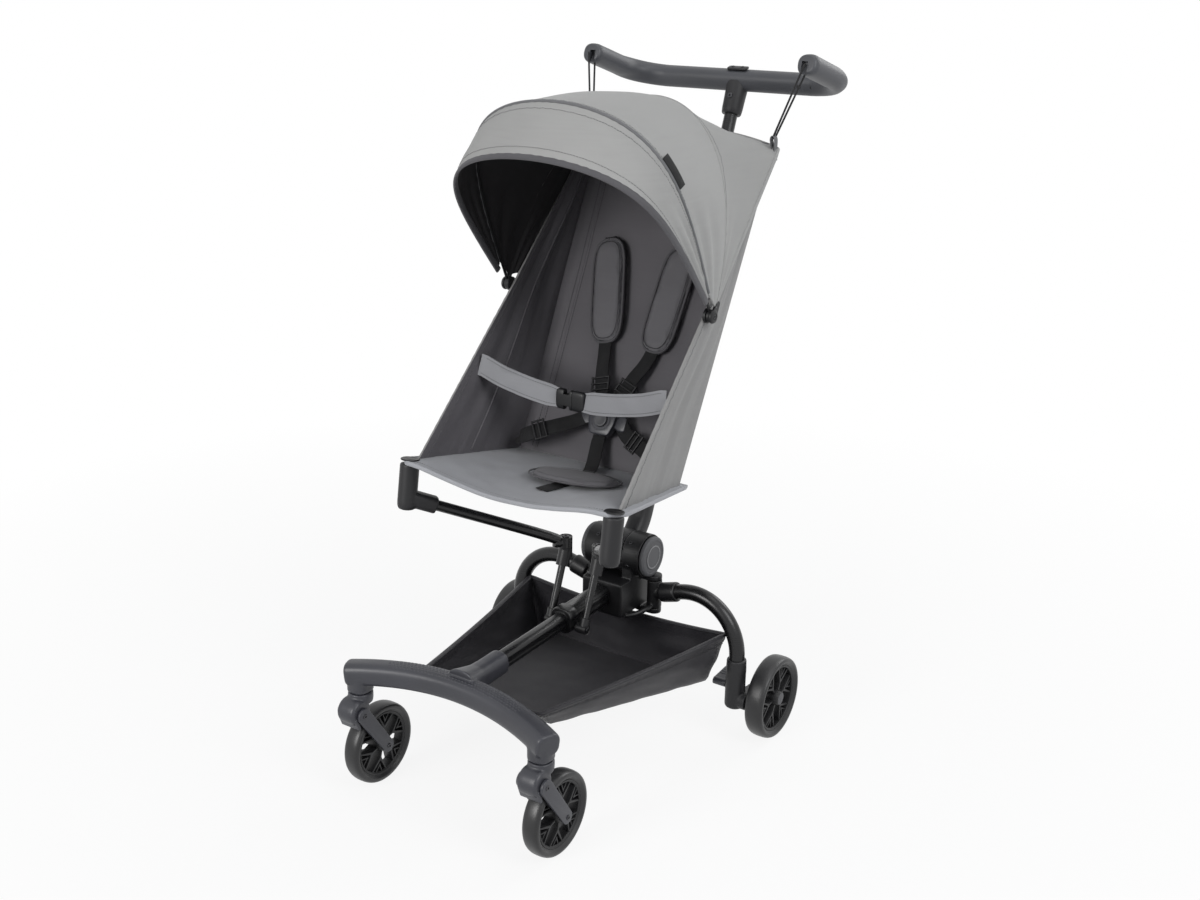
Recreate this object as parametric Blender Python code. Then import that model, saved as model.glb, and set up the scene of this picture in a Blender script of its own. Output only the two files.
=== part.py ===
"""Compact one-pole pushchair, modelled as separate named pieces, in metres, +Z up.

The child faces -Y. "left" is the pusher's left, at +X, and "right" is at -X.
Pieces are worked out with the rear wheel centres at y = 0 and the floor at z = 0,
and the empty called stand then moves them all so that the origin is in the middle.
"""

import math

import bmesh
import bpy
from mathutils import Vector

# Clearances
TOUCH_GAP = 0.0003
RUNNING_GAP = 0.0005

# Wheels
FRONT_WHEEL_RADIUS = 0.060
FRONT_TYRE_WIDTH = 0.026
REAR_WHEEL_RADIUS = 0.0645
REAR_TYRE_WIDTH = 0.030
TYRE_DEPTH = 0.012
TYRE_CROWN = 0.003
RIM_RING = 0.005
RIM_INSET = 0.003
RIM_WEB = 0.010
RIM_HUB_RADIUS = 0.0125
HUB_PROUD = 0.0005
SPOKES = 6
SPOKE_WIDTH = 0.0034
WHEEL_SIDES = 20
AXLE_RADIUS = 0.0040
REAR_AXLE_X = 0.2456

# Front crossbar and casters
CASTER_X = 0.1575
CASTER_Y = -0.482
CASTER_TRAIL = 0.032
SWIVEL_Z = 0.157
CROSSBAR_Z = 0.1845
CROSSBAR_HEIGHT = 0.034
CROSSBAR_DEPTH = 0.036
CROSSBAR_SETBACK = 0.030
CROSSBAR_RISE = 0.010
CROSSBAR_END = 0.0170
STEM_RADIUS = 0.005
STEM_LENGTH = 0.024
HOUSING_RADIUS = 0.0178
HOUSING_NOSE_Y = 0.015
HOUSING_NOSE_Z = 0.131
HOUSING_NOSE_RADIUS = 0.0195
HOUSING_HALF = 0.0162
FORK_THICKNESS = 0.0050
FORK_PIN_Z = 0.128
FORK_TOP_RADIUS = 0.0112
FORK_AXLE_RADIUS = 0.0098
FORK_BOLT_RADIUS = 0.0030

# Centre tube and its sleeve, along a line that rises a little towards the hub
TUBE_SLOPE = math.radians(2.5)
TUBE_LINE_Y = -0.363
TUBE_LINE_Z = 0.2005
TUBE_WIDTH = 0.021
TUBE_HEIGHT = 0.026
TUBE_WALL = 0.0022
SOCKET_WALL = 0.0050
SOCKET_LENGTH = 0.085
SOCKET_MOUTH_Y = -0.363
SLEEVE_WALL = 0.0042
SLEEVE_MOUTH_Y = -0.219
SLEEVE_REAR_Y = -0.004
SLEEVE_COLLAR = 0.0030
SLEEVE_COLLAR_LENGTH = 0.020
TUBE_OVERLAP = 0.030
TUBE_TRAVEL = 0.138

# Hub
HUB_Y = -0.055
HUB_Z = 0.268
HUB_RADIUS = 0.034
HUB_HALF = 0.050
KNUCKLE_HALF = 0.0185
HUB_PIN_RADIUS = 0.0060
HUB_CAP_THICKNESS = 0.0075
HUB_CAP_RADIUS = 0.0315
BLOCK_HALF = 0.036
BLOCK_FRONT_Y = -0.112
BLOCK_REAR_Y = -0.012
BLOCK_LOW_Z = 0.180
BLOCK_HIGH_Z = 0.236

# Rear legs
LEG_X = 0.055
LEG_Y = -0.045
LEG_PIN_RADIUS = 0.0040
LEG_BARREL_RADIUS = 0.0115
LEG_BARREL_LOW = 0.1815
LEG_BARREL_HIGH = 0.2270
LUG_THICKNESS = 0.0090
LEG_START_Z = 0.2045
LEG_PITCH = math.radians(16.0)
LEG_RADIUS = 0.0120
LEG_SLEEVE_WALL = 0.0034
LEG_SLEEVE_START = 0.0145
LEG_SLEEVE_END = 0.0500
FOOT_X = 0.2050
FOOT_TOP_Z = 0.1350
FOOT_LOW_Z = 0.0540
FOOT_WALL = 0.0034
LEG_END_Z = 0.0620
AXLE_INNER_GAP = 0.0025

# Struts and seat arms
STRUT_X = 0.030
STRUT_FOOT_Y = -0.203
STRUT_FOOT_Z = 0.196
STRUT_TOP_Y = -0.166
STRUT_TOP_Z = 0.298
STRUT_RADIUS = 0.0055
STRUT_COLLAR_RADIUS = 0.0098
STRUT_COLLAR_LENGTH = 0.026
STRUT_SEAT = 0.0036
ARM_BARREL_RADIUS = 0.0100
ARM_BARREL_HEIGHT = 0.0160
ARM_PIN_RADIUS = 0.0035
ARM_RADIUS = 0.0080
POST_X = 0.174
POST_RADIUS = 0.0140
POST_LENGTH = 0.068
ARM_JOIN_DEPTH = 0.050
SOCKET_BLOCK = 0.030

# Push pole and handle, along a line leaning back
LEAN = math.radians(21.2)
POLE_OFFSET = 0.0336
POLE_START = 0.052
OUTER_POLE_RADIUS = 0.0128
POLE_WALL = 0.0018
OUTER_POLE_TOP = 0.417
POLE_OVERLAP = 0.040
POLE_TRAVEL = 0.280
BRACKET_RADIUS = 0.0172
HANDLE_ALONG = 0.7585
INNER_POLE_TOP = HANDLE_ALONG - 0.0192
BRACKET_LOW = HANDLE_ALONG - 0.0555
HANDLE_HEIGHT = 0.033
HANDLE_WIDTH = 0.031
HANDLE_HALF = 0.189
HANDLE_TIP_Y = 0.108
HANDLE_TIP_Z = 1.002
HANDLE_TIP_X = 0.185
HANDLE_CORNER = 0.060
ROD_RADIUS = 0.0025
ROD_LOW = 0.385
BUTTON_LENGTH = 0.034
BUTTON_WIDTH = 0.014
BUTTON_HEIGHT = 0.0045
BUTTON_TRAVEL = 0.006

# Seat cloth
BASE_SLOPE = math.radians(8.5)
BASE_DEPTH = 0.222
BASE_REAR_Y = -0.128439
BASE_REAR_Z = 0.421187
POST_Y = BASE_REAR_Y - BASE_DEPTH * math.cos(BASE_SLOPE)
POST_TOP_Z = BASE_REAR_Z + BASE_DEPTH * math.sin(BASE_SLOPE)
BASE_FRONT_HALF = 0.186
BASE_REAR_HALF = 0.150
BASE_LIP = 0.013
BASE_SAG = 0.016
BASE_EDGE = 0.0040
BASE_CROWN = 0.0045
SNAP_RADIUS = 0.0110
SNAP_STEM = 0.0040
SNAP_THICKNESS = 0.0022
BACK_LEAN = 0.474
BACK_LOW_Y = -0.137
BACK_LOW_HALF = 0.142
BACK_TOP_Y = 0.089
BACK_TOP_Z = 0.889
BACK_TOP_HALF = 0.151
BACK_PAD = 0.0085
BACK_SEAM_X = 0.116
SIDE_CLOTH = 0.0026
SIDE_FRONT_X = 0.1650
SIDE_TOP_X = 0.158
SIDE_FOLD = 0.004

# Canopy
PIVOT_X = 0.178
PIVOT_Y = -0.118
PIVOT_Z = 0.676
RIM_ANGLE = math.radians(40.7)
RIM_HEIGHT = 0.287
RIM_SPREAD = 0.070
RIM_POWER = 0.68
BOW_ANGLE = math.radians(25.3)
BOW_HEIGHT = 0.313
BOW_SPREAD = 0.047
BOW_POWER = 0.62
SEAM_ANGLE = math.radians(-22.9)
SEAM_HEIGHT = 0.300
SEAM_SPREAD = 0.006
SEAM_POWER = 0.95
CANOPY_CLOTH = 0.0025
CANOPY_BULGE = 0.009
CANOPY_SIDES = 18
CANOPY_START = math.radians(2.0)
BOW_STRIP = 0.0050
BOW_THICKNESS = 0.0022
BOW_INSET = 0.0040
EYE_RADIUS = 0.0090
EYE_BORE = 0.0034
CLIP_RADIUS = 0.0105
CLIP_CAP = 0.0048

# Harness
PAD_LENGTH = 0.165
PAD_WIDTH = 0.058
PAD_THICKNESS = 0.013
PAD_CENTRE_Z = 0.662
PAD_STANDOFF = 0.0035
WEB_WIDTH = 0.021
WEB_THICKNESS = 0.0022
BUCKLE_X = 0.003
BUCKLE_Y = -0.120
BUCKLE_Z = 0.494
BUCKLE_WIDTH = 0.046
BUCKLE_HEIGHT = 0.044
BUCKLE_THICKNESS = 0.014
BUCKLE_BUTTON_RADIUS = 0.0105
BUCKLE_BUTTON_HEIGHT = 0.0030
TONGUE_LENGTH = 0.014
CROTCH_PAD_LENGTH = 0.140
CROTCH_PAD_WIDTH = 0.086
CROTCH_PAD_THICKNESS = 0.011
WAIST_BAND = 0.030
WAIST_SOCKET = 0.028
WAIST_BUCKLE_HEIGHT = 0.030
WAIST_BUCKLE_THICKNESS = 0.011
WAIST_PRONG = 0.018

# Basket
BASKET_FRONT_Y = -0.410
BASKET_FRONT_HALF = 0.105
BASKET_FRONT_Z = 0.172
BASKET_REAR_Y = -0.046
BASKET_REAR_Z = 0.170
BASKET_FLOOR_FRONT = (0.095, -0.375, 0.138)
BASKET_FLOOR_REAR = (0.160, -0.056, 0.089)
BASKET_CLOTH = 0.0028
BASKET_FOLD = 0.0035

# Suspension cords
CORD_RADIUS = 0.0015
CORD_SPREAD = 0.0045
CORD_LOOP = 0.0036

# Brake pedal
PEDAL_LENGTH = 0.034
PEDAL_WIDTH = 0.021
PEDAL_THICKNESS = 0.006
PEDAL_BARREL = 0.0060
PEDAL_Z = 0.088

SIDES = (("left", 1.0), ("right", -1.0))
LENGTH_FRONT = CASTER_Y - HOUSING_NOSE_Y - HOUSING_NOSE_RADIUS
POLE_DIR = Vector((0.0, math.sin(LEAN), math.cos(LEAN)))
POLE_BACK = Vector((0.0, math.cos(LEAN), -math.sin(LEAN)))
HUB = Vector((0.0, HUB_Y, HUB_Z))
BACK_NORMAL = Vector((0.0, -1.0, BACK_LEAN)).normalized()
BASE_REARWARD = Vector((0.0, math.cos(BASE_SLOPE), -math.sin(BASE_SLOPE)))
BASE_UP = Vector((0.0, math.sin(BASE_SLOPE), math.cos(BASE_SLOPE)))
TUBE_DIR = Vector((0.0, math.cos(TUBE_SLOPE), math.sin(TUBE_SLOPE)))
ACROSS = Vector((1.0, 0.0, 0.0))


def pole_point(along, behind=POLE_OFFSET, x=0.0):
    """A point given along the pole from the hub's centre, and behind that line."""
    return HUB + POLE_DIR * along + POLE_BACK * behind + ACROSS * x


def tube_point(y, x=0.0, up=0.0):
    """A point on the centre tube's line at this y."""
    along = (y - TUBE_LINE_Y) / TUBE_DIR.y
    start = Vector((x, TUBE_LINE_Y, TUBE_LINE_Z + up))
    return start + TUBE_DIR * along


HANDLE_CENTRE = pole_point(HANDLE_ALONG)
LENGTH_REAR = HANDLE_CENTRE.y + HANDLE_WIDTH / 2


def clear_scene():
    for item in list(bpy.data.objects):
        bpy.data.objects.remove(item, do_unlink=True)


def material(name, colour, roughness, metallic=0.0):
    made = bpy.data.materials.new(name)
    made.use_nodes = True
    shader = made.node_tree.nodes["Principled BSDF"]
    shader.inputs["Base Color"].default_value = (*colour, 1.0)
    shader.inputs["Roughness"].default_value = roughness
    shader.inputs["Metallic"].default_value = metallic
    return made


clear_scene()
STAND = bpy.data.objects.new("stand", None)
bpy.context.scene.collection.objects.link(STAND)
STAND.location = (0.0, -(LENGTH_FRONT + LENGTH_REAR) / 2, 0.0)

SATIN_BLACK = material("satin_black_tube", (0.022, 0.022, 0.025), 0.35, 0.6)
PLASTIC = material("dark_grey_plastic", (0.050, 0.052, 0.056), 0.55)
BLACK_PLASTIC = material("black_plastic", (0.020, 0.020, 0.022), 0.45)
TYRE = material("tyre", (0.018, 0.018, 0.020), 0.40)
STEEL = material("steel", (0.35, 0.35, 0.36), 0.35, 1.0)
GREY_CLOTH = material("grey_cloth", (0.27, 0.27, 0.26), 0.85)
DARK_CLOTH = material("dark_cloth", (0.075, 0.075, 0.080), 0.9)
BLACK_CLOTH = material("black_cloth", (0.018, 0.018, 0.020), 0.9)
WEBBING = material("webbing", (0.015, 0.015, 0.016), 0.8)
GRIP = material("grip", (0.035, 0.036, 0.038), 0.7)


def finish(name, verts, faces, finish_material, pivot=(0.0, 0.0, 0.0), sharp=35.0):
    """Makes a named object with its origin at the pivot and its faces pointing out."""
    pivot = Vector(pivot)
    mesh = bpy.data.meshes.new(name)
    mesh.from_pydata([tuple(Vector(v) - pivot) for v in verts], [], faces)
    shape = bmesh.new()
    shape.from_mesh(mesh)
    bmesh.ops.recalc_face_normals(shape, faces=shape.faces)
    shape.to_mesh(mesh)
    shape.free()
    mesh.materials.append(finish_material)
    mesh.shade_smooth()
    mesh.set_sharp_from_angle(angle=math.radians(sharp))
    made = bpy.data.objects.new(name, mesh)
    bpy.context.scene.collection.objects.link(made)
    made.parent = STAND
    made.location = pivot
    return made


def hide_helper(helper):
    helper.hide_render = True
    helper.display_type = "WIRE"
    return helper


def boolean(target, helper, operation):
    hide_helper(helper)
    step = target.modifiers.new(helper.name, "BOOLEAN")
    step.operation = operation
    step.solver = "EXACT"
    step.object = helper
    return target


def join(target, *helpers):
    for helper in helpers:
        boolean(target, helper, "UNION")
    return target


def cut(target, *helpers):
    for helper in helpers:
        boolean(target, helper, "DIFFERENCE")
    return target


def round_section(radius, sides=12):
    turns = [2 * math.pi * (k + 0.5) / sides for k in range(sides)]
    return [(radius * math.cos(a), radius * math.sin(a)) for a in turns]


def soft_section(width, height, power=3.2, sides=12):
    """A superellipse section: a box with well rounded corners."""
    points = []
    for k in range(sides):
        a = 2 * math.pi * (k + 0.5) / sides
        c, s = math.cos(a), math.sin(a)
        u = math.copysign(abs(c) ** (2 / power), c) * width / 2
        v = math.copysign(abs(s) ** (2 / power), s) * height / 2
        points.append((u, v))
    return points


def sweep(path, section, reference, inner=None, scales=None):
    """Runs a section along a path. The section's first axis stays close to reference."""
    path = [Vector(p) for p in path]
    rings = []
    holes = []
    for k, point in enumerate(path):
        before = path[max(k - 1, 0)]
        after = path[min(k + 1, len(path) - 1)]
        ahead = (after - before).normalized()
        side = (Vector(reference) - ahead * ahead.dot(Vector(reference))).normalized()
        up = ahead.cross(side)
        scale = scales[k] if scales else 1.0
        rings.append([point + (side * u + up * v) * scale for u, v in section])
        if inner:
            holes.append([point + side * u + up * v for u, v in inner])
    verts = [v for ring in rings for v in ring]
    count = len(section)
    faces = []

    def skin(start, flip):
        for k in range(len(path) - 1):
            for j in range(count):
                a = start + k * count + j
                b = start + k * count + (j + 1) % count
                quad = (a, b, b + count, a + count)
                faces.append(tuple(reversed(quad)) if flip else quad)

    skin(0, False)
    last = (len(path) - 1) * count
    if inner:
        base = len(verts)
        verts += [v for ring in holes for v in ring]
        skin(base, True)
        for j in range(count):
            n = (j + 1) % count
            faces.append((n, j, base + j, base + n))
            faces.append((last + j, last + n, base + last + n, base + last + j))
    else:
        faces.append(tuple(range(count - 1, -1, -1)))
        faces.append(tuple(range(last, last + count)))
    return verts, faces


def turned(profile, centre, axis, sides=16, solid=False):
    """Turns (radius, height) points about an axis. A solid profile ends on the axis."""
    axis = Vector(axis).normalized()
    side = axis.orthogonal().normalized()
    if abs(axis.x) > 0.99:
        side = Vector((0.0, 0.0, 1.0))
    up = axis.cross(side)
    centre = Vector(centre)
    verts = []
    faces = []
    for radius, height in profile:
        for k in range(sides):
            a = 2 * math.pi * (k + 0.5) / sides
            turn = side * math.cos(a) + up * math.sin(a)
            verts.append(centre + axis * height + turn * radius)
    rows = len(profile)
    links = rows - 1 if solid else rows
    for r in range(links):
        for k in range(sides):
            a = r * sides + k
            b = r * sides + (k + 1) % sides
            c = ((r + 1) % rows) * sides + (k + 1) % sides
            d = ((r + 1) % rows) * sides + k
            faces.append((a, b, c, d))
    if solid:
        faces.append(tuple(range(sides - 1, -1, -1)))
        faces.append(tuple(range((rows - 1) * sides, rows * sides)))
    return verts, faces


def rod(start, end, radius, sides=12, bevel=0.0):
    """A round bar between two points, with its end edges broken."""
    start, end = Vector(start), Vector(end)
    long = (end - start).length
    if bevel:
        profile = [(radius - bevel, 0.0), (radius, bevel)]
        profile += [(radius, long - bevel), (radius - bevel, long)]
    else:
        profile = [(radius, 0.0), (radius, long)]
    return turned(profile, start, end - start, sides, solid=True)


def prism(outline, low, high, axis):
    """An outline pushed from low to high along x, y or z."""
    order = {"x": (2, 0, 1), "y": (0, 2, 1), "z": (0, 1, 2)}[axis]
    verts = []
    for level in (low, high):
        for u, v in outline:
            values = (u, v, level)
            verts.append(tuple(values[k] for k in order))
    n = len(outline)
    faces = [tuple(range(n)), tuple(range(2 * n - 1, n - 1, -1))]
    faces += [(j, j + n, (j + 1) % n + n, (j + 1) % n) for j in range(n)]
    return verts, faces


def capsule(start, end, start_radius, end_radius, steps=6):
    """The outline round two circles, in the plane's own two axes."""
    a, b = Vector(start), Vector(end)
    gap = (b - a).length
    heading = math.atan2(b.y - a.y, b.x - a.x)
    spread = math.acos((start_radius - end_radius) / gap)
    points = []
    for centre, radius, first, last in (
        (a, start_radius, heading + spread, heading + 2 * math.pi - spread),
        (b, end_radius, heading - spread, heading + spread),
    ):
        for k in range(steps):
            turn = first + (last - first) * k / (steps - 1)
            points.append((centre.x + radius * math.cos(turn), centre.y + radius * math.sin(turn)))
    return points


def box(low, high):
    x0, y0, z0 = low
    x1, y1, z1 = high
    verts = [(x, y, z) for x in (x0, x1) for y in (y0, y1) for z in (z0, z1)]
    faces = [(0, 1, 3, 2), (4, 6, 7, 5), (0, 4, 5, 1), (2, 3, 7, 6), (0, 2, 6, 4), (1, 5, 7, 3)]
    return verts, faces


def bevelled(made, width, segments=2):
    step = made.modifiers.new("edge", "BEVEL")
    step.width = width
    step.segments = segments
    step.limit_method = "ANGLE"
    return made


def bezier(a, b, c, d, steps):
    a, b, c, d = (Vector(p) for p in (a, b, c, d))
    points = []
    for k in range(steps + 1):
        t = k / steps
        s = 1 - t
        points.append(a * s**3 + b * 3 * s * s * t + c * 3 * s * t * t + d * t**3)
    return points


def smooth_path(points, steps):
    """Points on a smooth curve through the given ones."""
    points = [Vector(p) for p in points]
    path = []
    for k in range(len(points) - 1):
        before = points[k - 1] if k else points[0] * 2 - points[1]
        after = points[k + 2] if k + 2 < len(points) else points[-1] * 2 - points[-2]
        a, b = points[k], points[k + 1]
        for j in range(steps):
            t = j / steps
            path.append(
                0.5
                * (
                    a * 2
                    + (b - before) * t
                    + (before * 2 - a * 5 + b * 4 - after) * t * t
                    + (a * 3 - before - b * 3 + after) * t**3
                )
            )
    path.append(points[-1])
    return path


def sheet(rows, thickness):
    """A closed cloth solid about a grid of points. thickness is a value or a grid of them."""
    count_v, count_u = len(rows), len(rows[0])
    faces = []
    front = []
    back = []
    for i in range(count_v):
        for j in range(count_u):
            along = rows[min(i + 1, count_v - 1)][j] - rows[max(i - 1, 0)][j]
            across = rows[i][min(j + 1, count_u - 1)] - rows[i][max(j - 1, 0)]
            normal = across.cross(along).normalized()
            half = (thickness[i][j] if isinstance(thickness, list) else thickness) / 2
            front.append(rows[i][j] + normal * half)
            back.append(rows[i][j] - normal * half)
    base = len(front)
    for i in range(count_v - 1):
        for j in range(count_u - 1):
            a = i * count_u + j
            b, c, d = a + 1, a + 1 + count_u, a + count_u
            faces.append((a, b, c, d))
            faces.append((base + d, base + c, base + b, base + a))
    edge = [j for j in range(count_u)]
    edge += [i * count_u + count_u - 1 for i in range(1, count_v)]
    edge += [(count_v - 1) * count_u + j for j in range(count_u - 2, -1, -1)]
    edge += [i * count_u for i in range(count_v - 2, 0, -1)]
    for k, a in enumerate(edge):
        b = edge[(k + 1) % len(edge)]
        faces.append((b, a, base + a, base + b))
    return front + back, faces


def merge_parts(parts):
    verts = []
    faces = []
    for more_verts, more_faces in parts:
        start = len(verts)
        verts += list(more_verts)
        faces += [tuple(start + v for v in face) for face in more_faces]
    return verts, faces


def add_wheel(prefix, side, x, y, radius, width, blind):
    """A tyre on a rim whose spokes fork towards the ring."""
    centre = (x, y, radius)
    tyre_in = radius - TYRE_DEPTH
    half = width / 2
    tyre_profile = [
        (tyre_in, -half + TYRE_CROWN),
        (tyre_in + TYRE_CROWN, -half),
        (radius - 2 * TYRE_CROWN, -half),
        (radius, -half / 2),
        (radius, half / 2),
        (radius - 2 * TYRE_CROWN, half),
        (tyre_in + TYRE_CROWN, half),
        (tyre_in, half - TYRE_CROWN),
    ]
    flat = radius * math.cos(math.pi / WHEEL_SIDES)
    scale = radius / flat
    tyre_profile = [(r * scale, h) for r, h in tyre_profile]
    verts, faces = turned(tyre_profile, centre, ACROSS, WHEEL_SIDES)
    finish(f"{prefix}_tyre_{side}", verts, faces, TYRE, centre)
    rim_out = tyre_in * scale - TOUCH_GAP
    ring_in = rim_out - RIM_RING
    rim_half = half - RIM_INSET
    hub_half = half + HUB_PROUD
    bore = AXLE_RADIUS + TOUCH_GAP
    outer = 1.0 if x > 0 else -1.0
    ring_profile = [
        (ring_in, -rim_half + 0.003),
        (rim_out, -rim_half),
        (rim_out, rim_half),
        (ring_in, rim_half - 0.003),
    ]
    ring = turned(ring_profile, centre, ACROSS, WHEEL_SIDES)
    rim = finish(f"{prefix}_rim_{side}", *ring, BLACK_PLASTIC, centre)
    spokes = []
    fork_at = RIM_HUB_RADIUS + (ring_in - RIM_HUB_RADIUS) * 0.36
    half_turn = math.degrees(SPOKE_WIDTH / 2 / fork_at)
    hub_turn = math.degrees(SPOKE_WIDTH / 2 / RIM_HUB_RADIUS)
    end_turn = math.degrees(SPOKE_WIDTH / 2 / ring_in)
    branch = 360.0 / SPOKES * 0.31
    for k in range(SPOKES):
        polar = [
            (RIM_HUB_RADIUS - 0.003, -hub_turn),
            (RIM_HUB_RADIUS - 0.003, hub_turn),
            (fork_at, half_turn),
            (ring_in + 0.002, branch + end_turn),
            (ring_in + 0.002, branch - end_turn),
            (fork_at + 1.9 * SPOKE_WIDTH, 0.0),
            (ring_in + 0.002, -branch + end_turn),
            (ring_in + 0.002, -branch - end_turn),
            (fork_at, -half_turn),
        ]
        turn = k * 360.0 / SPOKES
        outline = []
        for r, a in polar:
            angle = math.radians(a + turn)
            outline.append((y + r * math.sin(angle), radius + r * math.cos(angle)))
        spokes.append(prism(outline, x - RIM_WEB / 2, x + RIM_WEB / 2, "x"))
    hub = rod(
        (x - hub_half, y, radius), (x + hub_half, y, radius), RIM_HUB_RADIUS, 16
    )
    hole = rod((x - half - 0.01, y, radius), (x + half + 0.01, y, radius), bore)
    join(
        rim,
        finish(f"{prefix}_{side}_spokes", *merge_parts(spokes), BLACK_PLASTIC, centre),
        finish(f"{prefix}_{side}_hub", *hub, BLACK_PLASTIC, centre),
    )
    cut(rim, finish(f"{prefix}_{side}_bore", *hole, BLACK_PLASTIC, centre))
    if blind:
        lid_in = x + outer * (hub_half - 0.004)
        lid_out = x + outer * (hub_half + 0.0005)
        lid = rod((lid_in, y, radius), (lid_out, y, radius), RIM_HUB_RADIUS - 0.001, 20, 0.001)
        join(rim, finish(f"{prefix}_{side}_lid", *lid, BLACK_PLASTIC, centre))
    return rim


def add_casters():
    wheel_y = CASTER_Y + CASTER_TRAIL
    nose_y = CASTER_Y - HOUSING_NOSE_Y
    fork_in = HOUSING_HALF + TOUCH_GAP
    fork_out = fork_in + FORK_THICKNESS
    for side, sign in SIDES:
        x = sign * CASTER_X
        stem = (x, CASTER_Y, SWIVEL_Z)
        low = FORK_PIN_Z + FORK_TOP_RADIUS + RUNNING_GAP
        top = SWIVEL_Z - TOUCH_GAP
        housing = finish(
            f"caster_housing_{side}",
            *rod((x, CASTER_Y, low), (x, CASTER_Y, top), HOUSING_RADIUS, 16, 0.0012),
            PLASTIC,
            stem,
        )
        nose = turned(
            [
                (HOUSING_NOSE_RADIUS - 0.005, -HOUSING_HALF),
                (HOUSING_NOSE_RADIUS - 0.0012, -HOUSING_HALF + 0.0025),
                (HOUSING_NOSE_RADIUS, -HOUSING_HALF + 0.007),
                (HOUSING_NOSE_RADIUS, HOUSING_HALF - 0.007),
                (HOUSING_NOSE_RADIUS - 0.0012, HOUSING_HALF - 0.0025),
                (HOUSING_NOSE_RADIUS - 0.005, HOUSING_HALF),
            ],
            (x, nose_y, HOUSING_NOSE_Z),
            ACROSS,
            16,
            solid=True,
        )
        pin_top = SWIVEL_Z + STEM_LENGTH
        stem_pin = rod((x, CASTER_Y, SWIVEL_Z - 0.008), (x, CASTER_Y, pin_top), STEM_RADIUS)
        join(
            housing,
            finish(f"nose_{side}", *nose, PLASTIC, stem),
            finish(f"stem_pin_{side}", *stem_pin, STEEL, stem),
        )
        bolt_bore = rod(
            (x - fork_out, nose_y, FORK_PIN_Z),
            (x + fork_out, nose_y, FORK_PIN_Z),
            FORK_BOLT_RADIUS + TOUCH_GAP,
        )
        cut(housing, finish(f"bolt_bore_{side}", *bolt_bore, PLASTIC, stem))
        outline = capsule(
            (nose_y, FORK_PIN_Z),
            (wheel_y, FRONT_WHEEL_RADIUS),
            FORK_TOP_RADIUS,
            FORK_AXLE_RADIUS,
        )
        arms = [prism(outline, x + a, x + b, "x") for a, b in ((-fork_out, -fork_in), (fork_in, fork_out))]
        fork = finish(f"caster_fork_{side}", *arms[0], PLASTIC, stem)
        axle = rod(
            (x - fork_out - 0.001, wheel_y, FRONT_WHEEL_RADIUS),
            (x + fork_out + 0.001, wheel_y, FRONT_WHEEL_RADIUS),
            AXLE_RADIUS,
        )
        bolt = rod(
            (x - fork_out - 0.001, nose_y, FORK_PIN_Z),
            (x + fork_out + 0.001, nose_y, FORK_PIN_Z),
            FORK_BOLT_RADIUS,
        )
        join(
            fork,
            finish(f"fork_arm_{side}", *arms[1], PLASTIC, stem),
            finish(f"fork_axle_{side}", *axle, STEEL, stem),
            finish(f"fork_bolt_{side}", *bolt, STEEL, stem),
        )
        add_wheel("front", side, x, wheel_y, FRONT_WHEEL_RADIUS, FRONT_TYRE_WIDTH, False)


def crossbar_path():
    """Along the bowed bar from one squared end to the other, with a size for each station."""
    reach = CASTER_X + CROSSBAR_END
    stations = [1.0, 0.99, 0.97, 0.85, 0.7, 0.5, 0.25]
    stations = stations + [0.0] + [-t for t in reversed(stations)]
    path = []
    for t in stations:
        x = reach * t
        bow = max(1 - (x / CASTER_X) ** 2, 0.0)
        path.append(Vector((x, CASTER_Y + CROSSBAR_SETBACK * bow, CROSSBAR_Z + CROSSBAR_RISE * bow)))
    scales = [0.84, 0.95] + [1.0] * (len(path) - 4) + [0.95, 0.84]
    return path, scales


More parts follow.
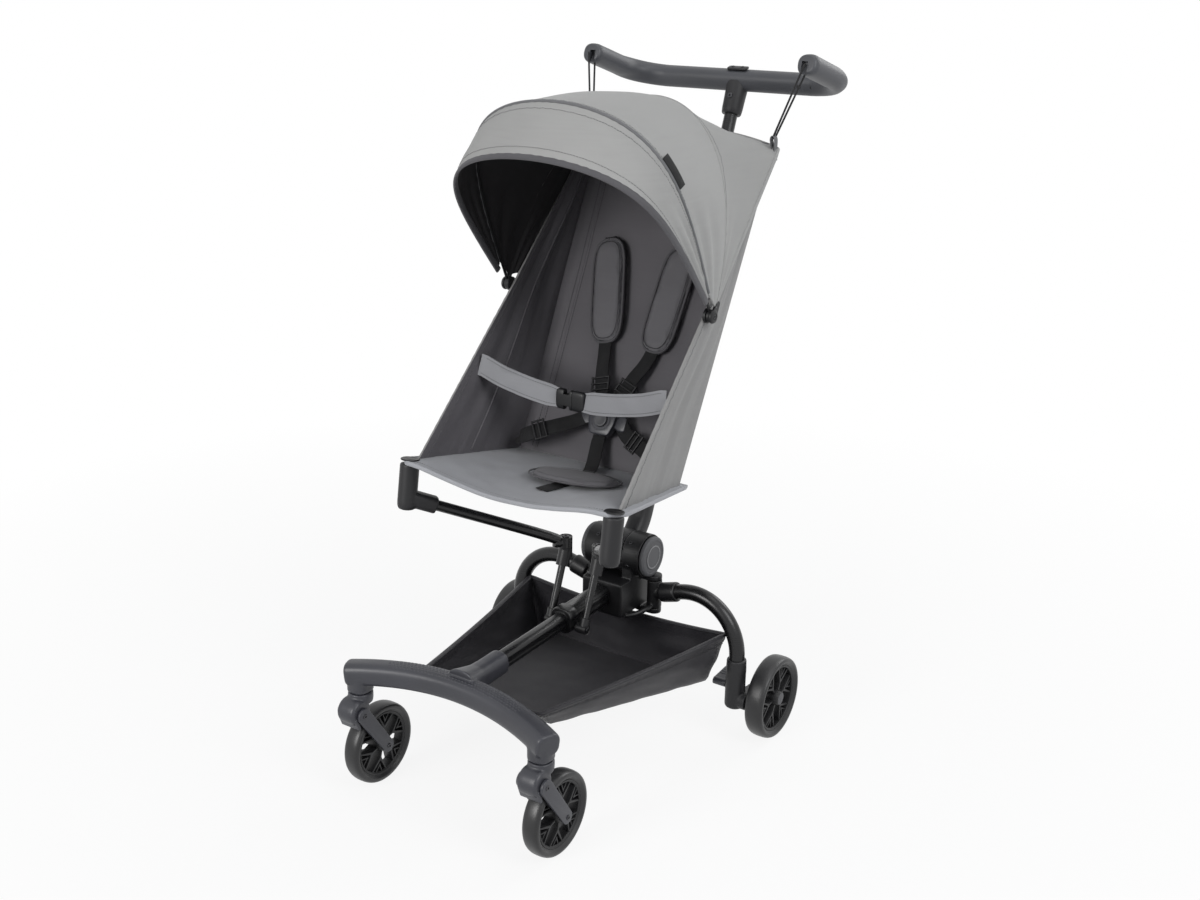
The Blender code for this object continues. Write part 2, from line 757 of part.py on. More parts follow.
def add_front_slide():
    section = soft_section(CROSSBAR_DEPTH, CROSSBAR_HEIGHT, 2.8, 12)
    bar_path, bar_scales = crossbar_path()
    bar = finish(
        "front_crossbar",
        *sweep(bar_path, section, (0.0, 1.0, 0.0), scales=bar_scales),
        PLASTIC,
        tube_point(SOCKET_MOUTH_Y),
    )
    leg_section = soft_section(CROSSBAR_DEPTH - 0.0016, 2 * CROSSBAR_END - 0.0012, 2.8, 12)
    for side, sign in SIDES:
        x = sign * CASTER_X
        leg = sweep(
            [(x, CASTER_Y, SWIVEL_Z), (x, CASTER_Y, CROSSBAR_Z)], leg_section, (0.0, 1.0, 0.0)
        )
        join(bar, finish(f"crossbar_leg_{side}", *leg, PLASTIC, (x, CASTER_Y, SWIVEL_Z)))
    socket_start = tube_point(SOCKET_MOUTH_Y - SOCKET_LENGTH)
    socket_end = tube_point(SOCKET_MOUTH_Y)
    socket_section = soft_section(
        TUBE_WIDTH + 2 * SOCKET_WALL, TUBE_HEIGHT + 2 * SOCKET_WALL * 0.8, 2.8, 12
    )
    flare = [1.25, 1.0, 1.0, 1.0]
    stops = [0.0, 0.35, 0.7, 1.0]
    path = [socket_start.lerp(socket_end, s) for s in stops]
    socket = sweep(path, socket_section, ACROSS, scales=flare)
    join(bar, finish("crossbar_socket", *socket, PLASTIC, tube_point(SOCKET_MOUTH_Y)))
    tube_front = tube_point(SOCKET_MOUTH_Y - SOCKET_LENGTH * 0.55)
    bore_section = soft_section(TUBE_WIDTH + 2 * TOUCH_GAP, TUBE_HEIGHT + 2 * TOUCH_GAP, 3.0, 12)
    bore = sweep([tube_front - TUBE_DIR * TOUCH_GAP, socket_end + TUBE_DIR * 0.01], bore_section, ACROSS)
    cut(bar, finish("crossbar_bore", *bore, PLASTIC, tube_point(SOCKET_MOUTH_Y)))
    for side, sign in SIDES:
        x = sign * CASTER_X
        hole = rod(
            (x, CASTER_Y, SWIVEL_Z - 0.01),
            (x, CASTER_Y, SWIVEL_Z + STEM_LENGTH + 0.001),
            STEM_RADIUS + TOUCH_GAP,
        )
        cut(bar, finish(f"stem_hole_{side}", *hole, PLASTIC, (x, CASTER_Y, SWIVEL_Z)))
    tube_rear = tube_point(SLEEVE_MOUTH_Y + TUBE_OVERLAP)
    outer = soft_section(TUBE_WIDTH, TUBE_HEIGHT, 3.0, 12)
    inner = soft_section(TUBE_WIDTH - 2 * TUBE_WALL, TUBE_HEIGHT - 2 * TUBE_WALL, 3.0, 12)
    tube = sweep([tube_front, tube_rear], outer, ACROSS, inner)
    finish("centre_tube", *tube, SATIN_BLACK, tube_front)


def add_chassis():
    inner_w = TUBE_WIDTH + 2 * RUNNING_GAP
    inner_h = TUBE_HEIGHT + 2 * RUNNING_GAP
    outer_w = inner_w + 2 * SLEEVE_WALL
    outer_h = inner_h + 2 * SLEEVE_WALL * 0.8
    mouth = tube_point(SLEEVE_MOUTH_Y)
    collar_end = mouth + TUBE_DIR * SLEEVE_COLLAR_LENGTH
    rear = tube_point(SLEEVE_REAR_Y)
    swell = 1 + SLEEVE_COLLAR / (outer_w / 2)
    path = [mouth, mouth + TUBE_DIR * 0.003, collar_end, collar_end + TUBE_DIR * 0.004, rear]
    sleeve = sweep(
        path,
        soft_section(outer_w, outer_h, 2.8, 12),
        ACROSS,
        soft_section(inner_w, inner_h, 3.0, 12),
        [swell * 0.94, swell, swell, 1.0, 1.0],
    )
    finish("centre_sleeve", *sleeve, SATIN_BLACK, mouth)

    housing = finish(
        "hub_housing",
        *box((-BLOCK_HALF, BLOCK_FRONT_Y, BLOCK_LOW_Z), (BLOCK_HALF, BLOCK_REAR_Y, BLOCK_HIGH_Z)),
        BLACK_PLASTIC,
        HUB,
    )
    bevelled(housing, 0.009, 2)
    drum_in = KNUCKLE_HALF + RUNNING_GAP
    helpers = []
    for side, sign in SIDES:
        drum = rod(
            (sign * drum_in, HUB_Y, HUB_Z), (sign * HUB_HALF, HUB_Y, HUB_Z), HUB_RADIUS, 20, 0.002
        )
        helpers.append(finish(f"drum_{side}", *drum, BLACK_PLASTIC, HUB))
        cheek = box(
            (min(sign * drum_in, sign * BLOCK_HALF), HUB_Y - HUB_RADIUS * 0.8, BLOCK_HIGH_Z - 0.02),
            (max(sign * drum_in, sign * BLOCK_HALF), HUB_Y + HUB_RADIUS * 0.8, HUB_Z - 0.008),
        )
        helpers.append(finish(f"cheek_{side}", *cheek, BLACK_PLASTIC, HUB))
        x = sign * LEG_X
        for name, low in (
            ("low", LEG_BARREL_LOW - TOUCH_GAP - LUG_THICKNESS),
            ("high", LEG_BARREL_HIGH + TOUCH_GAP),
        ):
            outline = capsule((sign * 0.030, LEG_Y), (x, LEG_Y), LEG_BARREL_RADIUS, LEG_BARREL_RADIUS - 0.0001)
            lug = prism(outline, low, low + LUG_THICKNESS, "z")
            helpers.append(finish(f"lug_{name}_{side}", *lug, BLACK_PLASTIC, HUB))
        pin = rod(
            (x, LEG_Y, LEG_BARREL_LOW - LUG_THICKNESS / 2),
            (x, LEG_Y, LEG_BARREL_HIGH + LUG_THICKNESS / 2),
            LEG_PIN_RADIUS,
        )
        helpers.append(finish(f"leg_pin_{side}", *pin, STEEL, HUB))
    join(housing, *helpers)
    room = rod(
        (-drum_in, HUB_Y, HUB_Z), (drum_in, HUB_Y, HUB_Z), HUB_RADIUS + RUNNING_GAP, 20
    )
    cut(housing, finish("knuckle_room", *room, BLACK_PLASTIC, HUB))
    bore = rod(
        (-HUB_HALF - 0.01, HUB_Y, HUB_Z), (HUB_HALF + 0.01, HUB_Y, HUB_Z), HUB_PIN_RADIUS + TOUCH_GAP
    )
    cut(housing, finish("pin_bore", *bore, BLACK_PLASTIC, HUB))
    gap = soft_section(outer_w + 2 * TOUCH_GAP, outer_h + 2 * TOUCH_GAP, 2.8, 12)
    tunnel = sweep([tube_point(BLOCK_FRONT_Y - 0.02), rear + TUBE_DIR * 0.02], gap, ACROSS)
    cut(housing, finish("sleeve_tunnel", *tunnel, BLACK_PLASTIC, HUB))

    pin_half = HUB_HALF - TOUCH_GAP
    pin = rod((-pin_half, HUB_Y, HUB_Z), (pin_half, HUB_Y, HUB_Z), HUB_PIN_RADIUS, 16, 0.0005)
    finish("hub_pin", *pin, STEEL, HUB)
    for side, sign in SIDES:
        start = sign * (HUB_HALF + TOUCH_GAP)
        end = sign * (HUB_HALF + TOUCH_GAP + HUB_CAP_THICKNESS)
        cap = rod((start, HUB_Y, HUB_Z), (end, HUB_Y, HUB_Z), HUB_CAP_RADIUS, 20, 0.0015)
        finish(f"hub_cap_{side}", *cap, PLASTIC, (start, HUB_Y, HUB_Z))

    sleeve_side = outer_w / 2 + SLEEVE_COLLAR + TOUCH_GAP
    for side, sign in SIDES:
        x = sign * STRUT_X
        foot = Vector((x, STRUT_FOOT_Y, STRUT_FOOT_Z))
        top = Vector((x, STRUT_TOP_Y, STRUT_TOP_Z))
        lean = (top - foot).normalized()
        strut = finish(
            f"strut_{side}", *rod(foot, top - lean * 0.002, STRUT_RADIUS, 12), SATIN_BLACK, top
        )
        toe = rod(
            (sign * sleeve_side, STRUT_FOOT_Y, STRUT_FOOT_Z),
            (x + sign * 0.007, STRUT_FOOT_Y, STRUT_FOOT_Z),
            0.0075,
        )
        collar = rod(top - lean * STRUT_COLLAR_LENGTH, top, STRUT_COLLAR_RADIUS)
        seat_z = STRUT_TOP_Z + STRUT_SEAT
        seat = rod((x, STRUT_TOP_Y, STRUT_TOP_Z - 0.012), (x, STRUT_TOP_Y, seat_z), ARM_BARREL_RADIUS)
        arm_pin = rod(
            (x, STRUT_TOP_Y, STRUT_TOP_Z - 0.006),
            (x, STRUT_TOP_Y, seat_z + TOUCH_GAP + ARM_BARREL_HEIGHT),
            ARM_PIN_RADIUS,
            12,
        )
        join(
            strut,
            finish(f"toe_{side}", *toe, BLACK_PLASTIC, top),
            finish(f"collar_{side}", *collar, BLACK_PLASTIC, top),
            finish(f"arm_seat_{side}", *seat, BLACK_PLASTIC, top),
            finish(f"arm_pin_{side}", *arm_pin, STEEL, top),
        )


def leg_path():
    """The leg tube's line in its own plane, as (x, z) points."""
    start = LEG_X + (LEG_SLEEVE_START + 0.004) * math.cos(LEG_PITCH)
    rise = math.tan(LEG_PITCH)
    first = (start, LEG_START_Z + (start - LEG_X) * rise)
    bend_x = LEG_X + LEG_SLEEVE_END * math.cos(LEG_PITCH)
    bend = (bend_x, LEG_START_Z + (bend_x - LEG_X) * rise)
    reach = (FOOT_X - bend_x) * 0.58
    ahead = (bend_x + reach, bend[1] + reach * rise)
    down = (FOOT_X, FOOT_TOP_Z + 0.052)
    curve = bezier((*bend, 0), (*ahead, 0), (*down, 0), (FOOT_X, FOOT_TOP_Z + 0.004, 0), 9)
    points = [first] + [(p.x, p.y) for p in curve]
    points.append((FOOT_X, LEG_END_Z))
    return points


def add_legs():
    sleeve_radius = LEG_RADIUS + LEG_SLEEVE_WALL
    for side, sign in SIDES:
        hinge = Vector((sign * LEG_X, LEG_Y, LEG_START_Z))
        points = leg_path()
        path = [Vector((sign * x, LEG_Y, z)) for x, z in points]
        tube = sweep(path, round_section(LEG_RADIUS, 14), (0.0, 1.0, 0.0))
        finish(f"leg_tube_{side}", *tube, SATIN_BLACK, hinge)

        barrel = finish(
            f"leg_bracket_{side}",
            *rod(
                (hinge.x, LEG_Y, LEG_BARREL_LOW), (hinge.x, LEG_Y, LEG_BARREL_HIGH), LEG_BARREL_RADIUS, 20
            ),
            BLACK_PLASTIC,
            hinge,
        )
        out = Vector((sign * math.cos(LEG_PITCH), 0.0, math.sin(LEG_PITCH)))
        neck = rod(hinge + out * 0.004, hinge + out * (LEG_SLEEVE_START + 0.003), 0.0105, 16)
        sleeve = rod(
            hinge + out * LEG_SLEEVE_START, hinge + out * (LEG_SLEEVE_END - 0.006), sleeve_radius, 16, 0.001
        )
        link_path = smooth_path(
            [
                hinge + Vector((0.0, -0.004, -0.018)),
                Vector((sign * 0.054, -0.066, 0.184)),
                Vector((sign * 0.046, -0.084, 0.180)),
                Vector((sign * 0.034, -0.096, 0.178)),
            ],
            2,
        )
        link = sweep(link_path, round_section(0.0040, 6), (0.0, 0.0, 1.0))
        join(
            barrel,
            finish(f"neck_{side}", *neck, BLACK_PLASTIC, hinge),
            finish(f"leg_sleeve_{side}", *sleeve, BLACK_PLASTIC, hinge),
            finish(f"link_{side}", *link, BLACK_PLASTIC, hinge),
        )
        bore = rod(path[0] - out * TOUCH_GAP, path[0] + out * 0.06, LEG_RADIUS + TOUCH_GAP, 20)
        pin_bore = rod(
            (hinge.x, LEG_Y, LEG_BARREL_LOW - 0.01),
            (hinge.x, LEG_Y, LEG_BARREL_HIGH + 0.01),
            LEG_PIN_RADIUS + TOUCH_GAP,
        )
        cut(
            barrel,
            finish(f"leg_bore_{side}", *bore, BLACK_PLASTIC, hinge),
            finish(f"leg_pin_bore_{side}", *pin_bore, BLACK_PLASTIC, hinge),
        )

        foot_x = sign * FOOT_X
        foot_radius = LEG_RADIUS + FOOT_WALL
        foot = finish(
            f"leg_foot_{side}",
            *turned(
                [
                    (foot_radius - 0.004, 0.0),
                    (foot_radius, 0.004),
                    (foot_radius, FOOT_TOP_Z - FOOT_LOW_Z - 0.02),
                    (foot_radius - 0.0008, FOOT_TOP_Z - FOOT_LOW_Z),
                ],
                (foot_x, LEG_Y, FOOT_LOW_Z),
                (0.0, 0.0, 1.0),
                16,
                solid=True,
            ),
            PLASTIC,
            hinge,
        )
        inner_x = REAR_AXLE_X - REAR_TYRE_WIDTH / 2 - HUB_PROUD - AXLE_INNER_GAP
        outline = capsule((LEG_Y, FOOT_LOW_Z + 0.014), (0.0, REAR_WHEEL_RADIUS), 0.0135, 0.0115)
        sides = sorted((sign * (FOOT_X + 0.004), sign * inner_x))
        trailing = prism(outline, sides[0], sides[1], "x")
        axle = rod(
            (sign * (inner_x - 0.003), 0.0, REAR_WHEEL_RADIUS),
            (sign * (REAR_AXLE_X + REAR_TYRE_WIDTH / 2 - 0.006), 0.0, REAR_WHEEL_RADIUS),
            AXLE_RADIUS,
        )
        shoulder = rod(
            (sign * (inner_x - 0.003), 0.0, REAR_WHEEL_RADIUS),
            (sign * (inner_x + AXLE_INNER_GAP - TOUCH_GAP), 0.0, REAR_WHEEL_RADIUS),
            0.0085,
            20,
        )
        join(
            foot,
            finish(f"trailing_{side}", *trailing, PLASTIC, hinge),
            finish(f"rear_axle_{side}", *axle, STEEL, hinge),
            finish(f"shoulder_{side}", *shoulder, PLASTIC, hinge),
        )
        hole = rod(
            (foot_x, LEG_Y, LEG_END_Z - TOUCH_GAP),
            (foot_x, LEG_Y, FOOT_TOP_Z + 0.01),
            LEG_RADIUS + TOUCH_GAP,
            16,
        )
        cut(foot, finish(f"foot_hole_{side}", *hole, PLASTIC, hinge))
        add_wheel("rear", side, sign * REAR_AXLE_X, 0.0, REAR_WHEEL_RADIUS, REAR_TYRE_WIDTH, True)


def add_pedal():
    """A foot brake lever on the inner face of the left leg's foot."""
    face = FOOT_X - LEG_RADIUS - FOOT_WALL - TOUCH_GAP
    hinge = (face, LEG_Y, PEDAL_Z)
    barrel = rod((face - PEDAL_WIDTH, LEG_Y, PEDAL_Z), (face, LEG_Y, PEDAL_Z), PEDAL_BARREL, 16, 0.0008)
    pedal = finish("brake_pedal", *barrel, PLASTIC, hinge)
    tread = prism(
        capsule(
            (LEG_Y, PEDAL_Z),
            (LEG_Y + PEDAL_LENGTH, PEDAL_Z + 0.006),
            PEDAL_BARREL - 0.0005,
            PEDAL_THICKNESS / 2,
        ),
        face - PEDAL_WIDTH,
        face - 0.003,
        "x",
    )
    join(pedal, finish("tread", *tread, PLASTIC, hinge))


def base_point(x, back, up=0.0):
    """A point on the seat cloth's middle surface, with its sag."""
    span = BASE_FRONT_HALF + (BASE_REAR_HALF - BASE_FRONT_HALF) * max(back, 0.0) / BASE_DEPTH
    share = min(abs(x) / (span - (BASE_FRONT_HALF - POST_X) - POST_RADIUS - 0.003), 1.0)
    hang = BASE_SAG * (1 - share**2) ** 1.5 * (1 - max(back, 0.0) / BASE_DEPTH) ** 0.7
    start = Vector((x, POST_Y, POST_TOP_Z)) + BASE_UP * (TOUCH_GAP + BASE_EDGE / 2)
    return start + BASE_REARWARD * back + BASE_UP * (up - hang)


def add_arms():
    for side, sign in SIDES:
        barrel_low = STRUT_TOP_Z + STRUT_SEAT + TOUCH_GAP
        knuckle = Vector((sign * STRUT_X, STRUT_TOP_Y, barrel_low + ARM_BARREL_HEIGHT / 2))
        post_top = Vector((sign * POST_X, POST_Y, POST_TOP_Z))
        post_low = post_top - BASE_UP * POST_LENGTH
        join_at = post_top - BASE_UP * ARM_JOIN_DEPTH
        ahead = (join_at - knuckle).normalized()
        level = Vector((ahead.x, ahead.y, 0.0)).normalized()
        side_axis = level.cross(Vector((0.0, 0.0, 1.0)))
        arm = finish(
            f"seat_arm_{side}",
            *sweep(
                [
                    knuckle + level * 0.006,
                    knuckle + level * 0.016,
                    knuckle + ahead * 0.030,
                    join_at - ahead * (POST_RADIUS + 0.010),
                ],
                soft_section(2 * ARM_RADIUS, 2 * ARM_RADIUS, 3.0, 12),
                side_axis,
            ),
            SATIN_BLACK,
            knuckle,
        )
        barrel = rod(
            (knuckle.x, knuckle.y, barrel_low),
            (knuckle.x, knuckle.y, barrel_low + ARM_BARREL_HEIGHT),
            ARM_BARREL_RADIUS,
            20,
            0.0008,
        )
        join(arm, finish(f"arm_barrel_{side}", *barrel, SATIN_BLACK, knuckle))
        bore = rod(
            (knuckle.x, knuckle.y, barrel_low - 0.01),
            (knuckle.x, knuckle.y, barrel_low + ARM_BARREL_HEIGHT + 0.01),
            ARM_PIN_RADIUS + TOUCH_GAP,
        )
        cut(arm, finish(f"arm_bore_{side}", *bore, SATIN_BLACK, knuckle))

        shaft = turned(
            [
                (POST_RADIUS - 0.006, 0.0),
                (POST_RADIUS - 0.0015, 0.004),
                (POST_RADIUS, 0.010),
                (POST_RADIUS, POST_LENGTH - 0.0015),
                (POST_RADIUS - 0.0015, POST_LENGTH),
            ],
            post_low,
            BASE_UP,
            16,
            solid=True,
        )
        post = finish(f"seat_post_{side}", *shaft, PLASTIC, knuckle)
        socket_section = soft_section(
            2 * ARM_RADIUS + 0.008, 2 * ARM_RADIUS + 0.008, 3.4, 12
        )
        socket = sweep(
            [join_at - ahead * 0.004, join_at - ahead * (POST_RADIUS + SOCKET_BLOCK)],
            socket_section,
            side_axis,
        )
        cloth_top = TOUCH_GAP * 2 + BASE_EDGE
        stem = rod(post_top - BASE_UP * 0.004, post_top + BASE_UP * (cloth_top + 0.001), SNAP_STEM)
        snap = rod(
            post_top + BASE_UP * cloth_top,
            post_top + BASE_UP * (cloth_top + SNAP_THICKNESS),
            SNAP_RADIUS,
            20,
            0.0008,
        )
        join(
            post,
            finish(f"arm_socket_{side}", *socket, PLASTIC, knuckle),
            finish(f"snap_stem_{side}", *stem, PLASTIC, knuckle),
            finish(f"snap_{side}", *snap, PLASTIC, knuckle),
        )
        hole = sweep(
            [join_at - ahead * (POST_RADIUS + 0.010 - TOUCH_GAP), join_at - ahead * 0.09],
            soft_section(2 * (ARM_RADIUS + TOUCH_GAP), 2 * (ARM_RADIUS + TOUCH_GAP), 3.0, 12),
            side_axis,
        )
        cut(post, finish(f"socket_hole_{side}", *hole, PLASTIC, knuckle))


def add_pole():
    wall_in = OUTER_POLE_RADIUS - POLE_WALL
    path = [pole_point(POLE_START), pole_point(OUTER_POLE_TOP)]
    tube = sweep(path, round_section(OUTER_POLE_RADIUS, 20), ACROSS, round_section(wall_in, 20))
    finish("pole_outer_tube", *tube, SATIN_BLACK, HUB)

    knuckle = finish(
        "pole_knuckle",
        *rod((-KNUCKLE_HALF, HUB_Y, HUB_Z), (KNUCKLE_HALF, HUB_Y, HUB_Z), HUB_RADIUS - 0.001, 20, 0.001),
        PLASTIC,
        HUB,
    )
    neck = sweep(
        [pole_point(0.0, 0.016), pole_point(0.040, 0.0300), pole_point(0.060), pole_point(0.092)],
        soft_section(0.033, 0.033, 2.6, 12),
        ACROSS,
    )
    join(knuckle, finish("neck", *neck, PLASTIC, HUB))
    hole = rod(
        pole_point(POLE_START - TOUCH_GAP), pole_point(0.12), OUTER_POLE_RADIUS + TOUCH_GAP, 20
    )
    bore = rod(
        (-HUB_HALF, HUB_Y, HUB_Z), (HUB_HALF, HUB_Y, HUB_Z), HUB_PIN_RADIUS + TOUCH_GAP
    )
    cut(knuckle, finish("pole_hole", *hole, PLASTIC, HUB), finish("knuckle_bore", *bore, PLASTIC, HUB))

    inner_radius = wall_in - RUNNING_GAP
    inner = sweep(
        [pole_point(OUTER_POLE_TOP - POLE_OVERLAP), pole_point(INNER_POLE_TOP)],
        round_section(inner_radius, 20),
        ACROSS,
        round_section(inner_radius - POLE_WALL, 20),
    )
    finish("pole_inner_tube", *inner, SATIN_BLACK, HANDLE_CENTRE)
    return inner_radius


def handle_path():
    """The U of the handle, from one tip round to the other."""
    bar = HANDLE_CENTRE
    tip = Vector((HANDLE_TIP_X, HANDLE_TIP_Y, HANDLE_TIP_Z))
    corner = Vector((HANDLE_HALF, bar.y - 0.004, bar.z + 0.002))
    arm = (tip - corner).normalized()
    into = corner + arm * HANDLE_CORNER
    out = Vector((HANDLE_HALF - HANDLE_CORNER, bar.y, bar.z))
    half = [tip, tip - arm * 0.003, tip - arm * 0.010, tip.lerp(into, 0.5)]
    half += bezier(into, into.lerp(corner, 0.62), out.lerp(corner, 0.62), out, 6)
    half.append(Vector((HANDLE_HALF - HANDLE_CORNER - 0.06, bar.y, bar.z)))
    mirrored = [Vector((-p.x, p.y, p.z)) for p in reversed(half)]
    return half + [Vector(bar)] + mirrored


def add_handle(inner_radius):
    path = handle_path()
    ends = [0.72, 0.93, 1.0]
    scales = ends + [1.0] * (len(path) - 2 * len(ends)) + ends[::-1]
    grip = sweep(
        path, soft_section(HANDLE_WIDTH, HANDLE_HEIGHT, 2.5, 12), (0.0, 1.0, 0.25), scales=scales
    )
    bar = finish("handle_bar", *grip, GRIP, HANDLE_CENTRE)
    for side, sign in SIDES:
        slot_y = HANDLE_TIP_Y + 0.009
        x = sign * HANDLE_TIP_X
        sides = sorted((x + sign * 0.0017, x - sign * 0.0080))
        low = (sides[0], HANDLE_TIP_Y - 0.02, HANDLE_TIP_Z - 0.03)
        slot = box(low, (sides[1], slot_y, HANDLE_TIP_Z + 0.006))
        cut(bar, finish(f"cord_slot_{side}", *slot, GRIP, HANDLE_CENTRE))

    half = HANDLE_HEIGHT / 2
    bracket = finish(
        "handle_bracket",
        *sweep(
            [
                pole_point(BRACKET_LOW),
                pole_point(BRACKET_LOW + 0.002),
                pole_point(BRACKET_LOW + 0.024),
                pole_point(HANDLE_ALONG - half * 0.5),
            ],
            round_section(BRACKET_RADIUS, 20),
            ACROSS,
            scales=[0.86, 0.92, 0.97, 1.0],
        ),
        PLASTIC,
        HANDLE_CENTRE,
    )
    saddle_section = soft_section(HANDLE_WIDTH + 2 * TOUCH_GAP, HANDLE_HEIGHT + 2 * TOUCH_GAP, 2.5, 12)
    saddle = sweep(
        [HANDLE_CENTRE + ACROSS * 0.05, HANDLE_CENTRE, HANDLE_CENTRE - ACROSS * 0.05],
        saddle_section,
        (0.0, 1.0, 0.25),
    )
    hole = rod(
        pole_point(BRACKET_LOW - 0.01),
        pole_point(INNER_POLE_TOP + TOUCH_GAP),
        inner_radius + TOUCH_GAP,
        20,
    )
    tail = rod(
        pole_point(ROD_LOW, POLE_OFFSET + OUTER_POLE_RADIUS + ROD_RADIUS + 0.001),
        pole_point(BRACKET_LOW + 0.006, POLE_OFFSET + OUTER_POLE_RADIUS + ROD_RADIUS + 0.001),
        ROD_RADIUS,
        10,
    )
    cut(
        bracket,
        finish("saddle", *saddle, PLASTIC, HANDLE_CENTRE),
        finish("bracket_hole", *hole, PLASTIC, HANDLE_CENTRE),
    )
    finish("release_rod", *tail, STEEL, HANDLE_CENTRE)
    rod_hole = rod(
        pole_point(BRACKET_LOW - 0.01, POLE_OFFSET + OUTER_POLE_RADIUS + ROD_RADIUS + 0.001),
        pole_point(BRACKET_LOW + 0.006 + TOUCH_GAP, POLE_OFFSET + OUTER_POLE_RADIUS + ROD_RADIUS + 0.001),
        ROD_RADIUS + TOUCH_GAP,
        10,
    )
    cut(bracket, finish("rod_hole", *rod_hole, PLASTIC, HANDLE_CENTRE))

    lift = half + TOUCH_GAP
    bar_side = Vector((0.0, 1.0, 0.25)).normalized()
    bar_up = ACROSS.cross(bar_side)
    middle = HANDLE_CENTRE + bar_up * (lift + BUTTON_HEIGHT / 2)
    long = ACROSS * BUTTON_LENGTH / 2
    slide = strap([middle - long, middle + long], BUTTON_WIDTH, BUTTON_HEIGHT, bar_up)
    bevelled(finish("release_slider", *slide, BLACK_PLASTIC, HANDLE_CENTRE), 0.0015, 1)


def back_y(z):
    return BACK_LOW_Y + BACK_LEAN * (z - base_rear_z())


def base_rear_z():
    return base_point(0.0, BASE_DEPTH).z


def side_front(share):
    """The seat side's front edge, from the seat's front corner up to the top corner."""
    low = base_point(POST_X - 0.004, 0.016, BASE_EDGE / 2 + 3 * TOUCH_GAP)
    middle = Vector((SIDE_FRONT_X, PIVOT_Y, PIVOT_Z))
    top = Vector((SIDE_TOP_X, BACK_TOP_Y - 0.012, BACK_TOP_Z))
    low.x = POST_X - 0.002
    split = 0.5
    if share < split:
        return low.lerp(middle, share / split)
    return middle.lerp(top, (share - split) / (1 - split))


def back_corner(share):
    low = base_point(0.0, BASE_DEPTH - 0.004, BASE_EDGE / 2 + BACK_PAD * 0.24)
    low.x = BACK_LOW_HALF
    top = Vector((BACK_TOP_HALF, BACK_TOP_Y, BACK_TOP_Z))
    return low.lerp(top, share)


def side_point(share, t):
    """A point on the left side panel: t runs from its front edge to the back's corner."""
    fold = math.sin(t * math.pi) * SIDE_FOLD * math.sin(share * 9.0)
    point = side_front(share).lerp(back_corner(share), t)
    point.x -= fold
    return point


def sling_rows():
    """The seat sling: a U of cloth, side, back and side, rising from the seat to the top."""
    heights = [0.0, 0.08, 0.22, 0.36, 0.50, 0.64, 0.78, 0.92, 1.0]
    side_steps = 4
    back_steps = [-1.0, -0.86, -0.80, -0.74, -0.5, -0.25, 0.0, 0.25, 0.5, 0.74, 0.80, 0.86, 1.0]
    rows = []
    thick = []
    for share in heights:
        corner = back_corner(share)
        row = []
        walls = []
        for k in range(side_steps):
            point = side_point(share, k / side_steps)
            row.append(Vector((-point.x, point.y, point.z)))
            walls.append(SIDE_CLOTH)
        crown = 0.010 * math.sin(min(share, 1.0) * math.pi)
        for t in back_steps:
            seam = abs(abs(t) - 0.80) < 0.01
            wall = SIDE_CLOTH if abs(t) > 0.95 else BACK_PAD * (0.55 if seam else 1.0)
            if share in (0.0, 1.0):
                wall = min(wall, BACK_PAD * 0.6)
            point = Vector((t * corner.x, corner.y, corner.z)) - BACK_NORMAL * crown * (1 - t * t)
            row.append(point)
            walls.append(wall)
        for k in range(side_steps, 0, -1):
            row.append(side_point(share, (k - 1) / side_steps))
            walls.append(SIDE_CLOTH)
        rows.append(row)
        thick.append(walls)
    return rows, thick


def add_seat():
    rows, thick = sling_rows()
    finish("seat_sling", *sheet(rows, thick), DARK_CLOTH, HUB)

    across = [-1.0, -0.85, -0.68, -0.45, -0.23, 0.0, 0.23, 0.45, 0.68, 0.85, 1.0]
    depths = [-BASE_LIP, -BASE_LIP * 0.35, 0.014, 0.05, 0.10, 0.15, 0.195, BASE_DEPTH]
    rows = []
    walls = []
    for k, back in enumerate(depths):
        span = BASE_FRONT_HALF + (BASE_REAR_HALF - BASE_FRONT_HALF) * max(back, 0.0) / BASE_DEPTH
        row = []
        wall = []
        for t in across:
            reach = 1.0 if k else 0.955
            row.append(base_point(t * span * reach, back))
            edge = min(1 - abs(t), 0.3) / 0.3
            ends = min(k, len(depths) - 1 - k, 3) / 3
            wall.append(BASE_EDGE + BASE_CROWN * edge * ends * (1.0 if back > 0.03 else 0.0))
        rows.append(row)
        walls.append(wall)
    base = finish("seat_base", *sheet(rows, walls), GREY_CLOTH, base_point(0.0, BASE_DEPTH))
    for side, sign in SIDES:
        at = Vector((sign * POST_X, POST_Y, POST_TOP_Z))
        hole = rod(at - BASE_UP * 0.02, at + BASE_UP * 0.02, SNAP_STEM + TOUCH_GAP)
        cut(base, finish(f"snap_hole_{side}", *hole, GREY_CLOTH, at))


def arch_point(turn, angle, height, spread, power, half=PIVOT_X):
    """A point on a canopy arch that stands on the two pivots and leans by angle."""
    rise = height * max(math.sin(turn), 0.0) ** power
    x = math.cos(turn) * (half + spread * math.sin(turn) ** 2)
    return Vector((x, PIVOT_Y - math.sin(angle) * rise, PIVOT_Z + math.cos(angle) * rise))


def canopy_turns():
    span = math.pi - 2 * CANOPY_START
    return [CANOPY_START + span * k / CANOPY_SIDES for k in range(CANOPY_SIDES + 1)]


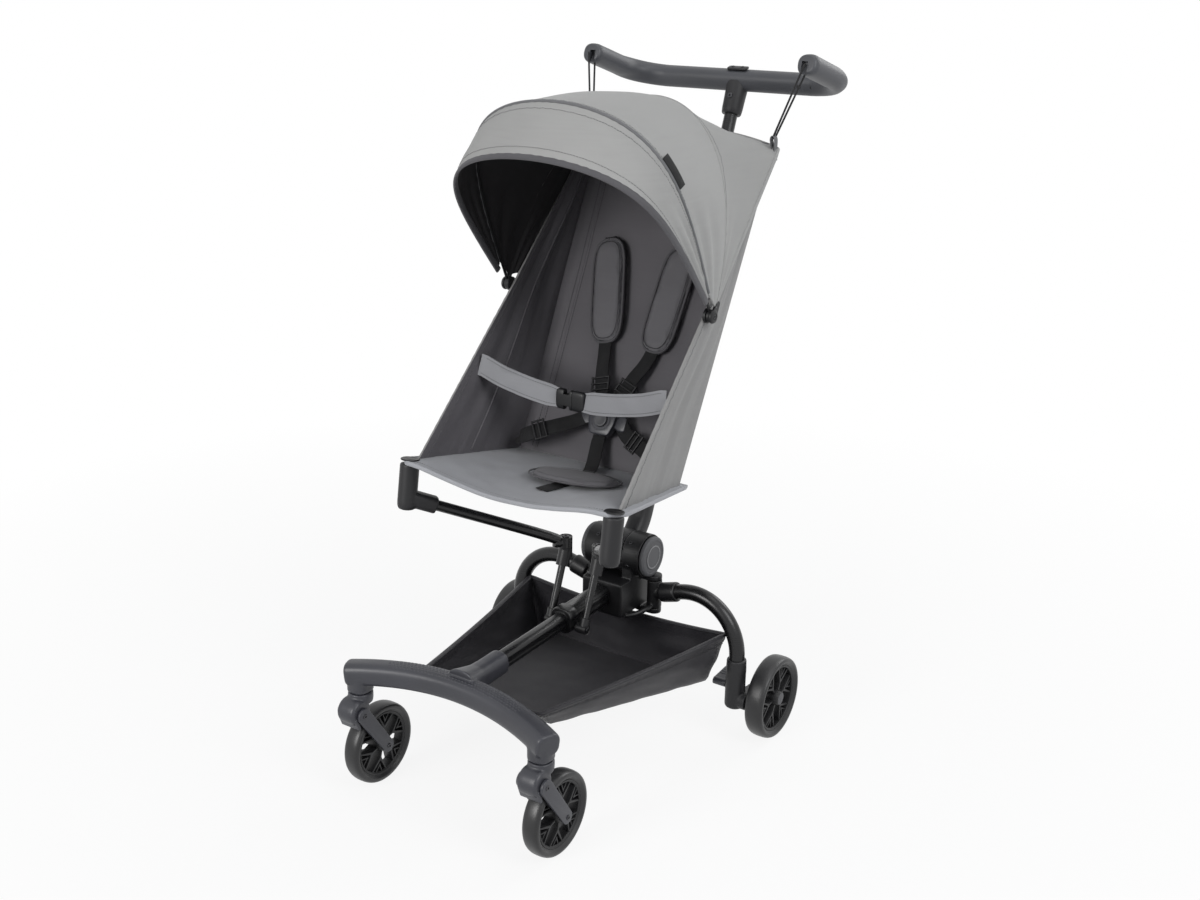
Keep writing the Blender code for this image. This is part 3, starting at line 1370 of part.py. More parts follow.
def rear_edge(turn):
    """The canopy's rear edge: up the seat side's edge and across the top of the back."""
    reach = abs(math.cos(turn))
    sign = 1.0 if math.cos(turn) > 0 else -1.0
    climb = min((1 - reach) / 0.30, 1.0)
    lift = Vector((CANOPY_CLOTH / 2 + SIDE_CLOTH / 2 + 2 * TOUCH_GAP, -0.0045, 0.0065))
    if climb < 1.0:
        at = side_front(0.5 + 0.5 * (0.09 + 0.91 * climb)) + lift
        return Vector((sign * at.x, at.y, at.z))
    corner = side_front(1.0) + lift
    t = reach / 0.70
    x = sign * corner.x * t
    bow = 1 - t * t
    return Vector((x, corner.y + 0.030 * bow, corner.z + 0.016 * bow))


def add_canopy():
    pivot = (0.0, PIVOT_Y, PIVOT_Z)
    turns = canopy_turns()
    gap = (TOUCH_GAP + 0.0003) / BOW_HEIGHT

    def blend_rows(start, end, count, bulge):
        rows = []
        for k in range(count + 1):
            t = k / count
            row = []
            for a, b, turn in zip(start, end, turns):
                out = bulge * math.sin(math.pi * t) * math.sin(turn)
                centre = Vector((0.0, PIVOT_Y, PIVOT_Z))
                point = a.lerp(b, t)
                row.append(point + (point - centre).normalized() * out)
            rows.append(row)
        return rows

    def arch(angle, height, spread, power):
        return [arch_point(t, angle, height, spread, power) for t in turns]

    rim = arch(RIM_ANGLE, RIM_HEIGHT, RIM_SPREAD, RIM_POWER)
    bow_front = arch(BOW_ANGLE + gap, BOW_HEIGHT, BOW_SPREAD, BOW_POWER)
    bow_rear = arch(BOW_ANGLE - gap, BOW_HEIGHT, BOW_SPREAD, BOW_POWER)
    seam = arch(SEAM_ANGLE, SEAM_HEIGHT, SEAM_SPREAD, SEAM_POWER)
    rear = [rear_edge(t) for t in turns]
    finish(
        "canopy_visor", *sheet(blend_rows(rim, bow_front, 4, 0.003), CANOPY_CLOTH), GREY_CLOTH, pivot
    )
    hood = blend_rows(bow_rear, seam, 5, CANOPY_BULGE) + blend_rows(seam, rear, 4, -0.003)[1:]
    finish("canopy_hood", *sheet(hood, CANOPY_CLOTH), GREY_CLOTH, pivot)

    strip_x = PIVOT_X - BOW_INSET
    dense = [0.0, 0.012] + turns + [math.pi - 0.012, math.pi]
    line = [
        arch_point(t, BOW_ANGLE, BOW_HEIGHT - BOW_INSET, BOW_SPREAD, BOW_POWER, strip_x) for t in dense
    ]
    lean = Vector((0.0, math.cos(BOW_ANGLE), math.sin(BOW_ANGLE)))
    half_w, half_t = BOW_STRIP / 2, BOW_THICKNESS / 2
    strip = [(-half_w, -half_t), (half_w, -half_t), (half_w, half_t), (-half_w, half_t)]
    line[0] = line[0] + (line[1] - line[0]).normalized() * 0.0055
    line[-1] = line[-1] + (line[-2] - line[-1]).normalized() * 0.0055
    bow = finish("canopy_bow", *sweep(line, strip, lean), BLACK_PLASTIC, pivot)
    eye_half = 0.0023
    for side, sign in SIDES:
        x = sign * strip_x
        ring = turned(
            [(EYE_BORE, -eye_half), (EYE_RADIUS, -eye_half), (EYE_RADIUS, eye_half), (EYE_BORE, eye_half)],
            (x, PIVOT_Y, PIVOT_Z),
            ACROSS,
            20,
        )
        join(bow, finish(f"eye_{side}", *ring, BLACK_PLASTIC, pivot))
        plate_in = SIDE_FRONT_X + SIDE_CLOTH / 2 + 2 * TOUCH_GAP
        plate_out = strip_x - eye_half - TOUCH_GAP
        cap_in = strip_x + eye_half + TOUCH_GAP
        profile = [
            (CLIP_RADIUS - 0.001, plate_in),
            (CLIP_RADIUS, plate_in + 0.001),
            (CLIP_RADIUS, plate_out),
            (EYE_BORE - TOUCH_GAP, plate_out),
            (EYE_BORE - TOUCH_GAP, cap_in),
            (CLIP_RADIUS - 0.001, cap_in),
            (CLIP_RADIUS - 0.001, cap_in + CLIP_CAP - 0.0015),
            (CLIP_RADIUS - 0.003, cap_in + CLIP_CAP),
        ]
        clip = turned(profile, (0.0, PIVOT_Y, PIVOT_Z), (sign, 0.0, 0.0), 14, solid=True)
        finish(f"canopy_clip_{side}", *clip, BLACK_PLASTIC, (sign * PIVOT_X, PIVOT_Y, PIVOT_Z))


def strap(path, width, thickness, facing):
    """A flat band along a path, its width square to facing. Sizes are values or lists."""
    path = [Vector(p) for p in path]
    facing = Vector(facing)
    verts = []
    for k, point in enumerate(path):
        ahead = (path[min(k + 1, len(path) - 1)] - path[max(k - 1, 0)]).normalized()
        normal = (facing - ahead * ahead.dot(facing)).normalized()
        across = ahead.cross(normal)
        half_w = (width[k] if isinstance(width, list) else width) / 2
        half_t = (thickness[k] if isinstance(thickness, list) else thickness) / 2
        for u, v in ((-1, -1), (1, -1), (1, 1), (-1, 1)):
            verts.append(point + normal * u * half_t + across * v * half_w)
    last = 4 * (len(path) - 1)
    faces = [(3, 2, 1, 0), (last, last + 1, last + 2, last + 3)]
    for k in range(len(path) - 1):
        for j in range(4):
            a, b = 4 * k + j, 4 * k + (j + 1) % 4
            faces.append((a, b, b + 4, a + 4))
    return verts, faces


def pad_solid(centre, along, normal, length, width, thickness, sides=14, tip=0.5):
    """A crowned pad with round ends, drawn in at its edge."""
    across = along.cross(normal).normalized()
    rings = [(1.0, 0.0), (0.93, 0.30), (0.72, 0.46), (0.36, 0.50)]
    verts = []
    levels = [(s, h) for s, h in reversed(rings)] + [(s, -h) for s, h in rings[1:]]
    for scale, height in levels:
        for k in range(sides):
            a = 2 * math.pi * k / sides
            u = math.copysign(abs(math.cos(a)) ** tip, math.cos(a)) * length / 2
            v = math.sin(a) * width / 2
            at_edge = (1 - scale) * width / 2
            u -= math.copysign(min(at_edge, abs(u)), u) if abs(u) > 1e-9 else 0.0
            verts.append(centre + along * u + across * v * scale + normal * height * thickness)
    rows = len(levels)
    faces = [
        (r * sides + k, r * sides + (k + 1) % sides, (r + 1) * sides + (k + 1) % sides, (r + 1) * sides + k)
        for r in range(rows - 1)
        for k in range(sides)
    ]
    faces.append(tuple(range(sides - 1, -1, -1)))
    faces.append(tuple(range((rows - 1) * sides, rows * sides)))
    return verts, faces


def back_point(x, z, out=0.0):
    """A point off the front face of the back, at this height."""
    low = back_corner(0.0)
    top = back_corner(1.0)
    share = (z - low.z) / (top.z - low.z)
    t = x / low.lerp(top, share).x
    crown = 0.010 * math.sin(min(max(share, 0.0), 1.0) * math.pi) * (1 - t * t)
    y = low.lerp(top, share).y
    return Vector((x, y, z)) + BACK_NORMAL * (out - crown)


def add_harness():
    up_back = Vector((0.0, BACK_LEAN, 1.0)).normalized()
    buckle_at = Vector((BUCKLE_X, BUCKLE_Y, BUCKLE_Z))
    half_w, half_h = BUCKLE_WIDTH / 2, BUCKLE_HEIGHT / 2
    narrow = 0.72
    outline = [
        (-half_w, half_h),
        (-half_w, -half_h * 0.1),
        (-half_w * narrow, -half_h),
        (half_w * narrow, -half_h),
        (half_w, -half_h * 0.1),
        (half_w, half_h),
    ]
    verts = []
    for depth in (-BUCKLE_THICKNESS / 2, BUCKLE_THICKNESS / 2):
        verts += [buckle_at + ACROSS * u + up_back * v + BACK_NORMAL * depth for u, v in outline]
    n = len(outline)
    faces = [tuple(range(n - 1, -1, -1)), tuple(range(n, 2 * n))]
    faces += [(j, (j + 1) % n, (j + 1) % n + n, j + n) for j in range(n)]
    buckle = bevelled(finish("harness_buckle", verts, faces, PLASTIC, buckle_at), 0.0022, 2)
    face = buckle_at + BACK_NORMAL * BUCKLE_THICKNESS / 2
    button_low = face - BACK_NORMAL * 0.004
    button_top = face + BACK_NORMAL * BUCKLE_BUTTON_HEIGHT
    well = rod(button_low, face + BACK_NORMAL * 0.01, BUCKLE_BUTTON_RADIUS + RUNNING_GAP, 20)
    cut(buckle, finish("button_well", *well, PLASTIC, buckle_at))
    button = rod(
        button_low + BACK_NORMAL * (0.0025 + TOUCH_GAP), button_top, BUCKLE_BUTTON_RADIUS, 16, 0.0008
    )
    finish("buckle_button", *button, PLASTIC, face)

    slot_half = 0.0020
    for side, sign in SIDES:
        start = buckle_at + ACROSS * sign * (half_w - TONGUE_LENGTH)
        slot_w = 0.017
        slot = strap(
            [start - ACROSS * sign * 0.0005, buckle_at + ACROSS * sign * (half_w + 0.01)],
            slot_w + 2 * RUNNING_GAP,
            2 * (slot_half + TOUCH_GAP),
            BACK_NORMAL,
        )
        cut(buckle, finish(f"tongue_slot_{side}", *slot, PLASTIC, buckle_at))
        neck = buckle_at + ACROSS * sign * (half_w + 0.0015)
        away = neck + ACROSS * sign * 0.009
        if sign < 0:
            points = [
                neck,
                away,
                buckle_at + Vector((-0.048, -0.014, -0.008)),
                Vector((-0.078, -0.168, 0.4765)),
                Vector((-0.104, -0.176, 0.4640)),
                Vector((-0.121, -0.160, 0.4560)),
                Vector((-0.126, -0.143, 0.4520)),
            ]
        else:
            points = [
                neck,
                away,
                buckle_at + Vector((0.046, -0.006, -0.014)),
                Vector((0.078, -0.134, 0.4700)),
                Vector((0.105, -0.138, 0.4580)),
                Vector((0.122, -0.139, 0.4520)),
            ]
        line = [start] + smooth_path(points, 3)
        widths = [slot_w] * 2 + [slot_w + 0.003] + [0.022] * (len(line) - 3)
        depths = [2 * slot_half] * 2 + [0.0034] + [WEB_THICKNESS] * (len(line) - 3)
        band = strap(line, widths, depths, BACK_NORMAL)
        finish(f"hip_strap_{side}", *band, WEBBING, start)

    pad_x = {"left": (0.056, 0.047), "right": (-0.076, -0.036)}
    off = BACK_PAD / 2 + PAD_STANDOFF
    for side, sign in SIDES:
        top_x, low_x = pad_x[side]
        rise = PAD_LENGTH / 2 * up_back.z
        top = back_point(top_x, PAD_CENTRE_Z + rise, off + PAD_THICKNESS / 2)
        low = back_point(low_x, PAD_CENTRE_Z - rise, off + PAD_THICKNESS / 2)
        along = (top - low).normalized()
        middle = (top + low) / 2
        pad = finish(
            f"shoulder_strap_{side}",
            *pad_solid(middle, along, BACK_NORMAL, PAD_LENGTH, PAD_WIDTH, PAD_THICKNESS),
            DARK_CLOTH,
            middle,
        )
        enter = buckle_at + ACROSS * sign * 0.0125 + up_back * (half_h + TOUCH_GAP * 2)
        points = [
            back_point(top_x * 1.04, PAD_CENTRE_Z + rise + 0.020, BACK_PAD / 2 + 0.0050),
            top - along * 0.010,
            low + along * 0.010,
            low.lerp(enter, 0.5) + BACK_NORMAL * 0.003,
            enter + up_back * 0.010,
        ]
        band = strap(smooth_path(points, 3) + [enter], WEB_WIDTH, WEB_THICKNESS, BACK_NORMAL)
        join(pad, finish(f"shoulder_web_{side}", *band, WEBBING, middle))

    pad_centre = base_point(0.034, 0.112, BASE_EDGE / 2 + BASE_CROWN / 2 + 0.0105)
    along = Vector((1.0, 0.16, 0.0)).normalized()
    pad = pad_solid(
        pad_centre, along, BASE_UP, CROTCH_PAD_LENGTH, CROTCH_PAD_WIDTH, CROTCH_PAD_THICKNESS, 14, 0.85
    )
    finish("crotch_pad", *pad, DARK_CLOTH, pad_centre)
    lift = BASE_EDGE / 2 + BASE_CROWN / 2 + 0.0022
    end = buckle_at - up_back * (half_h + TOUCH_GAP * 2)
    points = [
        base_point(0.022, 0.050, lift),
        base_point(0.024, 0.085, lift),
        base_point(0.024, 0.130, lift),
        base_point(0.020, 0.165, lift + 0.002),
        base_point(0.012, 0.188, lift + 0.008),
        end - up_back * 0.008,
    ]
    facing = Vector((0.0, -0.5, 1.0))
    band = strap(smooth_path(points, 3) + [end], WEB_WIDTH, WEB_THICKNESS * 0.8, facing)
    finish("crotch_strap", *band, WEBBING, end)


def add_waist_strap():
    height = 0.540
    y = -0.190
    socket_low = Vector((-0.030, y, height))
    meet = socket_low.x + WAIST_SOCKET
    half_h, half_t = WAIST_BUCKLE_HEIGHT / 2, WAIST_BUCKLE_THICKNESS / 2
    socket = finish(
        "waist_strap_right",
        *box((socket_low.x, y - half_t, height - half_h), (meet, y + half_t, height + half_h)),
        WEBBING,
        socket_low,
    )
    plug = finish(
        "waist_strap_left",
        *box(
            (meet + TOUCH_GAP, y - half_t, height - half_h),
            (meet + 0.020, y + half_t, height + half_h),
        ),
        WEBBING,
        (meet, y, height),
    )
    prong_half = 0.009
    prong = box(
        (meet - WAIST_PRONG, y - 0.0022, height - prong_half), (meet + 0.004, y + 0.0022, height + prong_half)
    )
    join(plug, finish("prong", *prong, WEBBING, (meet, y, height)))
    room = box(
        (meet - WAIST_PRONG - 0.001, y - 0.0022 - RUNNING_GAP, height - prong_half - RUNNING_GAP),
        (meet + 0.01, y + 0.0022 + RUNNING_GAP, height + prong_half + RUNNING_GAP),
    )
    cut(socket, finish("prong_room", *room, WEBBING, socket_low))
    wall = SIDE_CLOTH / 2 + 0.0042
    edge = side_point(0.265, 0.0).lerp(side_point(0.265, 0.25), 0.4)
    for target, sign, start_x in ((socket, -1.0, socket_low.x + 0.004), (plug, 1.0, meet + 0.016)):
        end = Vector((sign * (edge.x - wall), edge.y, edge.z))
        inner = Vector((end.x - sign * 0.008, end.y, end.z - 0.001))
        start = Vector((start_x, y, height))
        points = [
            start,
            start.lerp(end, 0.35) + Vector((0.0, 0.0, -0.004)),
            start.lerp(end, 0.7) + Vector((0.0, 0.0, -0.004)),
            inner,
        ]
        facing = Vector((0.0, -1.0, 0.25))
        band = strap(smooth_path(points, 2) + [end], WAIST_BAND, WEB_THICKNESS, facing)
        join(target, finish(f"band_{int(sign)}", *band, WEBBING, start))


def add_basket():
    grid = [-1.0, -0.85, -0.7, -0.4, 0.0, 0.4, 0.7, 0.85, 1.0]
    rear_half = leg_inner_x(BASKET_REAR_Z) - 0.0016
    knee = 0.7
    rows = []
    for v in grid:
        row = []
        for u in grid:
            reach = max(abs(u), abs(v))
            fu, fv = (u, v) if reach <= knee else (u * knee / reach, v * knee / reach)
            t = (fv / knee + 1) / 2
            half = BASKET_FLOOR_FRONT[0] * (1 - t) + BASKET_FLOOR_REAR[0] * t
            floor = Vector(
                (
                    fu / knee * half,
                    BASKET_FLOOR_FRONT[1] * (1 - t) + BASKET_FLOOR_REAR[1] * t,
                    BASKET_FLOOR_FRONT[2] * (1 - t) + BASKET_FLOOR_REAR[2] * t,
                )
            )
            floor.z -= BASKET_FOLD * (1 - (fu / knee) ** 2) * (1 + 0.5 * math.sin(9.0 * t))
            if reach <= knee:
                row.append(floor)
                continue
            top_u, top_v = u / reach, v / reach
            s = (top_v + 1) / 2
            half = BASKET_FRONT_HALF * (1 - s) + rear_half * s
            rim = Vector(
                (
                    top_u * half,
                    BASKET_FRONT_Y * (1 - s) + BASKET_REAR_Y * s,
                    BASKET_FRONT_Z * (1 - s) + BASKET_REAR_Z * s,
                )
            )
            hang = 0.010 if abs(top_v) > abs(top_u) else 0.004
            rim.z -= hang * (1 - min(abs(top_u), abs(top_v)) ** 2)
            row.append(floor.lerp(rim, (reach - knee) / (1 - knee)))
        rows.append(row)
    finish("basket", *sheet(rows, BASKET_CLOTH), BLACK_CLOTH, (0.0, BASKET_REAR_Y, BASKET_REAR_Z))


def leg_inner_x(z):
    """The inner face of the leg tube at this height, where the basket's corner hangs."""
    points = leg_path()
    for (x0, z0), (x1, z1) in zip(points[2:], points[3:]):
        if z1 <= z <= z0:
            t = (z0 - z) / (z0 - z1)
            return x0 + (x1 - x0) * t - LEG_RADIUS * 1.06
    return FOOT_X - LEG_RADIUS


def add_cords():
    """A doubled cord from each handle tip down to the seat's top corner."""
    for side, sign in SIDES:
        tip = Vector((sign * HANDLE_TIP_X, HANDLE_TIP_Y + 0.002, HANDLE_TIP_Z - 0.002))
        corner = side_front(1.0)
        anchor = Vector((sign * corner.x, corner.y - 0.004, corner.z + 0.010))
        drop = (tip - anchor).normalized()
        spread = Vector((0.0, 1.0, 0.0))
        spread = (spread - drop * spread.dot(drop)).normalized()
        points = []
        steps = 2
        for k in range(steps + 1):
            t = k / steps
            wide = CORD_LOOP + (CORD_SPREAD - CORD_LOOP) * (1 - t)
            points.append(tip.lerp(anchor + drop * CORD_LOOP, t) + spread * wide)
        for k in range(1, 6):
            a = math.pi * k / 6
            points.append(anchor + drop * CORD_LOOP * (1 - math.sin(a)) + spread * CORD_LOOP * math.cos(a))
        for k in range(steps + 1):
            t = 1 - k / steps
            wide = CORD_LOOP + (CORD_SPREAD - CORD_LOOP) * (1 - t)
            points.append(tip.lerp(anchor + drop * CORD_LOOP, t) - spread * wide)
        line = bpy.data.curves.new(f"suspension_cord_{side}", "CURVE")
        line.dimensions = "3D"
        line.bevel_depth = CORD_RADIUS
        line.bevel_resolution = 2
        line.use_fill_caps = True
        line.render_resolution_u = 0
        run = line.splines.new("POLY")
        run.points.add(len(points) - 1)
        for point, at in zip(run.points, points):
            point.co = (*(at - tip), 1.0)
        line.materials.append(WEBBING)
        made = bpy.data.objects.new(f"suspension_cord_{side}", line)
        bpy.context.scene.collection.objects.link(made)
        made.parent = STAND
        made.location = tip


def build():
    add_casters()
    add_front_slide()
    add_chassis()
    add_legs()
    add_pedal()
    add_arms()
    inner_radius = add_pole()
    add_handle(inner_radius)
    add_seat()
    add_canopy()
    add_harness()
    add_waist_strap()
    add_basket()
    add_cords()


build()
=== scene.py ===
# %% [markdown]
# # A compact one-pole pushchair
#
# This lesson dresses a rigid CAD model of a folding pushchair. Each step makes a few pieces
# in mesh code, gives them a node material, and hangs them on the body that moves them.
# All lengths are metres. Pieces are worked out with the rear axle at y = 0, and SHIFT moves
# them to the CAD frame, whose origin is on the floor in the middle of the overall box.

# %% Imports and the CAD frame
import math

import bmesh
import bpy
from mathutils import Matrix, Vector, noise

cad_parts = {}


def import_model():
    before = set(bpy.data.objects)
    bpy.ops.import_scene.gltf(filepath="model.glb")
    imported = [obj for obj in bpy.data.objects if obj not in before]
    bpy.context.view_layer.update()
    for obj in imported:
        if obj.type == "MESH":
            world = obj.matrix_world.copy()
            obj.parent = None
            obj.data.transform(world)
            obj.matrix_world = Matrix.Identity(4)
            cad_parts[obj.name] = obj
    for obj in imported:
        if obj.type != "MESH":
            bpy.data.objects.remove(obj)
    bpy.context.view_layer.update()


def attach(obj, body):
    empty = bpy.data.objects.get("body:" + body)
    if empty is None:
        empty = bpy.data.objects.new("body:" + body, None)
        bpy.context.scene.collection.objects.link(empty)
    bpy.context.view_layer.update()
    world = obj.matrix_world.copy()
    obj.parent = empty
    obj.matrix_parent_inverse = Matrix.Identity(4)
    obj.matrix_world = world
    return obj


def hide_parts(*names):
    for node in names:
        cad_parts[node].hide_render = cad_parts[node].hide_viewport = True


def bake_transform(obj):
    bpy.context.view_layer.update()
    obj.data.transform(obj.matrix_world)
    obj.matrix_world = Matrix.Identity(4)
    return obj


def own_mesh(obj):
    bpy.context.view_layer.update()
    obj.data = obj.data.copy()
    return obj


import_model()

# %% [markdown]
# ## Shared sizes
#
# These are the CAD's own driving sizes, so that every visual piece lies on its solid. They could
# be measured from the CAD's meshes, but written down they can be read, and keep their round values.

# %% Sizes and directions
TOUCH = 0.0003
FRONT_R, FRONT_W = 0.060, 0.026
REAR_R, REAR_W = 0.0645, 0.030
TYRE_DEPTH = 0.012
REAR_X = 0.2456
CASTER_X, CASTER_Y, SWIVEL_Z = 0.1575, -0.482, 0.157
FRONT_WHEEL_Y = CASTER_Y + 0.032
CROSSBAR_Z = 0.1845
SLOPE = math.radians(2.5)
HUB = Vector((0.0, -0.055, 0.268))
LEAN = math.radians(21.2)
BACK_LEAN = 0.474
LEG_X, LEG_Y, LEG_Z = 0.055, -0.045, 0.2045
LEG_PITCH = math.radians(16.0)
FOOT_X = 0.205
STRUT_X = 0.030
STRUT_FOOT = (-0.203, 0.196)
STRUT_TOP = (-0.166, 0.298)
POST_X, POST_Y, POST_Z = 0.174, -0.348, 0.454
BASE_SLOPE = math.radians(8.5)
PIVOT = Vector((0.178, -0.118, 0.676))
HANDLE_TIP = Vector((0.185, 0.108, 1.002))

ACROSS = Vector((1.0, 0.0, 0.0))
REAR = Vector((0.0, 1.0, 0.0))
UP = Vector((0.0, 0.0, 1.0))
POLE_DIR = Vector((0.0, math.sin(LEAN), math.cos(LEAN)))
POLE_BACK = Vector((0.0, math.cos(LEAN), -math.sin(LEAN)))
TUBE_DIR = Vector((0.0, math.cos(SLOPE), math.sin(SLOPE)))
BACK_NORMAL = Vector((0.0, -1.0, BACK_LEAN)).normalized()
UP_BACK = Vector((0.0, BACK_LEAN, 1.0)).normalized()
BASE_BACK = Vector((0.0, math.cos(BASE_SLOPE), -math.sin(BASE_SLOPE)))
BASE_UP = Vector((0.0, math.sin(BASE_SLOPE), math.cos(BASE_SLOPE)))
SIDES = (("left", 1.0), ("right", -1.0))


def pole_point(along, behind=0.0336, x=0.0):
    return HUB + POLE_DIR * along + POLE_BACK * behind + ACROSS * x


def tube_point(y, x=0.0, up=0.0):
    start = Vector((x, -0.363, 0.2005 + up))
    return start + TUBE_DIR * ((y + 0.363) / TUBE_DIR.y)


HANDLE = pole_point(0.7585)
SHIFT = -(CASTER_Y - 0.0345 + HANDLE.y + 0.0155) / 2
print("shift", round(SHIFT, 5))

# %% [markdown]
# ## Node graphs as formulas
#
# A node graph reads well when it is written as sums. This class wraps a node's output socket,
# so that plus, minus and times make Math nodes. Nodes can also be placed one by one, which takes
# several times the lines and hides the sum.


# %% A wire that does sums
class Wire:
    """One output socket, or a plain number, in a material's node tree."""

    def __init__(self, tree, value):
        self.tree = tree
        self.value = value

    def node(self, kind, *inputs, output=0, **settings):
        made = self.tree.nodes.new(kind)
        for key, value in settings.items():
            setattr(made, key, value)
        for slot, value in enumerate(inputs):
            self.plug(made.inputs[slot], value)
        return Wire(self.tree, made.outputs[output])

    def plug(self, socket, value):
        if isinstance(value, Wire):
            value = value.value
        if isinstance(value, bpy.types.NodeSocket):
            self.tree.links.new(value, socket)
        elif value is not None:
            socket.default_value = value

    def math(self, operation, *others, clamp=False):
        return self.node("ShaderNodeMath", self, *others, operation=operation, use_clamp=clamp)

    def __add__(self, other):
        return self.math("ADD", other)

    __radd__ = __add__

    def __sub__(self, other):
        return self.math("SUBTRACT", other)

    def __rsub__(self, other):
        return Wire(self.tree, other).math("SUBTRACT", self)

    def __mul__(self, other):
        return self.math("MULTIPLY", other)

    __rmul__ = __mul__

    def span(self, low, high, new_low=0.0, new_high=1.0):
        return self.node("ShaderNodeMapRange", self, low, high, new_low, new_high)

    def blend(self, low, high):
        """A colour or number between low and high, at this wire's value."""
        ends = [(*end, 1.0) if isinstance(end, tuple) and len(end) == 3 else end for end in (low, high)]
        return self.node("ShaderNodeMix", self, *[None] * 5, *ends, data_type="RGBA", output=2)


print("wires can be added, taken away and multiplied")

# %% [markdown]
# ## Camera, light and floor
#
# The camera stands where the photograph was taken: the position, turn and lens come from
# fitting the wheels, posts and handle tips of the photograph. A camera can be aimed by eye, but a
# fitted one lets the render be laid over the photograph. Four soft area lamps do for a studio.

# %% The camera
PHOTO_WIDTH, FOCAL_PIXELS, SENSOR = 1200, 1420, 36.0
CAMERA_AT = (1.1083, -1.7830 + SHIFT, 1.1179)
TURN, PITCH, ROLL = math.radians(33.73), math.radians(18.54), -0.0190


def show(name, data):
    """A new object in the scene."""
    made = bpy.data.objects.new(name, data)
    bpy.context.scene.collection.objects.link(made)
    return made


ahead = Vector((-math.sin(TURN) * math.cos(PITCH), math.cos(TURN) * math.cos(PITCH), -math.sin(PITCH)))
level = Vector((math.cos(TURN), math.sin(TURN), 0.0))
down = ahead.cross(level)
right = level * math.cos(ROLL) + down * math.sin(ROLL)
lower = down * math.cos(ROLL) - level * math.sin(ROLL)
lens = bpy.data.cameras.new("camera")
lens.sensor_width = SENSOR
lens.lens = SENSOR * FOCAL_PIXELS / PHOTO_WIDTH
camera = show("camera", lens)
camera.matrix_world = Matrix.Translation(CAMERA_AT) @ Matrix((right, -lower, -ahead)).transposed().to_4x4()
bpy.context.scene.camera = camera
print("lens", round(lens.lens, 2), "mm")


# %% Lamps
def area_light(name, at, aim, size, watts, tint=(1.0, 1.0, 1.0)):
    lamp = bpy.data.lights.new(name, "AREA")
    lamp.shape, lamp.size, lamp.energy, lamp.color = "DISK", size, watts, tint
    made = show(name, lamp)
    made.location = at
    made.rotation_euler = (Vector(aim) - Vector(at)).to_track_quat("-Z", "Y").to_euler()


area_light("key", (-0.6, -3.0, 1.35), (0.0, 0.0, 0.55), 1.3, 46.0, (1.0, 0.99, 0.98))
area_light("fill", (2.4, -0.6, 2.1), (0.0, 0.0, 0.6), 1.6, 34.0, (0.99, 0.995, 1.0))
area_light("rim", (0.8, 2.4, 1.9), (0.0, 0.0, 0.6), 1.6, 18.0)
area_light("top", (0.3, 0.0, 3.0), (0.0, 0.0, 0.5), 1.8, 12.0)
print("lamps:", len(bpy.data.lights))

# %% [markdown]
# ## Floor and room
#
# The photograph stands on pure white. The floor is white paper: it keeps the pushchair's shadow
# close by, and fades to plain white further out. More light would whiten it too, but would bleach
# the cloth. The room shows white to the camera and in reflections, and lights the object softly.


# %% The floor
def plain_white(tree):
    """1 for rays that should find the plain backdrop: camera, mirror and see-through rays."""
    path = tree.nodes.new("ShaderNodeLightPath")
    seen = Wire(tree, path.outputs["Is Camera Ray"])
    for kind in ("Is Glossy Ray", "Is Transmission Ray"):
        seen = seen.math("MAXIMUM", Wire(tree, path.outputs[kind]))
    return seen


def mix_shaders(tree, share, first, second, out):
    """Shows the second shader by this share, and puts the result in the output node."""
    both = tree.nodes.new("ShaderNodeMixShader")
    share.plug(both.inputs[0], share)
    tree.links.new(first, both.inputs[1])
    tree.links.new(second, both.inputs[2])
    tree.links.new(both.outputs[0], out.inputs[0])


paper = bpy.data.materials.new("floor_paper")
paper.use_nodes = True
tree = paper.node_tree
matt = tree.nodes["Principled BSDF"]
glow = tree.nodes.new("ShaderNodeEmission")
spots = tree.nodes.new("ShaderNodeTexCoord")
base = Wire(tree, None)
grain = base.node("ShaderNodeTexNoise", Wire(tree, spots.outputs["Object"]), None, 60.0, 2.0, 0.5)
base.plug(matt.inputs["Base Color"], grain.span(0.3, 0.7, 0.0, 1.0).blend((0.80, 0.80, 0.80), (0.82, 0.82, 0.82)))
matt.inputs["Roughness"].default_value = 0.95
matt.inputs["Specular IOR Level"].default_value = 0.1
distance = base.node("ShaderNodeVectorMath", Wire(tree, spots.outputs["Object"]), operation="LENGTH", output=1)
fade = distance.span(0.55, 1.7, 0.88, 1.0)
mix_shaders(tree, plain_white(tree) * fade, matt.outputs[0], glow.outputs[0], tree.nodes["Material Output"])
FLOOR_HALF = 6
floor_mesh = bpy.data.meshes.new("floor")
floor_mesh.from_pydata([(x * FLOOR_HALF, y * FLOOR_HALF, 0) for x, y in ((-1, -1), (1, -1), (1, 1), (-1, 1))], [],
                       [(0, 1, 2, 3)])
floor_mesh.materials.append(paper)
floor = show("floor", floor_mesh)
floor.location = (0.0, 0.0, -0.0004)
print("floor", 2 * FLOOR_HALF, "m wide")

# %% The room
world_light = bpy.data.worlds.new("studio")
bpy.context.scene.world = world_light
world_light.use_nodes = True
tree = world_light.node_tree
tree.nodes.clear()
out = tree.nodes.new("ShaderNodeOutputWorld")
room = tree.nodes.new("ShaderNodeBackground")
card = tree.nodes.new("ShaderNodeBackground")
room.inputs["Color"].default_value = (0.90, 0.92, 0.95, 1.0)
room.inputs["Strength"].default_value = 0.33
card.inputs["Color"].default_value = (1.0, 1.0, 1.0, 1.0)
card.inputs["Strength"].default_value = 1.0
mix_shaders(tree, plain_white(tree), room.outputs[0], card.outputs[0], out)
bpy.context.scene.view_settings.view_transform = "Standard"
print("room strength", round(room.inputs["Strength"].default_value, 2))

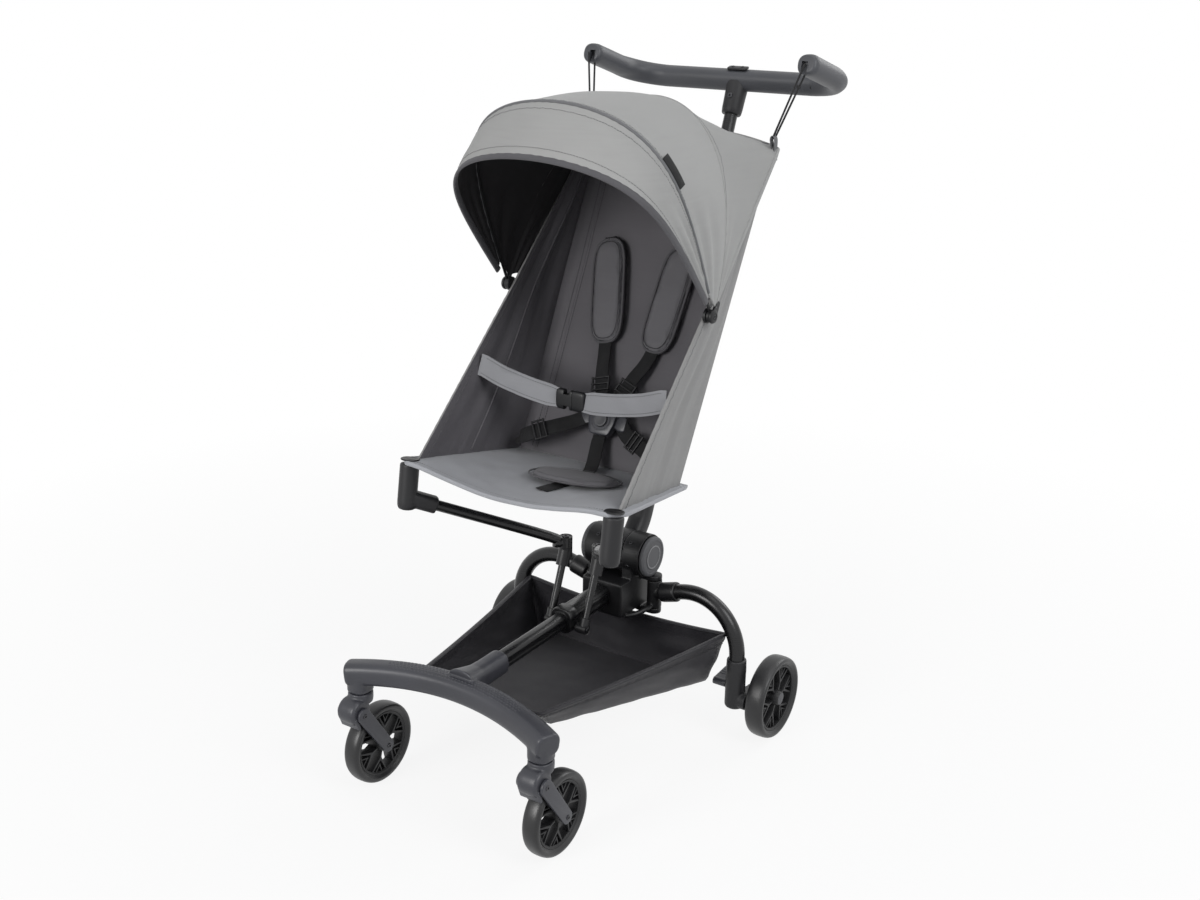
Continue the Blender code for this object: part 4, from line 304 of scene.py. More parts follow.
# %% [markdown]
# ## Materials of the pushchair
#
# Each finish is one formula: coordinates go in, and colour, roughness and bump come out. A picture
# of cloth could be laid on instead, but a formula has no seams, repeats at any size and stays sharp.


# %% A finish builder
class Finish:
    """A Principled material being built: coordinates in, colour, roughness and bump out."""

    def __init__(self, name):
        self.material = bpy.data.materials.new(name)
        self.material.use_nodes = True
        self.tree = self.material.node_tree
        self.shader = self.tree.nodes["Principled BSDF"]
        self.base = Wire(self.tree, None)
        spots = self.tree.nodes.new("ShaderNodeTexCoord")
        self.place = Wire(self.tree, spots.outputs["Object"])
        self.uv = Wire(self.tree, spots.outputs["UV"])

    def noise(self, scale, detail=3.0, rough=0.5, at=None, stretch=None):
        where = at or self.place
        if stretch:
            where = self.base.node("ShaderNodeVectorMath", where, stretch, operation="MULTIPLY")
        return self.base.node("ShaderNodeTexNoise", where, None, scale, detail, rough)

    def axes(self, where):
        split = self.base.node("ShaderNodeSeparateXYZ", where).value.node
        return [Wire(self.tree, out) for out in split.outputs]

    def set(self, **inputs):
        for key, value in inputs.items():
            self.base.plug(self.shader.inputs[key.replace("_", " ")], value)
        return self

    def bump(self, height, strength, distance):
        raised = self.base.node("ShaderNodeBump")
        for key, value in (("Strength", strength), ("Distance", distance), ("Height", height)):
            self.base.plug(raised.value.node.inputs[key], value)
        return self.set(Normal=raised)


def tone(colour, factor):
    return tuple(c * factor for c in colour)


def shaded(shade, colour):
    """The colour made darker or lighter by a wire round 1."""
    return (shade * 0.5).blend(tone(colour, 0.0), tone(colour, 2.0))


print("finish builder ready")


# %% Cloth and tape
def woven(name, colour, pitch=0.0009, roughness=0.82, wear=0.14, strength=0.35, sheen=0.25, crease=0.0):
    """Plain weave over the UV map, which is in metres: threads pass over and under."""
    f = Finish(name)
    u, v, _ = f.axes(f.uv)
    u, v = u * (math.pi / pitch), v * (math.pi / pitch)
    su, sv = u.math("SINE"), v.math("SINE")
    over = (su * sv).math("GREATER_THAN", 0.0)
    warp, weft = su.math("ABSOLUTE"), sv.math("ABSOLUTE")
    height = warp * over + weft * (1 - over)
    cloud = f.noise(9.0, 4.0)
    slub = f.noise(1.0, 2.0, stretch=(14.0, 14.0, 260.0))
    # Painted shade in the weave: the colour is lighter on the thread crowns and darker in the gaps between threads,
    # on top of the random wear clouding.
    shade = cloud.span(0.3, 0.7, 1.0 - wear, 1.0 + wear * 0.5) * (height * 0.10 + 0.93)
    shade = shade * slub.span(0.2, 0.8, 0.97, 1.03)
    tint = shade.blend(tone(colour, 0.0), tone(colour, 1.0))
    bump = height * 0.5 + f.noise(26.0, 5.0, 0.55, stretch=(1.0, 1.0, 0.35)) * crease
    f.set(Base_Color=tint, Roughness=cloud.span(0.3, 0.7, roughness - 0.05, roughness + 0.06))
    f.set(Sheen_Weight=sheen, Sheen_Roughness=0.45, Specular_IOR_Level=0.35)
    return f.bump(bump, strength, 0.0006).material


def webbing(name, colour, pitch=0.0011):
    """Narrow woven tape: ribs straight across, crossed by a fainter twill."""
    f = Finish(name)
    u, v, _ = f.axes(f.uv)
    rib = (v * (math.pi / pitch)).math("SINE").math("ABSOLUTE")
    twill = ((u + v) * (math.pi / pitch / 1.5)).math("SINE").math("ABSOLUTE")
    cloud = f.noise(40.0, 3.0)
    # Painted shade in the tape's weave: the colour is lighter on the rib and twill crests and darker in the grooves
    # between them, on top of random clouding.
    shade = (rib * 0.30 + twill * 0.15 + 0.55) * cloud.span(0.3, 0.7, 0.85, 1.12)
    f.set(Base_Color=shade.blend(tone(colour, 0.35), tone(colour, 1.35)), Roughness=cloud.span(0.3, 0.7, 0.62, 0.78))
    f.set(Sheen_Weight=0.04, Specular_IOR_Level=0.3)
    return f.bump(rib + twill * 0.4, 0.6, 0.0005).material


print("cloth finishes ready")


# %% Plastic, tube, steel and rubber
def moulded(name, colour, roughness=0.5, grain=900.0, strength=0.18, spec=0.5):
    """Spark-eroded plastic: a fine grain, soft clouding and convex edges made a little lighter."""
    f = Finish(name)
    fine = f.noise(grain, 2.0)
    cloud = f.noise(14.0, 3.0)
    # Convex edges, found by their pointiness, are made a little lighter.
    pale_edge = f.base.node("ShaderNodeNewGeometry", output="Pointiness").span(0.50, 0.56)
    tint = shaded(cloud.span(0.3, 0.7, 0.90, 1.08) + fine.span(0.3, 0.7, -0.04, 0.04) + pale_edge * 0.22, colour)
    rough = cloud.span(0.3, 0.7, roughness - 0.04, roughness + 0.05) + fine.span(0.3, 0.7, -0.02, 0.02)
    f.set(Base_Color=tint, Roughness=rough, Specular_IOR_Level=spec)
    return f.bump(fine, strength, 0.00025).material


def coated_tube(name, colour, roughness=0.34):
    """Powder or anodised coat on aluminium tube: faint drawn lines and fine orange peel."""
    f = Finish(name)
    peel = f.noise(420.0, 2.0)
    cloud = f.noise(6.0, 3.0)
    scuff = f.noise(1.0, 3.0, stretch=(45.0, 45.0, 380.0))
    tint = shaded(cloud.span(0.3, 0.7, 0.86, 1.12), colour)
    rough = scuff.span(0.35, 0.75, roughness - 0.05, roughness + 0.08)
    f.set(Base_Color=tint, Roughness=rough, Metallic=0.35, Coat_Weight=0.15, Coat_Roughness=0.3)
    return f.bump(peel, 0.10, 0.0002).material


def metal(name, colour, roughness=0.3):
    """Plated screw steel, with fine turning marks."""
    f = Finish(name)
    turn = f.noise(1.0, 2.0, stretch=(900.0, 900.0, 900.0))
    f.set(Base_Color=shaded(f.noise(60.0, 2.0).span(0.3, 0.7, 0.8, 1.1), colour))
    f.set(Roughness=turn.span(0.3, 0.7, roughness - 0.06, roughness + 0.10), Metallic=1.0)
    return f.bump(turn, 0.08, 0.0001).material


def tyre_rubber(name, colour):
    """Foam rubber tyre: smooth skin with cloudy patches of dust, duller where the dust lies."""
    f = Finish(name)
    dust = f.noise(22.0, 5.0, 0.6)
    skin = f.noise(700.0, 2.0)
    shade = dust.span(0.35, 0.75).blend(colour, tone(colour, 2.1))
    f.set(Base_Color=shade, Roughness=dust.span(0.3, 0.7, 0.30, 0.46), Specular_IOR_Level=0.5)
    return f.bump(skin, 0.10, 0.0002).material


print("hard finishes ready")

# %% Every finish and its slot
CANOPY = woven("canopy_cloth", (0.345, 0.345, 0.34), 0.0009, 0.80, 0.07, 0.30, 0.15, 0.5)
# The canopy's lining is dark cloth, and its near-black tone also stands in for the shade under the hood: partly
# painted shade.
SHADED_CANOPY_LINING = woven("canopy_lining", (0.013, 0.012, 0.0135), 0.0008, 0.66, 0.10, 0.25, 0.05, 0.5)
BASE_CLOTH = woven("base_cloth", (0.345, 0.352, 0.375), 0.0009, 0.62, 0.08, 0.30, 0.15, 0.5)
LINING = woven("lining_cloth", (0.108, 0.103, 0.113), 0.0008, 0.58, 0.10, 0.25, 0.12, 0.6)
OUTER = woven("outer_cloth", (0.27, 0.268, 0.266), 0.0009, 0.80, 0.08, 0.30, 0.15, 0.5)
PAD_CLOTH = woven("pad_cloth", (0.135, 0.132, 0.142), 0.0010, 0.66, 0.12, 0.35, 0.12, 1.6)
WAIST_CLOTH = woven("waist_cloth", (0.27, 0.273, 0.288), 0.0009, 0.72, 0.08, 0.30, 0.15, 0.4)
BASKET_CLOTH = woven("basket_cloth", (0.017, 0.016, 0.020), 0.0010, 0.52, 0.14, 0.35, 0.06, 0.6)
PIPING = woven("piping", (0.15, 0.152, 0.158), 0.0012, 0.78, 0.10, 0.40, 0.10)
PAD_BINDING = woven("pad_binding", (0.088, 0.086, 0.093), 0.0012, 0.75, 0.10, 0.40, 0.10)
THREAD = woven("thread", (0.13, 0.13, 0.135), 0.0006, 0.70, 0.10, 0.30, 0.05)
DARK_THREAD = woven("dark_thread", (0.022, 0.022, 0.024), 0.0006, 0.70, 0.10, 0.30, 0.05)
WEB = webbing("black_webbing", (0.007, 0.007, 0.0078))
CORD = webbing("cord_braid", (0.010, 0.010, 0.011), 0.0016)
TUBE = coated_tube("black_tube", (0.0075, 0.0075, 0.0085), 0.30)
GREY_MOULD = moulded("grey_moulding", (0.033, 0.034, 0.042), 0.40, spec=0.5)
DARK_MOULD = moulded("dark_moulding", (0.013, 0.013, 0.0145), 0.46, spec=0.35)
BLACK_MOULD = moulded("black_moulding", (0.007, 0.007, 0.008), 0.40, spec=0.35)
GLOSS_MOULD = moulded("gloss_moulding", (0.006, 0.006, 0.007), 0.28, 500.0, 0.06)
GRIP = moulded("grip_moulding", (0.046, 0.048, 0.055), 0.46, 700.0, 0.30)
RIM = moulded("rim_moulding", (0.010, 0.010, 0.011), 0.46, spec=0.4)
CAP = moulded("cap_moulding", (0.066, 0.067, 0.072), 0.55)
CAP_RING = moulded("cap_ring", (0.20, 0.20, 0.205), 0.45)
TYRE = tyre_rubber("tyre_rubber", (0.009, 0.009, 0.0098))
STEEL = metal("screw_steel", (0.30, 0.30, 0.31))
DARK_STEEL = metal("dark_steel", (0.07, 0.07, 0.075), 0.38)
print("materials:", len(bpy.data.materials))

# %% [markdown]
# ## Solids from sweeps, turnings and outlines
#
# Every shape below is a list of points and faces. Sweeps run a section along a path, turnings
# spin a profile about an axis, and prisms push an outline. Blender's curves and its Screw modifier
# could do this too; lists keep every ring of points in hand, and give the weave a map in metres.


# %% Directions and skins
def heading(path, k):
    """The way a path runs at its point k."""
    return (path[min(k + 1, len(path) - 1)] - path[max(k - 1, 0)]).normalized()


def square(direction, axis):
    """The part of a direction that is square to an axis, one long."""
    return (direction - axis * axis.dot(direction)).normalized()


def square_pair(axis):
    """The axis, one long, and two directions square to it and to each other."""
    axis = Vector(axis).normalized()
    side = square(UP if abs(axis.z) < 0.9 else ACROSS, axis)
    return axis, side, axis.cross(side)


def power(value, exponent):
    """A power that keeps the sign of its value."""
    return math.copysign(abs(value) ** exponent, value)


def circle(sides):
    return [2 * math.pi * k / sides for k in range(sides)]


def skin(rings, sides, closed=False):
    """Faces between rings of points, with two lids unless the last ring meets the first."""
    faces = []
    for r in range(rings if closed else rings - 1):
        here, there = r * sides, (r + 1) % rings * sides
        for k in range(sides):
            after = (k + 1) % sides
            faces.append((here + k, here + after, there + after, there + k))
    if not closed:
        faces += [tuple(range(sides - 1, -1, -1)), tuple(range((rings - 1) * sides, rings * sides))]
    return faces


print("a six-sided tube of three rings has", len(skin(3, 6)), "faces")


# %% Sections and sweeps
def round_section(radius, sides=24):
    return [(radius * math.cos(a), radius * math.sin(a)) for a in circle(sides)]


def soft_section(width, height, roundness=3.2, sides=32):
    """A superellipse: a box with well rounded corners."""
    return [(power(math.cos(a), 2 / roundness) * width / 2, power(math.sin(a), 2 / roundness) * height / 2)
            for a in circle(sides)]


def sweep(path, section, reference, scales=None):
    """Runs a section along a path, with the reference as its first axis."""
    path = [Vector(p) for p in path]
    reference = Vector(reference)
    verts, spots = [], []
    around = [0.0]
    for k in range(len(section) - 1):
        around.append(around[-1] + math.dist(section[k], section[k + 1]))
    travel = 0.0
    for k, point in enumerate(path):
        forward = heading(path, k)
        side = square(reference, forward)
        top = forward.cross(side)
        scale = scales[k] if scales else 1.0
        travel += (point - path[max(k - 1, 0)]).length
        verts += [point + (side * u + top * v) * scale for u, v in section]
        spots += [(reach, travel) for reach in around]
    return verts, skin(len(path), len(section)), 0, spots


print("corners of a tape's section:", len(soft_section(0.02, 0.002)))


# %% Turnings, rods and prisms
def turned(profile, centre, axis, sides=48, closed=False):
    """Spins (radius, height) points. A closed profile makes a ring, an open one a plug."""
    axis, side, top = square_pair(axis)
    centre = Vector(centre)
    verts = [centre + axis * height + (side * math.cos(a) + top * math.sin(a)) * radius
             for radius, height in profile for a in circle(sides)]
    return verts, skin(len(profile), sides, closed)


def both_sides(half_profile):
    """A turning's profile that is the same on both sides of its middle."""
    return [(r, -h) for r, h in half_profile] + list(reversed(half_profile))


def rod(start, end, radius, sides=32, bevel=0.0):
    start, end = Vector(start), Vector(end)
    long = (end - start).length
    profile = [(radius, 0.0), (radius, long)]
    if bevel:
        steps = (0.0, 0.38, 0.71, 0.92, 1.0)
        rise = [(radius - bevel * (1 - s), bevel * (1 - math.sqrt(1 - (1 - s) ** 2))) for s in steps]
        profile = rise + [(r, long - h) for r, h in reversed(rise)]
    return turned(profile, start, end - start, sides)


def prism(outline, low, high, axis):
    """Pushes an outline along an axis. It is (y, z) for x, (x, z) for y and (x, y) for z."""
    order = {"x": (2, 0, 1), "y": (0, 2, 1), "z": (0, 1, 2)}[axis]
    verts = []
    for at in (low, high):
        for u, v in outline:
            values = (u, v, at)
            verts.append(tuple(values[k] for k in order))
    n = len(outline)
    faces = [tuple(range(n)), tuple(range(2 * n - 1, n - 1, -1))]
    faces += [(j, j + n, (j + 1) % n + n, (j + 1) % n) for j in range(n)]
    return verts, faces


def capsule(start, end, start_radius, end_radius, steps=16):
    """The outline round two circles of different size."""
    a, b = Vector(start), Vector(end)
    lean = math.atan2(b.y - a.y, b.x - a.x)
    spread = math.acos((start_radius - end_radius) / (b - a).length)
    points = []
    for centre, radius, first, last in (
        (a, start_radius, lean + spread, lean + 2 * math.pi - spread),
        (b, end_radius, lean - spread, lean + spread),
    ):
        for k in range(steps):
            turn = first + (last - first) * k / (steps - 1)
            points.append((centre.x + radius * math.cos(turn), centre.y + radius * math.sin(turn)))
    return points


def box(low, high):
    verts = [(x, y, z) for x in (low[0], high[0]) for y in (low[1], high[1]) for z in (low[2], high[2])]
    faces = [(0, 1, 3, 2), (4, 6, 7, 5), (0, 4, 5, 1), (2, 3, 7, 6), (0, 2, 6, 4), (1, 5, 7, 3)]
    return verts, faces


print("turnings and prisms ready")


# %% Curves
def bezier(a, b, c, d, steps):
    points = []
    for k in range(steps + 1):
        t = k / steps
        s = 1 - t
        points.append(Vector(a) * s**3 + Vector(b) * 3 * s * s * t + Vector(c) * 3 * s * t * t + Vector(d) * t**3)
    return points


def smooth_path(points, steps):
    """A smooth curve through all the points."""
    points = [Vector(p) for p in points]
    path = []
    for k in range(len(points) - 1):
        before = points[k - 1] if k else points[0] * 2 - points[1]
        after = points[k + 2] if k + 2 < len(points) else points[-1] * 2 - points[-2]
        a, b = points[k], points[k + 1]
        for j in range(steps):
            t = j / steps
            path.append(
                0.5 * (a * 2 + (b - before) * t + (before * 2 - a * 5 + b * 4 - after) * t * t
                       + (a * 3 - before - b * 3 + after) * t**3)
            )
    path.append(points[-1])
    return path


def path_length(path):
    return sum((b - a).length for a, b in zip(path, path[1:]))


print("curves ready")


# %% Straps and screws
def strap(path, width, thickness, facing):
    """A flat band along a path. Sizes are values or lists; facing may be a list too."""
    path = [Vector(p) for p in path]
    verts, spots = [], []
    travel = 0.0
    for k, point in enumerate(path):
        travel += (point - path[max(k - 1, 0)]).length
        face = Vector(facing[k] if isinstance(facing, list) else facing)
        forward = heading(path, k)
        normal = square(face, forward)
        side = forward.cross(normal)
        half_w = (width[k] if isinstance(width, list) else width) / 2
        half_t = (thickness[k] if isinstance(thickness, list) else thickness) / 2
        for u, v in ((-1, -0.94), (-0.6, -1), (0.6, -1), (1, -0.94), (1, 0.94), (0.6, 1), (-0.6, 1), (-1, 0.94)):
            verts.append(point + normal * u * half_t + side * v * half_w)
            spots.append((v * half_w, travel))
    return verts, skin(len(path), 8), 0, spots


def paint(solid, mark):
    """The same solid with another of the piece's materials."""
    return (solid[0], solid[1], mark, *solid[3:])


def screw(centre, axis, radius, height=0.0012, sides=36):
    """A button-head screw with a hexagon socket."""
    axis, side, top = square_pair(axis)
    rows = [(1.0, -0.4), (1.0, 0.25), (0.94, 0.7), (0.80, 0.95), (0.52, 1.0), (0.46, 0.95), (0.46, -0.3)]
    verts = []
    for number, (share, lift) in enumerate(rows):
        for a in circle(sides):
            reach = share * radius
            if number > 4:
                reach *= 0.87 / math.cos((a % (math.pi / 3)) - math.pi / 6)
            verts.append(Vector(centre) + axis * lift * height + (side * math.cos(a) + top * math.sin(a)) * reach)
    return verts, skin(len(rows), sides)


print("paths, straps and screws ready")

# %% [markdown]
# ## From solids to a finished piece
#
# A piece is one mesh that hangs on one body. Modifiers cut it, melt its solids together or round
# its edges, and are then applied, because the export takes plain meshes. Leaving them live would
# keep the mesh easy to change.


# %% Meshes and modifiers
def loose(name, solids, materials):
    """A new object from solids. A solid is (verts, faces) or (verts, faces, material, uvs)."""
    verts, faces, marks, spots = [], [], [], []
    for solid in solids:
        start = len(verts)
        verts += [(p[0], p[1] + SHIFT, p[2]) for p in solid[0]]
        faces += [tuple(start + i for i in face) for face in solid[1]]
        mark = solid[2] if len(solid) > 2 else 0
        marks += mark if isinstance(mark, list) else [mark] * len(solid[1])
        spots += solid[3] if len(solid) > 3 else [(p[0], p[2]) for p in solid[0]]
    mesh = bpy.data.meshes.new(name)
    mesh.from_pydata(verts, [], faces)
    mesh.polygons.foreach_set("material_index", marks)
    chart = mesh.uv_layers.new(name="cloth")
    for loop in mesh.loops:
        chart.data[loop.index].uv = spots[loop.vertex_index]
    shape = bmesh.new()
    shape.from_mesh(mesh)
    bmesh.ops.recalc_face_normals(shape, faces=shape.faces)
    shape.to_mesh(mesh)
    shape.free()
    for item in materials if isinstance(materials, (list, tuple)) else [materials]:
        mesh.materials.append(item)
    return show(name, mesh)


def add_step(made, kind, **settings):
    """A modifier with these settings."""
    step = made.modifiers.new(kind.lower(), kind)
    for key, value in settings.items():
        setattr(step, key, value)


def apply_steps(made):
    """Turns an object's modifiers into plain mesh."""
    bpy.context.view_layer.update()
    graph = bpy.context.evaluated_depsgraph_get()
    mesh = bpy.data.meshes.new_from_object(made.evaluated_get(graph), preserve_all_data_layers=True, depsgraph=graph)
    old = made.data
    made.modifiers.clear()
    made.data = mesh
    mesh.name = made.name
    bpy.data.meshes.remove(old)


print("modifier steps ready")


# %% The piece maker
def piece(name, solids, materials, body, stands_for=(), bevel=0.0, segments=3, remesh=0.0, relax=0, cuts=(),
          sharp=38.0):
    """Joins solids into one finished piece, with any cuts, melting or rounded edges."""
    made = loose(name, solids, materials)
    cutters = [loose(f"{name}_cut_{k}", [solid], []) for k, solid in enumerate(cuts)]
    if remesh:
        add_step(made, "REMESH", mode="VOXEL", voxel_size=remesh)
    if relax:
        add_step(made, "SMOOTH", factor=0.5, iterations=relax)
    for cutter in cutters:
        add_step(made, "BOOLEAN", operation="DIFFERENCE", solver="EXACT", object=cutter)
    if bevel:
        add_step(made, "BEVEL", width=bevel, segments=segments, limit_method="ANGLE", angle_limit=math.radians(35))
    settle(made, body, stands_for, sharp)
    for cutter in cutters:
        bpy.data.objects.remove(cutter)
    return made


def settle(made, body, stands_for, sharp):
    """Applies a piece's modifiers, shades it smooth and hangs it on its body."""
    if made.modifiers:
        apply_steps(made)
    made.data.shade_smooth()
    if sharp:
        made.data.set_sharp_from_angle(angle=math.radians(sharp))
    if body:
        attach(made, body)
    if stands_for:
        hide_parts(*([stands_for] if isinstance(stands_for, str) else stands_for))
    return made


def fasten(name, solids, body):
    """Screws and axles, in dark steel."""
    return piece(name, solids, DARK_STEEL, body, sharp=25)


print("piece maker ready")

# %% [markdown]
# ## Wheels
#
# A foam tyre with a rounded tread sits on a moulded rim. Each of the six spokes forks like a
# twig, and a second, smaller fork stands inside the first. A rim could be cut from a disc, but
# six pushed outlines give clean spokes that a small bevel can round.


# %% Tyres, rims and lids
def tyre_profile(radius, width):
    half, inner = width / 2, radius - TYRE_DEPTH
    crown = []
    for k in range(15):
        a = -math.pi / 2 + math.pi * k / 14
        crown.append((radius - 0.0075 * (1 - abs(math.cos(a)) ** 0.62), power(math.sin(a), 0.75) * half))
    side = [(inner + 0.0035, half * 0.97), (inner + 0.0012, half - 0.0035), (inner, half - 0.004)]
    return [(r, -h) for r, h in reversed(side)] + crown + side


def spoke_outline(turn, y, z, hub, fork, ring, width, branch, inner_fork):
    """A twig: a stem from the hub that splits into two branches ending in the ring."""
    def half(r, w=width):
        return math.degrees(w / 2 / r)
    polar = [
        (hub, -half(hub, width * 1.5)), (hub, half(hub, width * 1.5)), (fork, half(fork)),
        (ring, branch + half(ring)), (ring, branch - half(ring)), (inner_fork, 0.0),
        (ring, -branch + half(ring)), (ring, -branch - half(ring)), (fork, -half(fork)),
    ]
    return [(y + r * math.sin(math.radians(a + turn)), z + r * math.cos(math.radians(a + turn))) for r, a in polar]


def make_wheel(prefix, side, x, y, radius, width, body, twist):
    centre = Vector((x, y, radius))
    piece(f"{prefix}_wheel_tyre_{side}", [turned(tyre_profile(radius, width), centre, ACROSS, 96, True)],
          TYRE, body, f"{prefix}_tyre_{side}", sharp=60)
    inner = radius - TYRE_DEPTH - TOUCH
    half = width / 2
    edge = [(inner - 0.0042, half - 0.0052), (inner - 0.0016, half - 0.0036), (inner, half - 0.0036)]
    ring = turned(both_sides(edge), centre, ACROSS, 96, True)
    edge = [(0.0042, half + 0.0004), (0.0096, half + 0.0004), (0.0105, half - 0.0006), (0.0125, 0.006)]
    hub = turned(both_sides(edge), centre, ACROSS, 48, True)
    solids = [ring, hub]
    fork = 0.0125 + (inner - 0.0175) * 0.30
    for k in range(6):
        turn = twist + k * 60.0
        solids.append(prism(spoke_outline(turn, y, radius, 0.0095, fork, inner - 0.003, 0.0024, 19.0, fork + 0.0046),
                            x - 0.0085, x + 0.0085, "x"))
        tips = spoke_outline(turn, y, radius, fork + 0.010, fork + 0.011, inner - 0.003, 0.0018, 8.0, fork + 0.0142)
        solids.append(prism(tips, x - 0.0080, x + 0.0080, "x"))
    piece(f"{prefix}_wheel_rim_{side}", solids, RIM, body, f"{prefix}_rim_{side}", bevel=0.0004, segments=2, sharp=30)
    if prefix == "rear":
        out = ACROSS if x > 0 else -ACROSS
        lid = turned([(0.0098, 0.0), (0.0098, 0.0016), (0.0092, 0.0023), (0.0078, 0.0026), (0.002, 0.0027)],
                     centre + out * (half - 0.0018), out, 48)
        piece(f"rear_wheel_lid_{side}", [lid], CAP, body)


for side, sign in SIDES:
    make_wheel("front", side, sign * CASTER_X, FRONT_WHEEL_Y, FRONT_R, FRONT_W, f"wheel_front_{side}", 12.0)
    make_wheel("rear", side, sign * REAR_X, 0.0, REAR_R, REAR_W, f"wheel_rear_{side}", 24.0)
print("wheels done")

# %% [markdown]
# ## Casters
#
# The housing is a barrel that swells forwards into a rounded nose. Voxel remeshing followed by
# smoothing melts the two together as a mould would. A boolean union with a bevel would keep a
# hard line where they meet.

# %% Caster housings, forks and bolts
NOSE_Y = CASTER_Y - 0.015
for side, sign in SIDES:
    x = sign * CASTER_X
    low = 0.128 + 0.0112 + 0.0005
    barrel = turned([(0.012, low - SWIVEL_Z), (0.0168, low - SWIVEL_Z + 0.001), (0.0178, -0.010),
                     (0.0178, -0.0018), (0.0168, -0.0006), (0.0120, -0.0005)], (x, CASTER_Y, SWIVEL_Z), UP, 48)
    nose = turned(both_sides([(0.010, 0.0162), (0.0165, 0.0156), (0.0190, 0.0125), (0.0196, 0.006)]),
                  (x, NOSE_Y, 0.131), ACROSS, 48)
    piece(f"caster_shell_{side}", [barrel, nose], GREY_MOULD, f"caster_{side}", f"caster_housing_{side}",
          remesh=0.0011, relax=9, sharp=0)
    arms = []
    for direction in (-1.0, 1.0):
        outline = capsule((NOSE_Y, 0.128), (FRONT_WHEEL_Y, FRONT_R), 0.0112, 0.0098, 20)
        near, far = sorted((x + direction * 0.0166, x + direction * 0.0214))
        arms.append(prism(outline, near, far, "x"))
    bridge = prism(capsule((NOSE_Y - 0.006, 0.1095), (NOSE_Y - 0.011, 0.1235), 0.0026, 0.0030, 8),
                   x - 0.0168, x + 0.0168, "x")
    piece(f"caster_fork_arms_{side}", arms + [bridge], GREY_MOULD, f"caster_{side}", f"caster_fork_{side}",
          bevel=0.0011, segments=4)
    screws = [rod((x - 0.0170, FRONT_WHEEL_Y, FRONT_R), (x + 0.0170, FRONT_WHEEL_Y, FRONT_R), 0.0038, 24)]
    for direction in (-1.0, 1.0):
        screws.append(screw((x + direction * 0.0214, NOSE_Y, 0.128), ACROSS * direction, 0.0038))
        screws.append(screw((x + direction * 0.0214, FRONT_WHEEL_Y, FRONT_R), ACROSS * direction, 0.0036))
    fasten(f"caster_bolts_{side}", screws, f"caster_{side}")
print("casters done")

# %% [markdown]
# ## Front crossbar and centre tube
#
# The bowed bar turns down into two posts, and a sleeve branches off its middle for the tube. One
# bent sweep would pinch at the tight corners, so the bar and its posts are separate and melted.


# %% Crossbar, tube and sleeve
BAR_END = 0.0170


def crossbar_path():
    """Along the bowed bar from one squared end to the other."""
    reach = CASTER_X + BAR_END
    half = [1.0, 0.998, 0.990, 0.975] + [0.95 - 0.05 * k for k in range(19)]
    path = []
    for t in half + [0.0] + [-t for t in reversed(half)]:
        bow = 1 - (reach * t / CASTER_X) ** 2
        path.append(Vector((reach * t, CASTER_Y + 0.030 * bow, CROSSBAR_Z + 0.010 * bow)))
    return path


bar_path = crossbar_path()
end_scale = [0.84, 0.92, 0.985]
bar = sweep(bar_path, soft_section(0.036, 0.034, 3.0, 40), REAR,
            end_scale + [1.0] * (len(bar_path) - 6) + end_scale[::-1])
bar_legs = [sweep([(sign * CASTER_X, CASTER_Y, SWIVEL_Z), (sign * CASTER_X, CASTER_Y, CROSSBAR_Z)],
                  soft_section(0.0344, 2 * BAR_END - 0.0012, 2.8, 40), REAR) for side, sign in SIDES]
neck = [tube_point(y) for y in (-0.452, -0.436, -0.418, -0.400, -0.3642)]
socket = sweep(neck, soft_section(0.031, 0.034, 2.8, 36), ACROSS, [1.55, 1.30, 1.06, 1.0, 1.0])
piece("crossbar_shell", [bar, socket, *bar_legs], GREY_MOULD, "front_frame", "front_crossbar",
      remesh=0.0014, relax=12, sharp=0)


def tube_section(width, height, groove, sides=48):
    """A tall oval with a shallow groove along each flank."""
    points = []
    for u, v in soft_section(width, height, 3.0, sides):
        dip = groove * max(0.0, 1 - (v / (height * 0.16)) ** 2)
        points.append((u - math.copysign(dip, u), v))
    return points


piece("tube_shell", [sweep([tube_point(-0.410), tube_point(-0.189)], tube_section(0.021, 0.026, 0.0016), ACROSS)],
      TUBE, "front_frame", "centre_tube", bevel=0.0006)
mouth = [tube_point(y) for y in (-0.219, -0.2180, -0.2160, -0.2020, -0.1985, -0.1940, -0.150, -0.100, -0.004)]
sleeve = sweep(mouth, tube_section(0.0304, 0.0337, 0.0010), ACROSS,
               [1.13, 1.18, 1.19, 1.19, 1.15, 1.01, 1.0, 1.0, 1.0])
lip = sweep([tube_point(-0.2192), tube_point(-0.2172)], tube_section(0.0245, 0.0300, 0.0014), ACROSS)
piece("sleeve_shell", [sleeve, paint(lip, 1)], [TUBE, GLOSS_MOULD], "chassis", "centre_sleeve", bevel=0.0005)
print("crossbar and tube done")

# %% [markdown]
# ## A geometry-nodes stamp for repeats
#
# Grip dots and stitches are one small solid repeated. The points carry the direction they run
# in and the direction they face, and the node group places a copy on each. A texture would be
# lighter, but it would stay flat at the edge of the cloth, where stitches are seen best.


